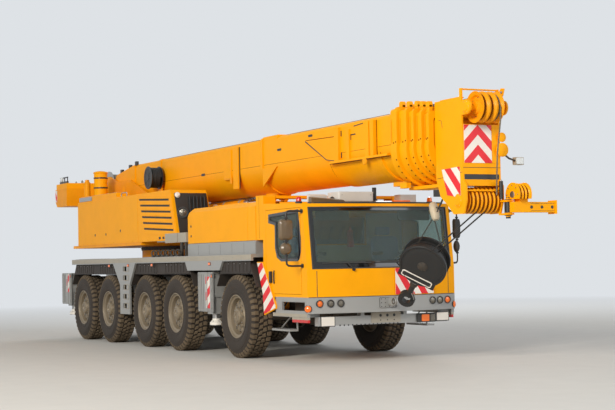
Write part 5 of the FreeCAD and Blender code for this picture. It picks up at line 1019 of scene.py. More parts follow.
@dataclass
class DeckDetails:
    """Edge strip, cover base, flap ribs, side lamps, ladder frames, tie-down eyes and deck plates."""

    edge_y: float = 1.5
    flaps: Sequence[Sequence[float]] = ((-8.93, -7.42), (-7.33, -5.77), (-5.2, -3.62), (-3.52, -1.95),
                                        (-0.86, 0.70))
    lamp_x: Sequence[float] = (-6.4, -5.25, -3.9, -1.06)

    def flap_ribs(self, shape: Shape) -> None:
        """Upright ribs and a lip on the black mudguard flaps over the wheels."""
        shape.use(FLAP_RUBBER)
        for x0, x1 in self.flaps:
            count = int((x1 - x0 - 0.3) / 0.13)
            for n in range(count):
                x = x0 + 0.2 + n * (x1 - x0 - 0.36) / max(1, count - 1)
                shape.box((x, x + 0.035), (1.453, 1.464), (1.46, 1.635))
            shape.box((x0 + 0.18, x1 - 0.16), (1.452, 1.468), (1.44, 1.458))
            shape.use(STEEL).bolts([(x0 + 0.3 + n * (x1 - x0 - 0.6) / 4, 1.456, 1.6) for n in range(5)], (0, 1, 0), 0.009)
            shape.use(FLAP_RUBBER)

    def locker(self, shape: Shape) -> None:
        """Grey box on the deck between the table and the engine cover."""
        shape.use(PALE_GREY).box((-2.86, -2.46), (1.30, 1.37), (2.02, 2.20))
        shape.use(DARK_STEEL).boxes([(x, (1.31, 1.35), (1.755, 2.03)) for x in ((-2.80, -2.72), (-2.58, -2.50))])

    def ladders(self, shape: Shape) -> None:
        """Dark step holes with pale rims, and the rungs' grips."""
        for low in (0.74, 0.93, 1.12, 1.31, 1.49):
            ring = rounded((-5.465, -5.255), (-low - 0.096, -low), 0.018)
            plane = wall(Side.LEFT, 1.5)
            border(shape.use(PALE_GREY), plane, ring, 0.012, 0.0, 0.008)
            shape.use(DARK_STEEL).box((-5.465, -5.255), (1.40, 1.46), (low - 0.004, low + 0.012))
            for n in range(5):
                x = -5.445 + 0.04 * n
                shape.use(STEEL).box((x, x + 0.012), (1.405, 1.455), (low + 0.012, low + 0.02))

    def edge(self, shape: Shape) -> None:
        """Seams, bolts, marker lamps and reflectors on the deck's edge."""
        shape.use(PALE_GREY).box((-8.93, 0.70), (self.edge_y - 0.004, self.edge_y + 0.003), (1.662, 1.748))
        shape.use(DARK_STEEL)
        for x in (-8.0, -6.1, -4.2, -2.42, -0.6):
            shape.box((x, x + 0.006), (self.edge_y - 0.004, self.edge_y + 0.001), (1.65, 1.752))
        shape.use(STEEL).bolts([(-8.8 + 0.38 * n, self.edge_y, 1.70) for n in range(25)], (0, 1, 0), 0.011, 0.007)
        for x in self.lamp_x:
            shape.use(BLACK_PLASTIC).box((x - 0.05, x + 0.05), (self.edge_y - 0.04, self.edge_y + 0.006), (1.575, 1.635))
            shape.use(AMBER).box((x - 0.042, x + 0.042), (self.edge_y, self.edge_y + 0.014), (1.583, 1.627))

    def top(self, shape: Shape) -> None:
        """Raised grip plates, ring bolts and low kick strips on the deck."""
        for x0, x1 in ((-8.85, -7.7), (-4.55, -3.7), (-3.6, -2.75)):
            shape.use(CHASSIS).box((x0, x1), (0.96, 1.44), (1.757, 1.763))
            for row in range(5):
                for n in range(int((x1 - x0) / 0.1)):
                    x, y = x0 + 0.06 + 0.1 * n, 1.02 + 0.085 * row
                    tilt = 0.018 if (n + row) % 2 else -0.018
                    shape.use(PALE_GREY).tube([(x - 0.018, y - tilt, 1.764), (x + 0.018, y + tilt, 1.764)], 0.004, 5)
        for x in (-3.95, -3.7, -3.45, -3.2, -2.95, -2.7):
            shape.use(DARK_STEEL).box((x - 0.05, x + 0.05), (1.40, 1.47), (1.757, 1.79))
            shape.hoop((x, 1.435, 1.83), (0.6, 0.8, 0), 0.05, 0.015, 20)
            shape.hoop((x + 0.10, 1.435, 1.82), (0.8, -0.5, 0.3), 0.038, 0.011, 16)
            shape.use(STEEL).bolts([(x - 0.035, 1.435, 1.775), (x + 0.035, 1.435, 1.775)], (0, 0, 1), 0.01)

    def cover_base(self, shape: Shape) -> None:
        """Grey strip below the engine cover with its latches, and fuel and oil fillers."""
        shape.use(CHASSIS).box((-2.40, 0.56), (1.351, 1.358), (1.76, 1.955))
        shape.use(DARK_STEEL)
        for x in (-1.9, -1.4, -0.9, -0.4, 0.1):
            shape.box((x, x + 0.005), (1.356, 1.3595), (1.77, 1.95))
        shape.use(STEEL).bolts([(-2.3 + 0.2 * n, 1.358, 1.79) for n in range(15)], (0, 1, 0), 0.008, 0.006)

    def build(self) -> None:
        """Make the deck's pieces on both sides."""
        for name, draw in (("mudguard_flap_ribs", self.flap_ribs), ("ladder_rims", self.ladders),
                           ("deck_edge_details", self.edge), ("deck_top_details", self.top),
                           ("cover_base_strip", self.cover_base), ("deck_lockers", self.locker)):
            shape = Shape(name, CHASSIS)
            draw(shape)
            shape.mirror().piece("carrier", bevel=0.0015)


@dataclass
class OutriggerDetails:
    """Folds, bolts, lamps and wear strips on the outrigger beams, and the feet's pads."""

    boxes: tuple[float, float] = (-1.3, -9.385)

    def build(self) -> None:
        """Dress each beam and leg on its own body."""
        for end, x in zip(("front", "rear"), self.boxes):
            for side in Side:
                shape = Shape("beam_details_%s_%s" % (end, side.word), CHASSIS)
                plane = wall(side, 1.486)
                frame = wall_points(side, bar((x - 0.31, x + 0.31), (0.79, 1.435)))
                border(shape, plane, frame, 0.012, 0.0, 0.008)
                for dx in (-0.17, -0.09):
                    shape.use(DARK_STEEL).plate(plane, wall_points(side, bar((x + dx, x + dx + 0.008), (0.80, 1.42))),
                                                0.0, 0.003)
                shape.use(STEEL).bolts([plane.at(p, 0.008) for p in wall_points(
                    side, [(x + a, z) for a in (-0.29, 0.29) for z in (0.83, 0.98, 1.13, 1.28, 1.4)])],
                    plane.out, 0.011, 0.008)
                shape.use(BLACK_PLASTIC).plate(plane, wall_points(side, bar((x + 0.27, x + 0.325), (1.36, 1.42))),
                                               0.0, 0.012)
                shape.use(AMBER).plate(plane, wall_points(side, bar((x + 0.275, x + 0.32), (1.365, 1.415))), 0.01, 0.013)
                shape.piece("outrigger_beam_%s_%s" % (end, side.word), bevel=0.0015)
                leg_x = {("front", Side.LEFT): -1.46, ("front", Side.RIGHT): -1.14,
                         ("rear", Side.LEFT): -9.545, ("rear", Side.RIGHT): -9.225}[(end, side)]
                foot = Shape("foot_%s_%s" % (end, side.word), WHITE)
                y = 1.348 * side.value
                foot.turned((leg_x, y, 0.0), (0, 0, 1), [(0.521, 0.0), (0.521, 0.112), (0.53, 0.1195), (0.575, 0.1195),
                                                         (0.585, 0.105), (0.60, 0.09), (0.61, 0.074), (0.64, 0.074),
                                                         (0.645, 0.0)], 28)
                foot.use(STEEL).bolts([(leg_x + 0.095 * math.cos(t), y + 0.095 * math.sin(t), 0.59)
                                       for t in (n * math.pi / 3 for n in range(6))], (0, 0, 1), 0.009)
                foot.piece("outrigger_leg_%s_%s" % (end, side.word), bevel=0.002)


@dataclass
class EngineCover:
    """Hinges, latches, grilles and vents on the engine cover."""

    top: float = 2.63
    side_y: float = 1.351

    def build(self) -> None:
        """Make the cover's fittings."""
        sides = Shape("cover_side_fittings", BLACK_PLASTIC)
        for x, z in ((-2.25, 2.12), (-2.25, 2.30)):
            sides.use(BLACK_PLASTIC).turned((x, self.side_y, z), (0, 1, 0), [(-0.002, 0.0), (-0.002, 0.024),
                                                                               (0.003, 0.022), (0.001, 0.012), (0.001, 0.0)], 18)
        sides.use(YELLOW).slab([(0.585, 1.985), (0.872, 1.985), (0.872, 2.70), (0.85, 2.72), (0.585, 2.72)], (1.12, 1.345))
        # An upright line of painted shade on the side of the cover's front block.
        sides.use(PAINTED_SHADE_LINE).box((0.70, 0.706), (1.344, 1.3465), (2.0, 2.70))
        sides.use(DARK_STEEL).box((-2.39, 0.56), (1.3505, 1.3525), (1.979, 1.985))
        sides.mirror().piece("carrier", bevel=0.002)
        roof = Shape("cover_roof_grilles", BLACK_PLASTIC)
        roof.use(YELLOW).box((0.585, 0.86), (-1.125, 1.125), (2.67, 2.718))
        for y in (-0.92, 0.92):
            frame = rounded((-1.5, -0.25), (y - 0.26, y + 0.26), 0.04)
            border(roof.use(YELLOW), facing((0, 0, self.top), TOP), frame, 0.03, -0.002, 0.02)
            roof.use(BLACK_PLASTIC).plate(facing((0, 0, self.top), TOP), frame, -0.002, 0.002)
            for n in range(17):
                x = -1.46 + 0.071 * n
                roof.loft([[(x, h, self.top + 0.002), (x + 0.03, h, self.top + 0.014), (x + 0.036, h, self.top + 0.012),
                            (x + 0.008, h, self.top + 0.001)] for h in (y - 0.25, y + 0.25)])
        for y in (-1.0, 1.0):
            for x in (-2.0, 0.1):
                roof.use(STEEL).tube([(x, y, self.top - 0.005), (x, y, self.top + 0.035), (x + 0.03, y, self.top + 0.05),
                                      (x + 0.15, y, self.top + 0.05), (x + 0.18, y, self.top + 0.035),
                                      (x + 0.18, y, self.top - 0.005)], 0.009, 8)
        roof.piece("carrier", bevel=0.0015)


# Driver's cab

@dataclass
class CabGlazing:
    """Black borders, rubber seals and wipers of the windscreen, and the panes of both doors."""

    screen_y: float = 1.26
    screen_z: tuple[float, float] = (1.5, 2.455)
    door: Outline = ((1.345, 1.85), (1.40, 1.72), (1.53, 1.665), (2.11, 1.665), (2.165, 1.74), (2.12, 2.39),
                     (1.11, 2.35), (1.11, 2.29), (1.345, 2.25))
    bow: Outline = ((2.11, 1.625), (2.19, 1.65), (2.228, 1.76), (2.232, 1.98), (2.205, 2.2), (2.15, 2.39), (2.165, 1.74))

    def post(self, shape: Shape, y: Sequence[float], low: float, high: float) -> None:
        """An upright strip on the screen's edge."""
        rings = []
        for n in range(13):
            z = self.screen_z[0] + (self.screen_z[1] - self.screen_z[0]) * n / 12
            rings.append([on_front(y[0], z, low), on_front(y[0], z, high), on_front(y[1], z, high),
                          on_front(y[1], z, low)])
        shape.loft(rings)

    def screen(self) -> None:
        """Border, seal and wipers of the windscreen."""
        w, (z0, z1) = self.screen_y, self.screen_z
        shape = Shape("windscreen_border", BLACK_GLASS)
        front_band(shape, (-w, w), (z0, z0 + 0.10), -0.0075, -0.004)
        front_band(shape, (-w, w), (z1 - 0.05, z1), -0.0075, -0.004)
        for side in (-1, 1):
            self.post(shape, sorted((side * w, side * (w - 0.06))), -0.0075, -0.004)
            shape.use(BLACK_PLASTIC)
            self.post(shape, sorted((side * (w + 0.012), side * (w - 0.008))), -0.01, 0.004)
            shape.use(BLACK_GLASS)
        shape.use(BLACK_PLASTIC)
        front_band(shape, (-w - 0.012, w + 0.012), (z0 - 0.012, z0 + 0.006), -0.01, 0.005)
        front_band(shape, (-w - 0.012, w + 0.012), (z1 - 0.006, z1 + 0.012), -0.01, 0.005)
        shape.piece("carrier", slot="black_paint")
        wipers = Shape("wipers", BLACK_PLASTIC)
        for pivot, start, end in ((-0.62, -1.12, -0.32), (0.30, -0.24, 0.58)):
            wipers.use(BLACK_PAINT).rod(on_front(pivot, 1.472, -0.01), on_front(pivot, 1.472, 0.035), 0.022, 16)
            middle = (start + end) / 2
            wipers.tube([on_front(pivot, 1.472, 0.028), on_front(pivot + (middle - pivot) * 0.5, 1.52, 0.036),
                         on_front(middle, 1.578, 0.026)], 0.009, 8)
            front_band(wipers.use(BLACK_PLASTIC), (start, end), (1.572, 1.590), 0.004, 0.018, 16)
            front_band(wipers, (start + 0.1, end - 0.1), (1.588, 1.604), 0.008, 0.02, 12)
        wipers.piece("carrier", bevel=0.001, slot="black_plastic")

    def doors(self) -> None:
        """Pane, black frame, seal, grip and hinges of each door."""
        for side in Side:
            body, word = "cab_door_" + side.word, side.word
            plane = wall(side, 1.35)
            frame = wall_points(side, self.door)
            seal = Shape("door_frame_" + word, BLACK_GLASS)
            border(seal, plane, frame, 0.045, -0.004, 0.0025)
            border(seal.use(BLACK_PLASTIC), plane, grown(frame, -0.012), 0.016, -0.03, 0.004)
            x, z = (1.118, 1.182), (1.275, 1.465)
            grip = wall_points(side, rounded(x, z, 0.02))
            seal.use(BLACK_PAINT).plate(plane, grip, -0.002, 0.0345 + 0.002)
            seal.use(BLACK_GLASS).plate(plane, wall_points(side, self.bow), -0.002, 0.0025)
            seal.use(BLACK_PLASTIC).tube([plane.at(p, d) for p, d in zip(wall_points(side, [
                (1.25, 1.475), (1.275, 1.44), (1.285, 1.37), (1.275, 1.30), (1.25, 1.265)]),
                (0.0, 0.022, 0.03, 0.022, 0.0))], 0.011, 10)
            seal.use(STEEL).bolts([plane.at(p, 0.0) for p in wall_points(side, [(1.22, 1.28)])], plane.out, 0.012, 0.004)
            seal.piece(body, bevel=0.001, slot="black_paint")
            pane = Shape("door_pane_" + word, GLASS)
            pane.plate(plane, grown(frame, -0.004), -0.02, -0.014)
            pane.piece(body, slot="glass")

    def build(self) -> None:
        """Make the glazing."""
        self.screen()
        self.doors()


@dataclass
class CabFront:
    """Lamps, seams, plates, bars and the tow ring on the cab's front and bumper band."""

    lamps: Sequence[tuple[float, Finish]] = ((1.17, AMBER), (1.0, LAMP_LENS), (0.84, LAMP_LENS))
    lamp_z: float = 0.95
    lamp_r: float = 0.056

    def lamp(self, shape: Shape, y: float, finish: Finish) -> None:
        """One round lamp with bezel, bowl, bulb and lens."""
        r, face = self.lamp_r, on_front(y, self.lamp_z).x + 0.01
        at = (face, y, self.lamp_z)
        shape.use(BLACK_PLASTIC).turned(at, (1, 0, 0), [
            (-0.08, 0.0), (-0.08, r * 0.6), (-0.05, r), (0.0, r), (0.008, r + 0.006), (0.013, r), (0.010, r - 0.008),
            (-0.006, r - 0.010), (-0.02, 0.02), (-0.03, 0.0)], 32)
        shape.use(REFLECTOR).turned(at, (1, 0, 0), [(-0.028, 0.0), (-0.024, 0.016), (-0.004, r - 0.0095),
                                                    (-0.008, r - 0.009)], 28)
        shape.use(finish).turned(at, (1, 0, 0), [(-0.003, 0.0), (-0.003, r - 0.0085), (0.002, r - 0.009),
                                                 (0.008, r * 0.6), (0.0105, 0.0)], 28)

    def bumper(self) -> None:
        """Corner lamps, step grips, plates, crossbar strip and seams."""
        shape = Shape("bumper_fittings", CHASSIS)
        for k in (-1, 1):
            shape.use(BLACK_PLASTIC).turned((2.415, k * 1.335, 0.872), (0.75, k * 0.66, 0), [
                (-0.04, 0.0), (-0.04, 0.062), (0.012, 0.062), (0.012, 0.0)], 26)
            shape.use(AMBER).turned((2.415, k * 1.335, 0.872), (0.75, k * 0.66, 0), [
                (0.01, 0.0), (0.01, 0.055), (0.022, 0.05), (0.034, 0.03), (0.038, 0.0)], 26)
            for n in range(9):
                x = 1.54 + 0.088 * n
                shape.use(STEEL).box((x, x + 0.022), sorted((k * 1.10, k * 1.345)), (0.797, 0.808))
            shape.use(PALE_GREY).box((1.18, 2.40), sorted((k * 1.3502, k * 1.353)), (0.742, 0.792))
            shape.use(DARK_STEEL).box((1.46, 2.38), sorted((k * 1.07, k * 1.085)), (0.80, 1.03))
            shape.use(RED_LENS).box((1.86, 2.40), sorted((k * 1.30, k * 1.338)), (0.655, 0.70))
            shape.use(PALE_GREY).box((1.86, 2.40), sorted((k * 1.296, k * 1.342)), (0.70, 0.737))
            for n in range(8):
                x = 1.16 + 0.078 * n
                shape.use(STEEL).box((x, x + 0.018), sorted((k * 1.21, k * 1.345)), (0.535, 0.545))
            shape.use(BLACK_PLASTIC)
            for y in (1.2, 1.204):
                line = [on_front(k * y, z, 0.0) for z in (1.06, 1.46)]
                shape.rod(line[0], line[1], 0.0035, 6)
        shape.use(DARK_STEEL)
        front_band(shape, (-1.33, 1.33), (1.044, 1.054), -0.004, 0.003)
        plate = facing((2.451, 0, 0), FRONT)
        shape.use(PALE_GREY).plate(plate, rounded((-0.24, 0.30), (0.62, 0.785), 0.015), 0.0, 0.008)
        shape.use(BLACK_PAINT)
        for n in range(15):
            shape.turned((2.452, -0.80 + 0.075 * n, 0.602), (1, 0, 0), [(0.0, 0.0), (0.0, 0.013), (0.002, 0.013), (0.002, 0.0)], 12)
        for n, radius in enumerate((0.024, 0.024, 0.024, 0.011, 0.011, 0.011)):
            y, z = -0.07 + 0.125 * (n % 3), (0.735, 0.66)[n // 3]
            shape.turned((2.459, y, z), (1, 0, 0), [(0.0, 0.0), (0.0, radius), (0.001, radius), (0.001, 0.0)], 16)
        for y0, y1, z0, z1 in ((-1.13, -0.90, 0.60, 0.74), (0.98, 1.20, 0.62, 0.745)):
            shape.use(BLACK_PLASTIC).plate(plate, bar((y0 - 0.012, y1 + 0.012), (z0 - 0.012, z1 + 0.012)), 0.0, 0.008)
            shape.use(WHITE).plate(plate, bar((y0, y1), (z0, z1)), 0.007, 0.011)
        shape.use(BLACK_PLASTIC).plate(plate, rounded((0.60, 0.95), (0.60, 0.74), 0.02), 0.0, 0.03)
        shape.use(AMBER).plate(plate, rounded((0.68, 0.82), (0.615, 0.725), 0.015), 0.028, 0.04)
        shape.use(LAMP_LENS).plate(plate, rounded((0.84, 0.93), (0.615, 0.725), 0.015), 0.028, 0.04)
        panel = front_plane(-0.05)
        border(shape.use(DARK_STEEL), panel, rounded((-0.18, 0.12), (0.86, 1.02), 0.02), 0.006, 0.0, 0.004)
        shape.use(BLACK_PAINT).bolts([panel.at((a, b), 0.001) for a in (-0.15, -0.08, -0.01, 0.06, 0.10)
                                      for b in (0.88, 0.94, 1.0)], panel.out, 0.008, 0.004)
        shape.piece("carrier", bevel=0.0015)
        ring = Shape("tow_ring", DARK_STEEL)
        ring.turned((2.79, 0, 0.96), (0, 1, 0), [(-0.024, 0.03), (-0.024, 0.05), (0.0, 0.064), (0.024, 0.05),
                                                 (0.024, 0.03), (0.0, 0.0262)], 32, closed=True)
        ring.use(STEEL).rod((2.70, -0.05, 0.90), (2.70, 0.05, 0.90), 0.018, 14)
        ring.piece("carrier", bevel=0.001, slot="chassis_grey")

    def build(self) -> None:
        """Make the lamps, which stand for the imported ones, and the fittings round them."""
        lamps = Shape("front_lamps", CLEAR_LENS)
        for y, finish in self.lamps:
            self.lamp(lamps, y, finish)
        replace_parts(lamps.mirror().piece("carrier", slot="lamp"), "lamps")
        self.bumper()


@dataclass
class CabRoof:
    """Boxes, beacons, visor strip, horn and aerial on the cab's roof."""

    def build(self) -> None:
        """Make the roof pieces."""
        low = 2.545
        shape = Shape("roof_boxes", ROOF_WHITE)
        shape.use(ROOF_WHITE).plate(facing((0, 0, low), TOP), rounded((1.80, 2.20), (-0.64, 0.0), 0.03), 0.0, 0.17)
        shape.loft([[(2.1, y, low), (2.2, y, low), (2.2, y, low + 0.10), (2.1, y, low + 0.13)] for y in (-1.16, -0.84)])
        shape.plate(facing((0, 0, low), TOP), rounded((1.95, 2.15), (0.52, 0.84), 0.03), 0.0, 0.13)
        shape.use(STEEL).bolts([(2.20, y, low + 0.12) for y in (-0.58, -0.06)], (1, 0, 0), 0.007)
        shape.piece("carrier", bevel=0.006)
        fit = Shape("roof_lamps_and_visor", BLACK_PLASTIC)
        front_band(fit, (-1.22, 1.22), (2.502, 2.540), -0.10, -0.012, 30)
        # Blocks over the windscreen in black plastic with a painted sheen.
        fit.use(PAINTED_SHEEN_PLASTIC).loft([[(2.22, y, 2.50), (2.34, y, 2.50), (2.34, y, 2.50 + h), (2.24, y, 2.52 + h)]
                              for y, h in ((-1.20, 0.11), (-0.62, 0.07), (-0.60, 0.045), (0.62, 0.045))])
        # A strip of painted shade under the amber lamp.
        fit.use(PAINTED_SHADE_LINE).box((2.338, 2.343), (0.30, 0.60), (2.505, 2.543))
        fit.use(AMBER).box((2.26, 2.335), (0.30, 0.60), (2.545, 2.575))
        fit.use(BLACK_PAINT).rod((2.06, 0.09, 2.54), (2.06, 0.09, 2.79), 0.035, 20)
        fit.rod((2.06, 0.09, 2.56), (2.06, 0.09, 2.60), 0.05, 20)
        for y, finish in ((-1.22, RED_LENS), (1.22, AMBER)):
            fit.use(BLACK_PLASTIC).turned((1.93, y, 2.53), (0, 0, 1), [(0.0, 0.0), (0.0, 0.055), (0.035, 0.055),
                                                                       (0.04, 0.048), (0.04, 0.0)], 24)
            fit.use(finish).turned((1.93, y, 2.57), (0, 0, 1), [(0.0, 0.0), (0.0, 0.045), (0.05, 0.042), (0.07, 0.03),
                                                                (0.078, 0.0)], 24)
        for y in (-0.7, 0.7):
            fit.use(STEEL).turned((1.75, y, 2.60), (1, 0, 0), [(0.0, 0.0), (0.0, 0.012), (0.2, 0.014), (0.29, 0.022),
                                                               (0.34, 0.042), (0.335, 0.036), (0.25, 0.0)], 20)
            fit.use(BLACK_PAINT).box((1.80, 1.83), (y - 0.015, y + 0.015), (2.54, 2.60))
        fit.piece("carrier", bevel=0.0015, slot="black_plastic")


@dataclass
class CabInside:
    """Seats, dashboard, steering wheel, linings, extinguisher and the mirrors outside."""

    seat_y: tuple[float, float] = (0.52, 1.04)
    wheel_at: tuple[float, float, float] = (1.9, 0.78, 1.64)
    left_reach: float = 0.55

    def seat(self, shape: Shape) -> None:
        """Left seat with crowned cushion, bolstered back, head rest and suspension."""
        y0, y1 = self.seat_y
        middle = (y0 + y1) / 2
        shape.use(TRIM).box((1.22, 1.60), (y0 + 0.08, y1 - 0.08), (1.097, 1.18))
        for n in range(5):
            z = 1.18 + 0.045 * n
            shape.plate(facing((0, 0, z), TOP), rounded((1.22 + 0.01 * (n % 2), 1.59 - 0.01 * (n % 2)),
                                                        (y0 + 0.08, y1 - 0.08), 0.05), 0.0, 0.046)
        shape.box((1.18, 1.64), (y0 + 0.03, y1 - 0.03), (1.40, 1.44))
        shape.use(CLOTH)
        for low, high, a, b in ((1.43, 1.54, 0.0, 0.0),):
            rings = []
            for z, inset in ((low, 0.02), (low + 0.03, 0.0), (high - 0.03, 0.0), (high - 0.01, 0.02), (high, 0.07)):
                rings.append([(x, y, z) for x, y in rounded((1.16 + inset, 1.68 - inset), (y0 + inset, y1 - inset), 0.06)])
            shape.loft(rings)
        rings = []
        for x, inset in ((1.075, 0.05), (1.09, 0.015), (1.15, 0.0), (1.19, 0.02), (1.205, 0.07)):
            rings.append([(x + 0.06 - (z - 1.5) * 0.09, y, z)
                          for y, z in rounded((y0 + inset, y1 - inset), (1.52 + inset, 2.02 - inset), 0.08)])
        shape.loft(rings)
        for x, inset in ((0.0, 0.0),):
            head = []
            for step, shrink in ((1.05, 0.03), (1.065, 0.0), (1.12, 0.0), (1.135, 0.03)):
                head.append([(step + 0.01, y, z) for y, z in rounded((middle - 0.13 + shrink, middle + 0.13 - shrink),
                                                                     (2.04 + shrink, 2.18 - shrink), 0.04)])
            shape.loft(head)
        shape.use(TRIM)
        for y in (y0 - 0.005, y1 - 0.035):
            shape.plate(Plane(Vector((0, y, 0)), Vector((1, 0, 0)), Vector((0, 0, 1))),
                        rounded((1.2, 1.5), (1.70, 1.76), 0.025), -0.04, 0.0)
        shape.tube([(1.13, y0 + 0.03, 2.0), (1.2, y0 + 0.12, 1.8), (1.25, middle, 1.62), (1.28, y1 - 0.06, 1.56)], 0.008, 6)

    def dash(self, shape: Shape) -> None:
        """Dashboard, binnacle, switches, column and steering wheel."""
        shape.use(TRIM)
        profile = [(2.10, 1.10), (2.265, 1.10), (2.265, 1.52), (2.25, 1.555), (2.20, 1.56), (2.11, 1.53), (2.085, 1.46),
                   (2.12, 1.38)]
        shape.slab(profile, (-1.26, 1.26))
        x, y, z = self.wheel_at
        shape.loft([[(2.06, h, 1.50), (2.22, h, 1.555), (2.24, h, 1.60), (2.12, h, 1.615), (2.05, h, 1.55)]
                    for h in (y - 0.24, y + 0.24)])
        shape.use(BLACK_GLASS).plate(Plane(Vector((2.049, y, 1.552)), Vector((0, -1, 0)), Vector((0.35, 0, 0.94)).normalized()),
                                     rounded((-0.2, 0.2), (-0.035, 0.045), 0.02), 0.0, 0.003)
        shape.plate(Plane(Vector((2.083, 0.1, 1.47)), Vector((0, -1, 0)), Vector((0.25, 0, 0.97)).normalized()),
                    rounded((-0.22, 0.22), (-0.05, 0.05), 0.02), 0.0, 0.004)
        for n in range(10):
            shape.use(LIGHT_TRIM if n % 3 else RED).box((2.086, 2.094), (-0.62 + 0.07 * n, -0.585 + 0.07 * n),
                                                        (1.44, 1.475))
        lean = Vector((-0.5, 0, 1)).normalized()
        u, v = across(lean)
        centre = Vector((x, y, z))
        shape.use(BLACK_PLASTIC).hoop(centre, lean, 0.205, 0.015, 44)
        shape.turned(centre - lean * 0.03, lean, [(0.0, 0.0), (0.0, 0.05), (0.03, 0.062), (0.045, 0.05), (0.05, 0.0)], 24)
        for turn in (20, 160, 270):
            t = math.radians(turn)
            way = u * math.cos(t) + v * math.sin(t)
            shape.tube([centre + way * 0.05, centre + way * 0.12 - lean * 0.01, centre + way * 0.2], 0.011, 8)
        shape.use(TRIM).rod(centre - lean * 0.03, (2.12, y, 1.42), 0.032, 18)
        for reach, drop in ((0.12, 0.0), (-0.12, 0.02)):
            shape.use(BLACK_PLASTIC).tube([centre - lean * (0.07 + drop), centre - lean * (0.065 + drop) + Vector((0, reach, 0))],
                                          0.008, 8)
        shape.use(TRIM).box((1.45, 2.05), (-0.2, 0.28), (1.10, 1.36))
        shape.use(BLACK_PLASTIC).rod((1.7, 0.05, 1.36), (1.7, 0.07, 1.5), 0.012, 10)
        shape.turned((1.7, 0.07, 1.5), (0, 0, 1), [(0.0, 0.0), (0.005, 0.02), (0.03, 0.026), (0.055, 0.018), (0.06, 0.0)], 18)

    def linings(self, shape: Shape) -> None:
        """Floor mat, rear wall, head lining, door pockets, visors and the extinguisher."""
        shape.use(TRIM).box((0.92, 2.08), (-1.28, 1.28), (1.0975, 1.105))
        shape.use(LIGHT_TRIM).box((0.90, 0.912), (-1.28, 1.28), (1.11, 1.88))
        for y in (-1.28, 0.58):
            shape.box((0.90, 0.912), (y, y + 0.70), (1.88, 2.42))
        shape.use(TRIM).loft([[(0.91, y, 2.46), (2.20, y, 2.425), (2.20, y, 2.44), (0.91, y, 2.475)] for y in (-1.26, 1.26)])
        for y in (-0.75, 0.75):
            shape.use(BLACK_PLASTIC).plate(Plane(Vector((2.17, y, 2.33)), Vector((0, 1, 0)), Vector((-0.2, 0, 0.98)).normalized()),
                                           rounded((-0.3, 0.3), (-0.08, 0.09), 0.03), 0.0, 0.014)
        shape.use(RED).turned((0.99, 0.22, 1.84), (0, 0, 1), [(0.0, 0.0), (0.0, 0.05), (0.01, 0.06), (0.26, 0.06),
                                                              (0.30, 0.03), (0.31, 0.018), (0.34, 0.018), (0.34, 0.0)], 22)
        shape.use(BLACK_PLASTIC).tube([(0.99, 0.22, 2.17), (1.03, 0.24, 2.17), (1.06, 0.25, 2.1), (1.06, 0.25, 1.95)], 0.01, 8)

    def mirror(self, side: Side) -> None:
        """Main and round mirror of one side on their bent bar."""
        k = side.value
        # The right mirror takes black plastic with a painted sheen; the left one stays plain black plastic.
        shape = Shape("mirror_" + side.word, PAINTED_SHEEN_PLASTIC if side is Side.RIGHT else BLACK_PLASTIC)
        inner, outer = 1.52, 1.75
        rings = []
        for x, inset in ((2.256, 0.004), (2.262, 0.0), (2.30, 0.004), (2.325, 0.025), (2.335, 0.06)):
            rings.append([(x, k * y, z) for y, z in rounded((inner + inset, outer - inset), (1.95 + inset, 2.27 - inset), 0.05)])
        shape.loft(rings)
        at = (2.256, k * 1.635, 1.815)
        shape.turned(at, (1, 0, 0), [(0.0, 0.0), (0.0, 0.094), (0.006, 0.098), (0.04, 0.09), (0.068, 0.06), (0.078, 0.0)], 32)
        shape.use(REFLECTOR).loft([[(x, k * y, z) for y, z in rounded((inner + 0.018, outer - 0.018), (1.968, 2.252), 0.04)]
                                   for x in (2.254, 2.257)])
        shape.turned((2.254, k * 1.635, 1.815), (1, 0, 0), [(0.002, 0.0), (0.0, 0.04), (0.002, 0.082), (0.004, 0.082)], 28)
        shape.use(BLACK_PAINT).tube([(2.295, k * y, z) for y, z in (
            (1.34, 2.40), (1.56, 2.405), (1.61, 2.395), (1.632, 2.36), (1.635, 2.30), (1.635, 1.62), (1.63, 1.575),
            (1.60, 1.55), (1.55, 1.545), (1.34, 1.545))], 0.016, 12)
        for z in (2.40, 1.545):
            shape.rod((2.295, k * 1.352, z), (2.295, k * 1.372, z), 0.034, 18)
        for z in (2.29, 1.93, 1.71):
            shape.box((2.272, 2.318), sorted((k * 1.61, k * 1.66)), (z - 0.014, z + 0.014))
        if side is Side.LEFT:
            for point in shape.points:
                point.y = 1.36 + (point.y - 1.36) * self.left_reach if point.y > 1.36 else point.y
        made = shape.piece("carrier", bevel=0.001, slot="black_plastic")
        if side is Side.RIGHT:
            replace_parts(made, "cab_fittings")

    def build(self) -> None:
        """Make the inside and the mirrors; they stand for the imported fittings."""
        seats = Shape("driver_seats", CLOTH)
        self.seat(seats)
        seats.mirror().piece("carrier", bevel=0.004, slot="black_plastic")
        dash = Shape("dashboard", TRIM)
        self.dash(dash)
        dash.piece("carrier", bevel=0.003, slot="black_plastic")
        linings = Shape("cab_linings", TRIM)
        self.linings(linings)
        linings.piece("carrier", bevel=0.002, slot="black_plastic")
        for side in Side:
            self.mirror(side)


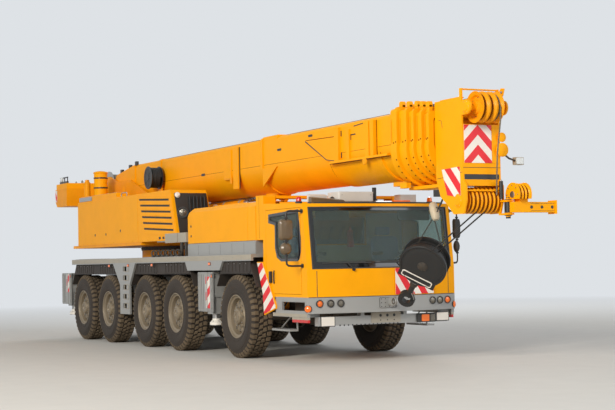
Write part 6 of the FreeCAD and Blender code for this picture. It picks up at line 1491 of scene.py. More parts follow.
@dataclass
class CabRear:
    """Air intake, exhaust and pipes in the gap between cab and engine cover, and the cab's tilt rams."""

    def build(self) -> None:
        """Make the pieces behind the cab."""
        shape = Shape("intake_and_exhaust", BLACK_PLASTIC)
        for y in (-0.85, 0.85):
            shape.use(BLACK_PLASTIC).plate(facing((0, 0, 1.99), TOP), rounded((0.60, 0.80), (y - 0.2, y + 0.2), 0.05), 0.0, 0.42)
            for n in range(9):
                z = 2.05 + 0.038 * n
                shape.box((0.798, 0.806), (y - 0.16, y + 0.16), (z, z + 0.016))
        shape.use(STEEL).turned((0.71, -0.40, 1.8), (0, 0, 1), [(0.0, 0.0), (0.0, 0.07), (0.70, 0.07), (0.72, 0.062),
                                                                (0.72, 0.055), (0.6, 0.0)], 26)
        for y in (-0.2, 0.0, 0.2, 0.4):
            shape.use(HOSE).tube([(0.62, y, 1.80), (0.64, y, 2.0), (0.68, y + 0.02, 2.16), (0.74, y + 0.02, 2.2),
                                  (0.84, y, 2.18)], 0.014)
        shape.use(CHROME).rod((0.70, 0.58, 1.80), (0.78, 0.58, 2.3), 0.022, 16)
        shape.use(BLACK_PAINT).rod((0.685, 0.58, 1.76), (0.735, 0.58, 2.02), 0.038, 18)
        shape.piece("carrier", bevel=0.003, slot="black_plastic")


# Superstructure

@dataclass
class HousingDetails:
    """Louvres, holes, seams, grips, lamps and boxes on the side housings, the table and the tail."""

    side_y: float = 1.351
    cover: Sequence[Sequence[float]] = ((-10.58, -9.78), (-1.33, 1.33), (3.41, 3.545))
    louvres: int = 6
    louvre_top: tuple[float, float] = (-4.93, -3.33)
    louvre_low: tuple[float, float] = (-4.68, -3.11)
    louvre_z: tuple[float, float] = (2.335, 2.925)
    panel: Outline = ((-5.03, 3.0), (-4.77, 2.23), (-2.985, 2.15), (-3.235, 2.95))

    def panels(self, shape: Shape) -> None:
        """Dark louvre slots with pressed hoods, small holes, hinges and bolts of the right housing."""
        plane = wall(Side.RIGHT, 1.35)
        shape.use(YELLOW).plate(plane, self.panel, -0.002, 0.008)
        for n in range(self.louvres):
            share = n / max(1, self.louvres - 1)
            x0, x1 = (low + (top - low) * share for low, top in zip(self.louvre_low, self.louvre_top))
            z = self.louvre_z[0] + (self.louvre_z[1] - self.louvre_z[0]) * share
            drop = 0.045 * (x1 - x0)
            shape.use(BLACK_PLASTIC).plate(plane, [(x0, z - 0.022), (x1, z - drop - 0.022), (x1, z - drop + 0.022),
                                                   (x0, z + 0.022)], 0.0, 0.0095)
            shape.use(YELLOW).loft([[plane.at((x, h + rise), d) for rise, d in ((0.018, 0.007), (0.036, 0.007),
                                                                                (0.026, 0.024), (0.016, 0.024))]
                                    for x, h in ((x0 - 0.01, z), (x1 + 0.01, z - drop))])
        for x, z in ((-7.73, 2.28), (-7.02, 2.28), (-6.1, 2.33)):
            shape.use(BLACK_PAINT).turned(plane.at((x, z)), plane.out, [(-0.004, 0.0), (-0.004, 0.024), (0.002, 0.03),
                                                                       (0.004, 0.026), (0.001, 0.018), (0.0, 0.0)], 20)
        shape.use(SILL_YELLOW).bolts([plane.at((-8.86 + 0.29 * n, 2.10)) for n in range(20)], plane.out, 0.009, 0.006)
        shape.bolts([plane.at((-8.86 + 0.29 * n, 3.0)) for n in range(13)], plane.out, 0.009, 0.006)
        shape.use(PALE_GREY).box((-3.52, -2.90), (-1.37, -1.35), (2.02, 2.20))
        shape.use(CHROME).rod((-8.5, -1.30, 2.045), (-6.2, -1.30, 2.045), 0.022, 16)
        shape.use(DARK_STEEL).boxes([((x, x + 0.05), (-1.325, -1.275), (2.02, 2.075)) for x in (-8.5, -7.4, -6.25)])

    def top(self, shape: Shape) -> None:
        """White filler cap, shiny grip plate, upright filter's bands and the lamp bracket."""
        shape.use(WHITE).turned((-3.19, -1.24, 2.925), (1, 0, 0.33), [(0.0, 0.0), (0.0, 0.055), (0.03, 0.055), (0.04, 0.045),
                                                                     (0.06, 0.04), (0.07, 0.03), (0.07, 0.0)], 28)
        shape.use(STEEL).box((-8.86, -8.0), (-1.333, -1.319), (3.05, 3.14))
        shape.use(SILL_YELLOW).turned((-8.72, -1.19, 3.15), (0, 0, 1), [(0.0, 0.0), (0.0, 0.07), (0.34, 0.07), (0.36, 0.05),
                                                                       (0.40, 0.045), (0.41, 0.0)], 24)
        shape.use(STEEL).plate(facing((0, 0, 3.151), TOP), bar((-8.84, -6.42), (-1.31, -1.06)), 0.0, 0.004)
        for n in range(47):
            for row in range(4):
                x, y = -8.80 + 0.05 * n, -1.28 + 0.062 * row
                turn = 0.012 if (n + row) % 2 else -0.012
                shape.tube([(x - 0.013, y - turn, 3.156), (x + 0.013, y + turn, 3.156)], 0.0028, 4)
        at = (-8.46, -0.96, 3.04)
        for low in (0.08, 0.30, 0.52):
            shape.use(BLACK_PAINT).turned(at, (0, 0, 1), [(low, 0.150), (low, 0.158), (low + 0.03, 0.158), (low + 0.03, 0.150)],
                                          30, closed=True)
        shape.use(YELLOW).turned(at, (0, 0, 1), [(0.638, 0.0), (0.638, 0.162), (0.66, 0.165), (0.675, 0.15), (0.69, 0.09),
                                                 (0.70, 0.0)], 30)
        for y in (-0.66, -1.28):
            shape.use(STEEL).tube([(-6.2, y, 3.035), (-6.2, y, 3.10), (-6.17, y, 3.12), (-5.9, y, 3.12), (-5.87, y, 3.10),
                                   (-5.87, y, 3.035)], 0.011, 8)

    def box_and_rings(self, shape: Shape) -> None:
        """Grey locker on the deck's right side of the table, and the table's edge plates."""
        shape.use(PALE_GREY).plate(facing((0, 0, 2.045), TOP), rounded((-4.06, -2.95), (-1.33, -1.05), 0.02), 0.0, 0.03)
        shape.use(BLACK_PLASTIC)
        for n in range(5):
            shape.box((-3.9 + 0.2 * n, -3.8 + 0.2 * n), (-1.352, -1.346), (2.10, 2.15))

    def ahead(self, shape: Shape) -> None:
        """Dark machinery and hoses between the right housing's front and the luffing cylinder, and a black sheet of
        painted shade in the gap there.
        """
        shape.use(DARK_STEEL).box((-4.86, -4.30), (-0.48, 0.48), (2.10, 2.30))
        for n in range(6):
            y = -0.42 + 0.06 * n
            shape.use(HOSE).tube([(-4.6, y, 2.25), (-4.9, y - 0.02, 2.55), (-5.3, y, 2.62), (-5.62, y * 0.8, 2.5)], 0.017, 10)
        # A black sheet of painted shade across the gap in front of the right housing.
        front = [(-2.9 - 0.33 * (z - 2.07), z) for z in (2.14, 2.97)]
        shape.use(BLACK_PAINT).slab([(x + d, z) for (x, z), d in zip((*front, *reversed(front)), (0.0, 0.0, 0.012, 0.012))],
                                    (-1.30, -0.64))
        for n in range(5):
            shape.use(HOSE).tube([(x + 0.03 + 0.01 * (n % 2), -0.70 - 0.075 * n - 0.02 * k, z)
                                  for k, (x, z) in enumerate(zip((-3.17, -3.10, -3.02, -2.95), (2.9, 2.66, 2.42, 2.18)))], 0.018, 10)
        lamp, ahead = (-3.06, -1.18, 2.59), (1, -0.35, 0)
        shape.use(BLACK_PLASTIC).turned(lamp, ahead, [(-0.03, 0.0), (-0.03, 0.11), (0.05, 0.11), (0.06, 0.092), (0.045, 0.08),
                                                      (0.045, 0.0)], 28)
        shape.use(LAMP_LENS).turned(lamp, ahead, [(0.04, 0.0), (0.04, 0.08), (0.05, 0.06), (0.056, 0.0)], 26)
        ring = Shape("slewing_ring_bolts", DARK_STEEL)
        ring.turned((-6.10, 0, 1.915), (0, 0, 1), [(0.0, 0.80), (0.0, 0.834), (0.08, 0.834), (0.08, 0.80)], 72, closed=True)
        for n in range(48):
            t = 2 * math.pi * n / 48
            ring.use(BLACK_PAINT).bolts([(-6.10 + 0.834 * math.cos(t), 0.834 * math.sin(t), 1.955)],
                                        (math.cos(t), math.sin(t), 0), 0.014, 0.012)
        ring.piece("superstructure")
        shape.use(BLACK_PAINT)
        for x, z in ((-6.9, 2.75), (-6.5, 2.9)):
            shape.tube([(x, -0.56, z), (x + 0.2, -0.575, z - 0.14), (x + 0.7, -0.575, z - 0.18), (x + 1.1, -0.56, z - 0.3)], 0.016)

    def tail(self, shape: Shape) -> None:
        """Lamp bracket, rails, lifting eyes and seams of the tail box."""
        top = self.cover[2][1]
        shape.use(YELLOW).box(*self.cover)
        shape.use(BLACK_PAINT).box((-10.42, -9.86), (-1.30, -1.26), (top, top + 0.05))
        for x in (-10.4, -10.1, -9.88):
            shape.rod((x, -1.28, top), (x, -1.28, top + 0.14), 0.013, 10)
        shape.rod((-10.42, -1.28, top + 0.14), (-9.86, -1.28, top + 0.14), 0.014, 12)
        shape.use(CLEAR_LENS).turned((-10.25, -1.28, top + 0.1), (0, -1, 0), [(0.0, 0.0), (0.0, 0.06), (0.04, 0.06),
                                                                              (0.05, 0.0)], 22)
        shape.use(STEEL)
        for y in (-0.9, 0.9):
            for x in (-10.4, -9.95):
                shape.hoop((x, y, top + 0.02), (0, 1, 0), 0.045, 0.014, 22)
        shape.use(DARK_STEEL)
        for y in (-0.45, 0.0, 0.45):
            shape.box((-10.604, -10.60), (y - 0.004, y + 0.004), (3.14, 3.41))
            shape.box((-10.57, -9.79), (y - 0.004, y + 0.004), (top - 0.001, top + 0.003))
        shape.use(STEEL).bolts([(-10.6, -1.2 + 0.24 * n, 3.16) for n in range(11)], (-1, 0, 0), 0.016, 0.012)
        for side in (-1, 1):
            shape.use(BLACK_PLASTIC).plate(facing((-10.601, 0, 0), REAR), rounded(
                (side * 0.66 - 0.11, side * 0.66 + 0.11), (3.2, 3.33), 0.02), 0.0, 0.02)
            shape.use(RED_LENS).plate(facing((-10.601, 0, 0), REAR), rounded(
                (side * 0.66 - 0.095, side * 0.66 + 0.095), (3.215, 3.315), 0.02), 0.018, 0.03)

    def left(self, shape: Shape) -> None:
        """Filler, gauge, steps and grips of the left tank."""
        plane = wall(Side.LEFT, self.side_y - 0.001)
        for x in (-8.2, -7.0):
            shape.use(DARK_STEEL).plate(plane, wall_points(Side.LEFT, bar((x, x + 0.01), (2.09, 2.88))), 0.0, 0.003)
        shape.use(STEEL).turned((-7.6, 1.0, 2.90), (0, 0, 1), [(0.0, 0.0), (0.0, 0.09), (0.03, 0.09), (0.04, 0.07),
                                                               (0.06, 0.07), (0.07, 0.0)], 26)
        shape.use(BLACK_PLASTIC).plate(plane, wall_points(Side.LEFT, rounded((-6.6, -6.5), (2.3, 2.7), 0.02)), 0.0, 0.01)
        shape.use(CLEAR_LENS).plate(plane, wall_points(Side.LEFT, rounded((-6.575, -6.525), (2.33, 2.67), 0.02)), 0.009, 0.014)
        for z in (2.25, 2.55):
            shape.use(STEEL).tube([plane.at(p, d) for p, d in zip(wall_points(Side.LEFT, [
                (-8.8, z), (-8.8, z), (-8.4, z), (-8.4, z)]), (0.0, 0.06, 0.06, 0.0))], 0.013, 8)

    def build(self) -> None:
        """Make the superstructure's fixed pieces."""
        for name, draw in (("right_housing_panels", self.panels), ("right_housing_top", self.top),
                           ("locker_and_rings", self.box_and_rings), ("machinery_gap", self.ahead),
                           ("tail_box_details", self.tail), ("left_tank_details", self.left)):
            shape = Shape(name, YELLOW)
            draw(shape)
            shape.piece("superstructure", bevel=0.0015)


@dataclass
class WinchAndReel:
    """Rope on the winch drum, drum flanges' bolts, and the hose reel with its wound hoses."""

    winch: tuple[float, float] = (-9.23, 3.48)
    reel: tuple[float, float] = (-5.88, 3.43)
    rope_r: float = 0.011

    def build(self) -> None:
        """Make the drum's rope and the reel."""
        x, z = self.winch
        rope = Shape("rope_on_drum", ROPE)
        turns, steps = 36, 36
        path = []
        for n in range(turns * steps + 1):
            t, y = 2 * math.pi * n / steps, -0.455 + 0.91 * n / (turns * steps)
            path.append((x + 0.224 * math.cos(t), y, z + 0.224 * math.sin(t)))
        rope.tube(path, 0.0135, 6)
        rope.piece("winch_drum", slot="chrome_rod")
        drum = Shape("drum_flange_details", STEEL)
        for side in (-1, 1):
            drum.use(SILL_YELLOW).turned((x, side * 0.475, z), (0, side, 0), [
                (0.0, 0.23), (0.0, 0.298), (0.012, 0.298), (0.016, 0.27), (0.012, 0.23)], 40, closed=True)
            drum.use(STEEL).bolts([(x + 0.13 * math.cos(t), side * 0.502, z + 0.13 * math.sin(t))
                                   for t in (n * math.pi / 5 for n in range(10))], (0, side, 0), 0.012)
        drum.piece("winch_drum", bevel=0.001)
        x, z = self.reel
        reel = Shape("hose_reel_wound", BLACK_PAINT)
        for y in (-0.56, -0.80):
            reel.use(BLACK_PAINT).turned((x, y, z), (0, 1, 0), [(-0.008, 0.19), (-0.008, 0.238), (0.0, 0.2395), (0.008, 0.238),
                                                                (0.008, 0.19)], 44, closed=True)
            reel.turned((x, y, z), (0, 1, 0), [(-0.003, 0.0), (-0.003, 0.2), (0.003, 0.2), (0.003, 0.0)], 44)
            for n in range(8):
                t = n * math.pi / 4
                reel.tube([(x + r * math.cos(t), y, z + r * math.sin(t)) for r in (0.05, 0.13, 0.2)], 0.008, 8)
            reel.turned((x, y, z), (0, 1, 0), [(-0.012, 0.0), (-0.012, 0.055), (0.012, 0.055), (0.012, 0.0)], 24)
        reel.rod((x, -0.55, z), (x, -0.804, z), 0.03, 20)
        for row in range(3):
            radius = 0.135 + 0.032 * row
            path = []
            for n in range(6 * 32 + 1):
                t, y = 2 * math.pi * n / 32, -0.585 - 0.19 * n / (6 * 32)
                path.append((x + radius * math.cos(t), y, z + radius * math.sin(t)))
            reel.use(HOSE).tube(path, 0.0155, 7)
        made = reel.piece("superstructure", slot="black_paint")
        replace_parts(made, "hose_reel")


# Boom

@dataclass
class BoomDetails:
    """Bolts, slots, stepped plates, brackets and rope guides along the boom, and the hoist rope."""

    half_w: float = 0.48
    step: float = 0.032
    collars: Sequence[tuple[float, float]] = ((3.70, 3.90), (3.906, 4.13), (4.136, 4.28), (4.286, 4.45), (4.456, 4.60))
    rope_y: float = 0.12
    rope_z: float = 3.931
    foot: Outline = ((-7.5, 3.82), (-8.70, 3.66), (-8.86, 3.50), (-8.84, 3.30), (-8.5, 2.95), (-7.5, 2.9))

    def trough(self, inset: float, turn: float, drop: float = 0.0) -> tuple[float, float]:
        """A point (y, z) on the rounded lower half, by its angle from straight down."""
        w, low = self.half_w - inset, 2.85 + inset - drop
        deep = 3.35 - low
        radius = (w * w + deep * deep) / (2 * deep)
        return radius * math.sin(turn), low + radius - radius * math.cos(turn)

    @staticmethod
    def strip(shape: Shape, x: Sequence[float], turns: Sequence[float], thick: float) -> None:
        """Raised strip on the base section's rounded lower half, between two angles from straight down.

        Args:
            shape: The piece that gets the strip.
            x: Where the strip starts and ends along the boom.
            turns: Its first and last angle in degrees, positive on the right.
            thick: How far it stands out.
        """
        steps = max(2, round(abs(turns[1] - turns[0]) / 6))
        angles = [math.radians(turns[0] + (turns[1] - turns[0]) * n / steps) for n in range(steps + 1)]
        arc = [(t, 0.4804 + thick) for t in angles] + [(t, 0.4784) for t in reversed(angles)]
        shape.loft([[(px, -r * math.sin(t), 3.330 - r * math.cos(t)) for t, r in arc] for px in x])

    def collar(self, number: int) -> None:
        """Bolt rows, their heads in painted shade brown, seam lines and top plates of one collar."""
        x0, x1 = self.collars[number]
        inset = self.step * number - 0.058
        body = "boom_base" if number == 0 else "boom_section_%d" % number
        shape = Shape("collar_fittings_%d" % number, STEEL)
        w, low = self.half_w - inset + 0.016, 2.85 + inset - 0.016 - 0.09
        deep = 3.35 - low
        radius = (w * w + deep * deep) / (2 * deep)
        reach = math.asin(min(1.0, w / radius))
        # Bolt heads along the collar's rounded lower edge, painted in shade brown.
        for n in range(15):
            turn = reach * (-0.94 + 1.88 * n / 14)
            out = Vector((0, math.sin(turn), -math.cos(turn)))
            at = Vector((x1 - 0.03, radius * math.sin(turn), low + radius - radius * math.cos(turn)))
            shape.use(PAINTED_SHADE_LINE).bolts([at], out, 0.012, 0.009)
        for side in (-1, 1):
            y = side * (w - 0.016)
            # Side bolt heads, also painted in shade brown.
            shape.use(PAINTED_SHADE_LINE).bolts([(x1 - 0.03, side * w, 3.37), ((x0 + x1) / 2 - 0.02, y, 3.36)], (0, side, 0), 0.012, 0.008)
            shape.use(SILL_YELLOW).box((x0 + 0.015, x0 + 0.035), sorted((y, y + side * 0.012)), (3.36, 3.72))
            lug = x0 + 0.03
            shape.use(YELLOW).slab([(lug, 3.87 - inset * 0.6), (lug + 0.085, 3.87 - inset * 0.6), (lug + 0.085, 3.93 - inset * 0.6),
                                    (lug + 0.065, 3.955 - inset * 0.6), (lug + 0.02, 3.955 - inset * 0.6),
                                    (lug, 3.93 - inset * 0.6)], sorted((side * 0.33, side * 0.40)))
            shape.slab([(lug, 3.80 - inset), (lug + 0.085, 3.80 - inset), (lug + 0.085, 3.90 - inset * 0.6),
                        (lug, 3.90 - inset * 0.6)], sorted((side * 0.34, side * 0.39)))
            shape.use(YELLOW).box((x0 + 0.02, x1 - 0.05), sorted((side * 0.30, side * 0.40)),
                                  (3.822 - inset - 0.002, 3.822 - inset + 0.018))
            shape.use(BLACK_PAINT).box((x0 + 0.04, x1 - 0.07), sorted((side * 0.10, side * 0.15)),
                                       (3.822 - inset - 0.002, 3.822 - inset + 0.006))
        shape.piece(body, bevel=0.0015)

    def stretch(self, name: str, start: Vector, end: Vector, bodies: tuple[str, str]) -> None:
        """Length of hoist rope that reaches from one body to the next, made in place and on no body."""
        shape = Shape(name, ROPE)
        shape.tube([start.lerp(end, n / 12) for n in range(13)], 0.011, 8)
        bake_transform(shape.made(slot="chrome_rod"))
        LOG.info("%s reaches from %s to %s", name, *bodies)

    def rope(self) -> None:
        """Hoist rope over the boom: along the base, then one length from each collar to the next."""
        y, z = self.rope_y, self.rope_z
        bodies = ["superstructure", "boom_base"] + ["boom_section_%d" % n for n in range(1, 6)]
        ends = [Vector((-9.15, 0.05, 3.73)), Vector((-7.5, y, z))] + [Vector((x, y, z)) for _, x in self.collars]
        ends.append(Vector((5.43, y, z)))
        fixed = Shape("hoist_rope_base", ROPE)
        fixed.rod(ends[1], ends[2], 0.011, 8)
        fixed.piece("boom_base", slot="chrome_rod")
        self.stretch("hoist_rope_lead", ends[0], ends[1], (bodies[0], bodies[1]))
        for number in range(1, 6):
            self.stretch("hoist_rope_%d" % number, ends[number + 1], ends[number + 2],
                         (bodies[number], bodies[number + 1]))
        for number, (_, front) in enumerate(self.collars):
            shape = Shape("rope_guide_%d" % number, DARK_STEEL)
            low, x = 3.822 - self.step * number + 0.056, front - 0.05
            for side in (-0.04, 0.04):
                shape.box((x - 0.03, x + 0.03), (y + side - 0.006, y + side + 0.006), (low, z + 0.03))
            shape.rod((x, y - 0.04, z + 0.022), (x, y + 0.04, z + 0.022), 0.009, 10)
            shape.piece(bodies[number + 1])

    def base(self) -> None:
        """Slots, ribs' recesses, stepped plate, channel, name-plate blanks and hose clips of the base section, with
        lines of painted shade beside a rib, along the bend and under the shelf.
        """
        shape = Shape("base_section_fittings", SILL_YELLOW)
        plane = wall(Side.RIGHT, 0.48)
        dark = shape.use(BLACK_PAINT)
        for x0, x1, z0, z1 in ((-3.78, -3.60, 3.33, 3.38), (-0.34, -0.18, 3.56, 3.60), (0.86, 1.02, 3.70, 3.74)):
            dark.plate(plane, rounded((x0, x1), (z0, z1), 0.018), -0.001, 0.003)
        shape.use(SILL_YELLOW).plate(plane, [(-2.62, 3.18), (-2.36, 3.18), (-2.36, 3.10), (-2.28, 3.10), (-2.28, 3.20),
                                             (-2.40, 3.22), (-2.62, 3.22)], 0.0, 0.02)
        shape.use(BLACK_PAINT).plate(plane, bar((-1.945, -1.925), (2.99, 3.76)), 0.0, 0.012)
        shape.plate(plane, bar((-2.20, -2.185), (2.99, 3.76)), 0.0, 0.006)
        shape.plate(wall(Side.RIGHT, 0.507), [(0.80, 3.62), (1.55, 3.262), (1.85, 3.225), (1.85, 3.235), (1.56, 3.275),
                                              (0.80, 3.645)], 0.0, 0.002)
        for z in (3.31, 3.66):
            shape.use(BLACK_PAINT).plate(plane, rounded((2.01, 2.045), (z - 0.05, z + 0.05), 0.014), 0.0, 0.003)
        # Lines of painted shade: upright beside a rib, thin along the side, along the bend of the lower half and under
        # the shelf.
        shape.use(PAINTED_SHADE_LINE).plate(plane, bar((3.175, 3.19), (3.23, 3.77)), 0.0, 0.006)
        shape.plate(wall(Side.RIGHT, 0.506), [(0.82, 3.640), (1.85, 3.620), (1.85, 3.632), (0.82, 3.652)], 0.0, 0.002)
        shape.plate(plane, bar((-7.4, 3.62), (3.347, 3.353)), -0.001, 0.001)
        shape.box((1.78, 3.62), (-0.571, -0.49), (3.178, 3.186))
        shape.use(BLACK_PAINT).plate(plane, [(2.45, 3.733), (2.75, 3.751), (2.75, 3.766), (2.45, 3.748)], 0.0, 0.004)
        shape.plate(plane, bar((2.34, 2.50), (3.60, 3.62)), 0.0, 0.004)
        shape.plate(plane, bar((2.34, 2.36), (3.53, 3.62)), 0.0, 0.004)
        for n in range(4):
            self.strip(shape, (2.50 + 0.27 * n, 2.62 + 0.27 * n), (38.0, 41.5), 0.003)
        shape.use(SILL_YELLOW).turned((2.93, -0.56, 3.15), (0, -1, 0), [(0.0, 0.0), (0.0, 0.06), (0.02, 0.05), (0.024, 0.0)], 20)
        out = Vector((0, -math.sin(math.radians(34)), -math.cos(math.radians(34))))
        shape.use(BLACK_PAINT).turned(Vector((3.36, 0, 3.330)) + out * 0.4804, out, [
            (-0.004, 0.0), (-0.004, 0.045), (0.004, 0.045), (0.004, 0.03), (0.001, 0.028), (0.001, 0.0)], 22)
        # Bands of painted shade round the lower half at the ribs.
        for x in (1.60, 1.69, 3.27):
            self.strip(shape.use(PAINTED_SHADE_LINE), (x, x + 0.014), (-82.0, 82.0), 0.004)
        for side in (-1, 1):
            shape.use(YELLOW).slab(self.foot, sorted((side * 0.478, side * 0.498)))
            for x, z in ((-7.45, 3.82), (-7.85, 3.77), (-8.4, 3.70)):
                shape.use(BLACK_PAINT).box((x - 0.05, x + 0.05), sorted((side * 0.44, side * 0.496)), (z - 0.02, z + 0.07))
        shape.use(YELLOW).box((3.72, 4.55), (-0.25, 0.10), (2.655, 2.704))
        for k in range(2):
            z = 3.79 - 0.03 * k
            shape.use(HOSE).tube([(-7.4, 0.487, z), (-3.0, 0.487, z + 0.01), (3.6, 0.487, z)], 0.012, 8)
        for n in range(14):
            x = -7.2 + 0.8 * n
            shape.use(DARK_STEEL).box((x, x + 0.04), (0.478, 0.502), (3.74, 3.81))
        shape.use(SILL_YELLOW).box((3.24, 3.66), (-0.24, 0.24), (2.735, 2.80))
        shape.use(YELLOW)
        for y in (-0.40, 0.32):
            shape.box((3.705, 3.895), (y, y + 0.08), (2.68, 2.76))
        shape.piece("boom_base", bevel=0.002)

    def build(self) -> None:
        """Make the boom's fittings and its rope."""
        for number in range(5):
            self.collar(number)
        self.base()
        self.rope()


@dataclass
class SheaveSet:
    """Cast sheaves with webs, holes and hubs on one pin of the boom head."""

    name: str
    pin: tuple[float, float]
    radius: float
    count: int
    pitch: float
    groove: float
    finish: Finish
    roped: Sequence[int] = ()

    def build(self) -> None:
        """Make the sheaves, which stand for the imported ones."""
        shape = Shape(self.name + "_cast", self.finish)
        x, z = self.pin
        r, g, h = self.radius, self.groove, self.pitch / 2
        for n in range(self.count):
            y = (n - (self.count - 1) / 2) * self.pitch
            shape.use(self.finish).turned((x, y, z), (0, 1, 0), [
                (-h, 0.046), (-h, 0.085), (-h * 0.35, 0.105), (-h * 0.3, r - g - 0.035), (-h * 0.75, r - g - 0.01),
                (-h * 0.98, r), (-h * 0.8, r), (-0.011, r - g), (0.011, r - g), (h * 0.8, r), (h * 0.98, r),
                (h * 0.75, r - g - 0.01), (h * 0.3, r - g - 0.035), (h * 0.35, 0.105), (h, 0.085), (h, 0.046)],
                48, closed=True)
            # Each groove's floor is a hoop of rope where a rope runs, and otherwise a hoop of painted shade.
            shape.use(ROPE if n in self.roped else PAINTED_SHADE_LINE).hoop((x, y, z), (0, 1, 0), r - g + 0.008, 0.0105, 44)
            if n in (0, self.count - 1):
                face = -h * 0.3 if n == 0 else h * 0.3
                for k in range(6):
                    t = k * math.pi / 3 + 0.3
                    mid = (0.105 + r - g - 0.035) / 2
                    if r - g - 0.035 - 0.105 > 0.03:
                        shape.use(BLACK_PAINT).turned((x + mid * math.cos(t), y + face, z + mid * math.sin(t)),
                                                      (0, 1 if face > 0 else -1, 0),
                                                      [(-0.001, 0.0), (-0.001, 0.017), (0.0012, 0.017), (0.0012, 0.0)], 16)
        made = shape.piece(self.name, slot="yellow_paint")
        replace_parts(made, self.name)


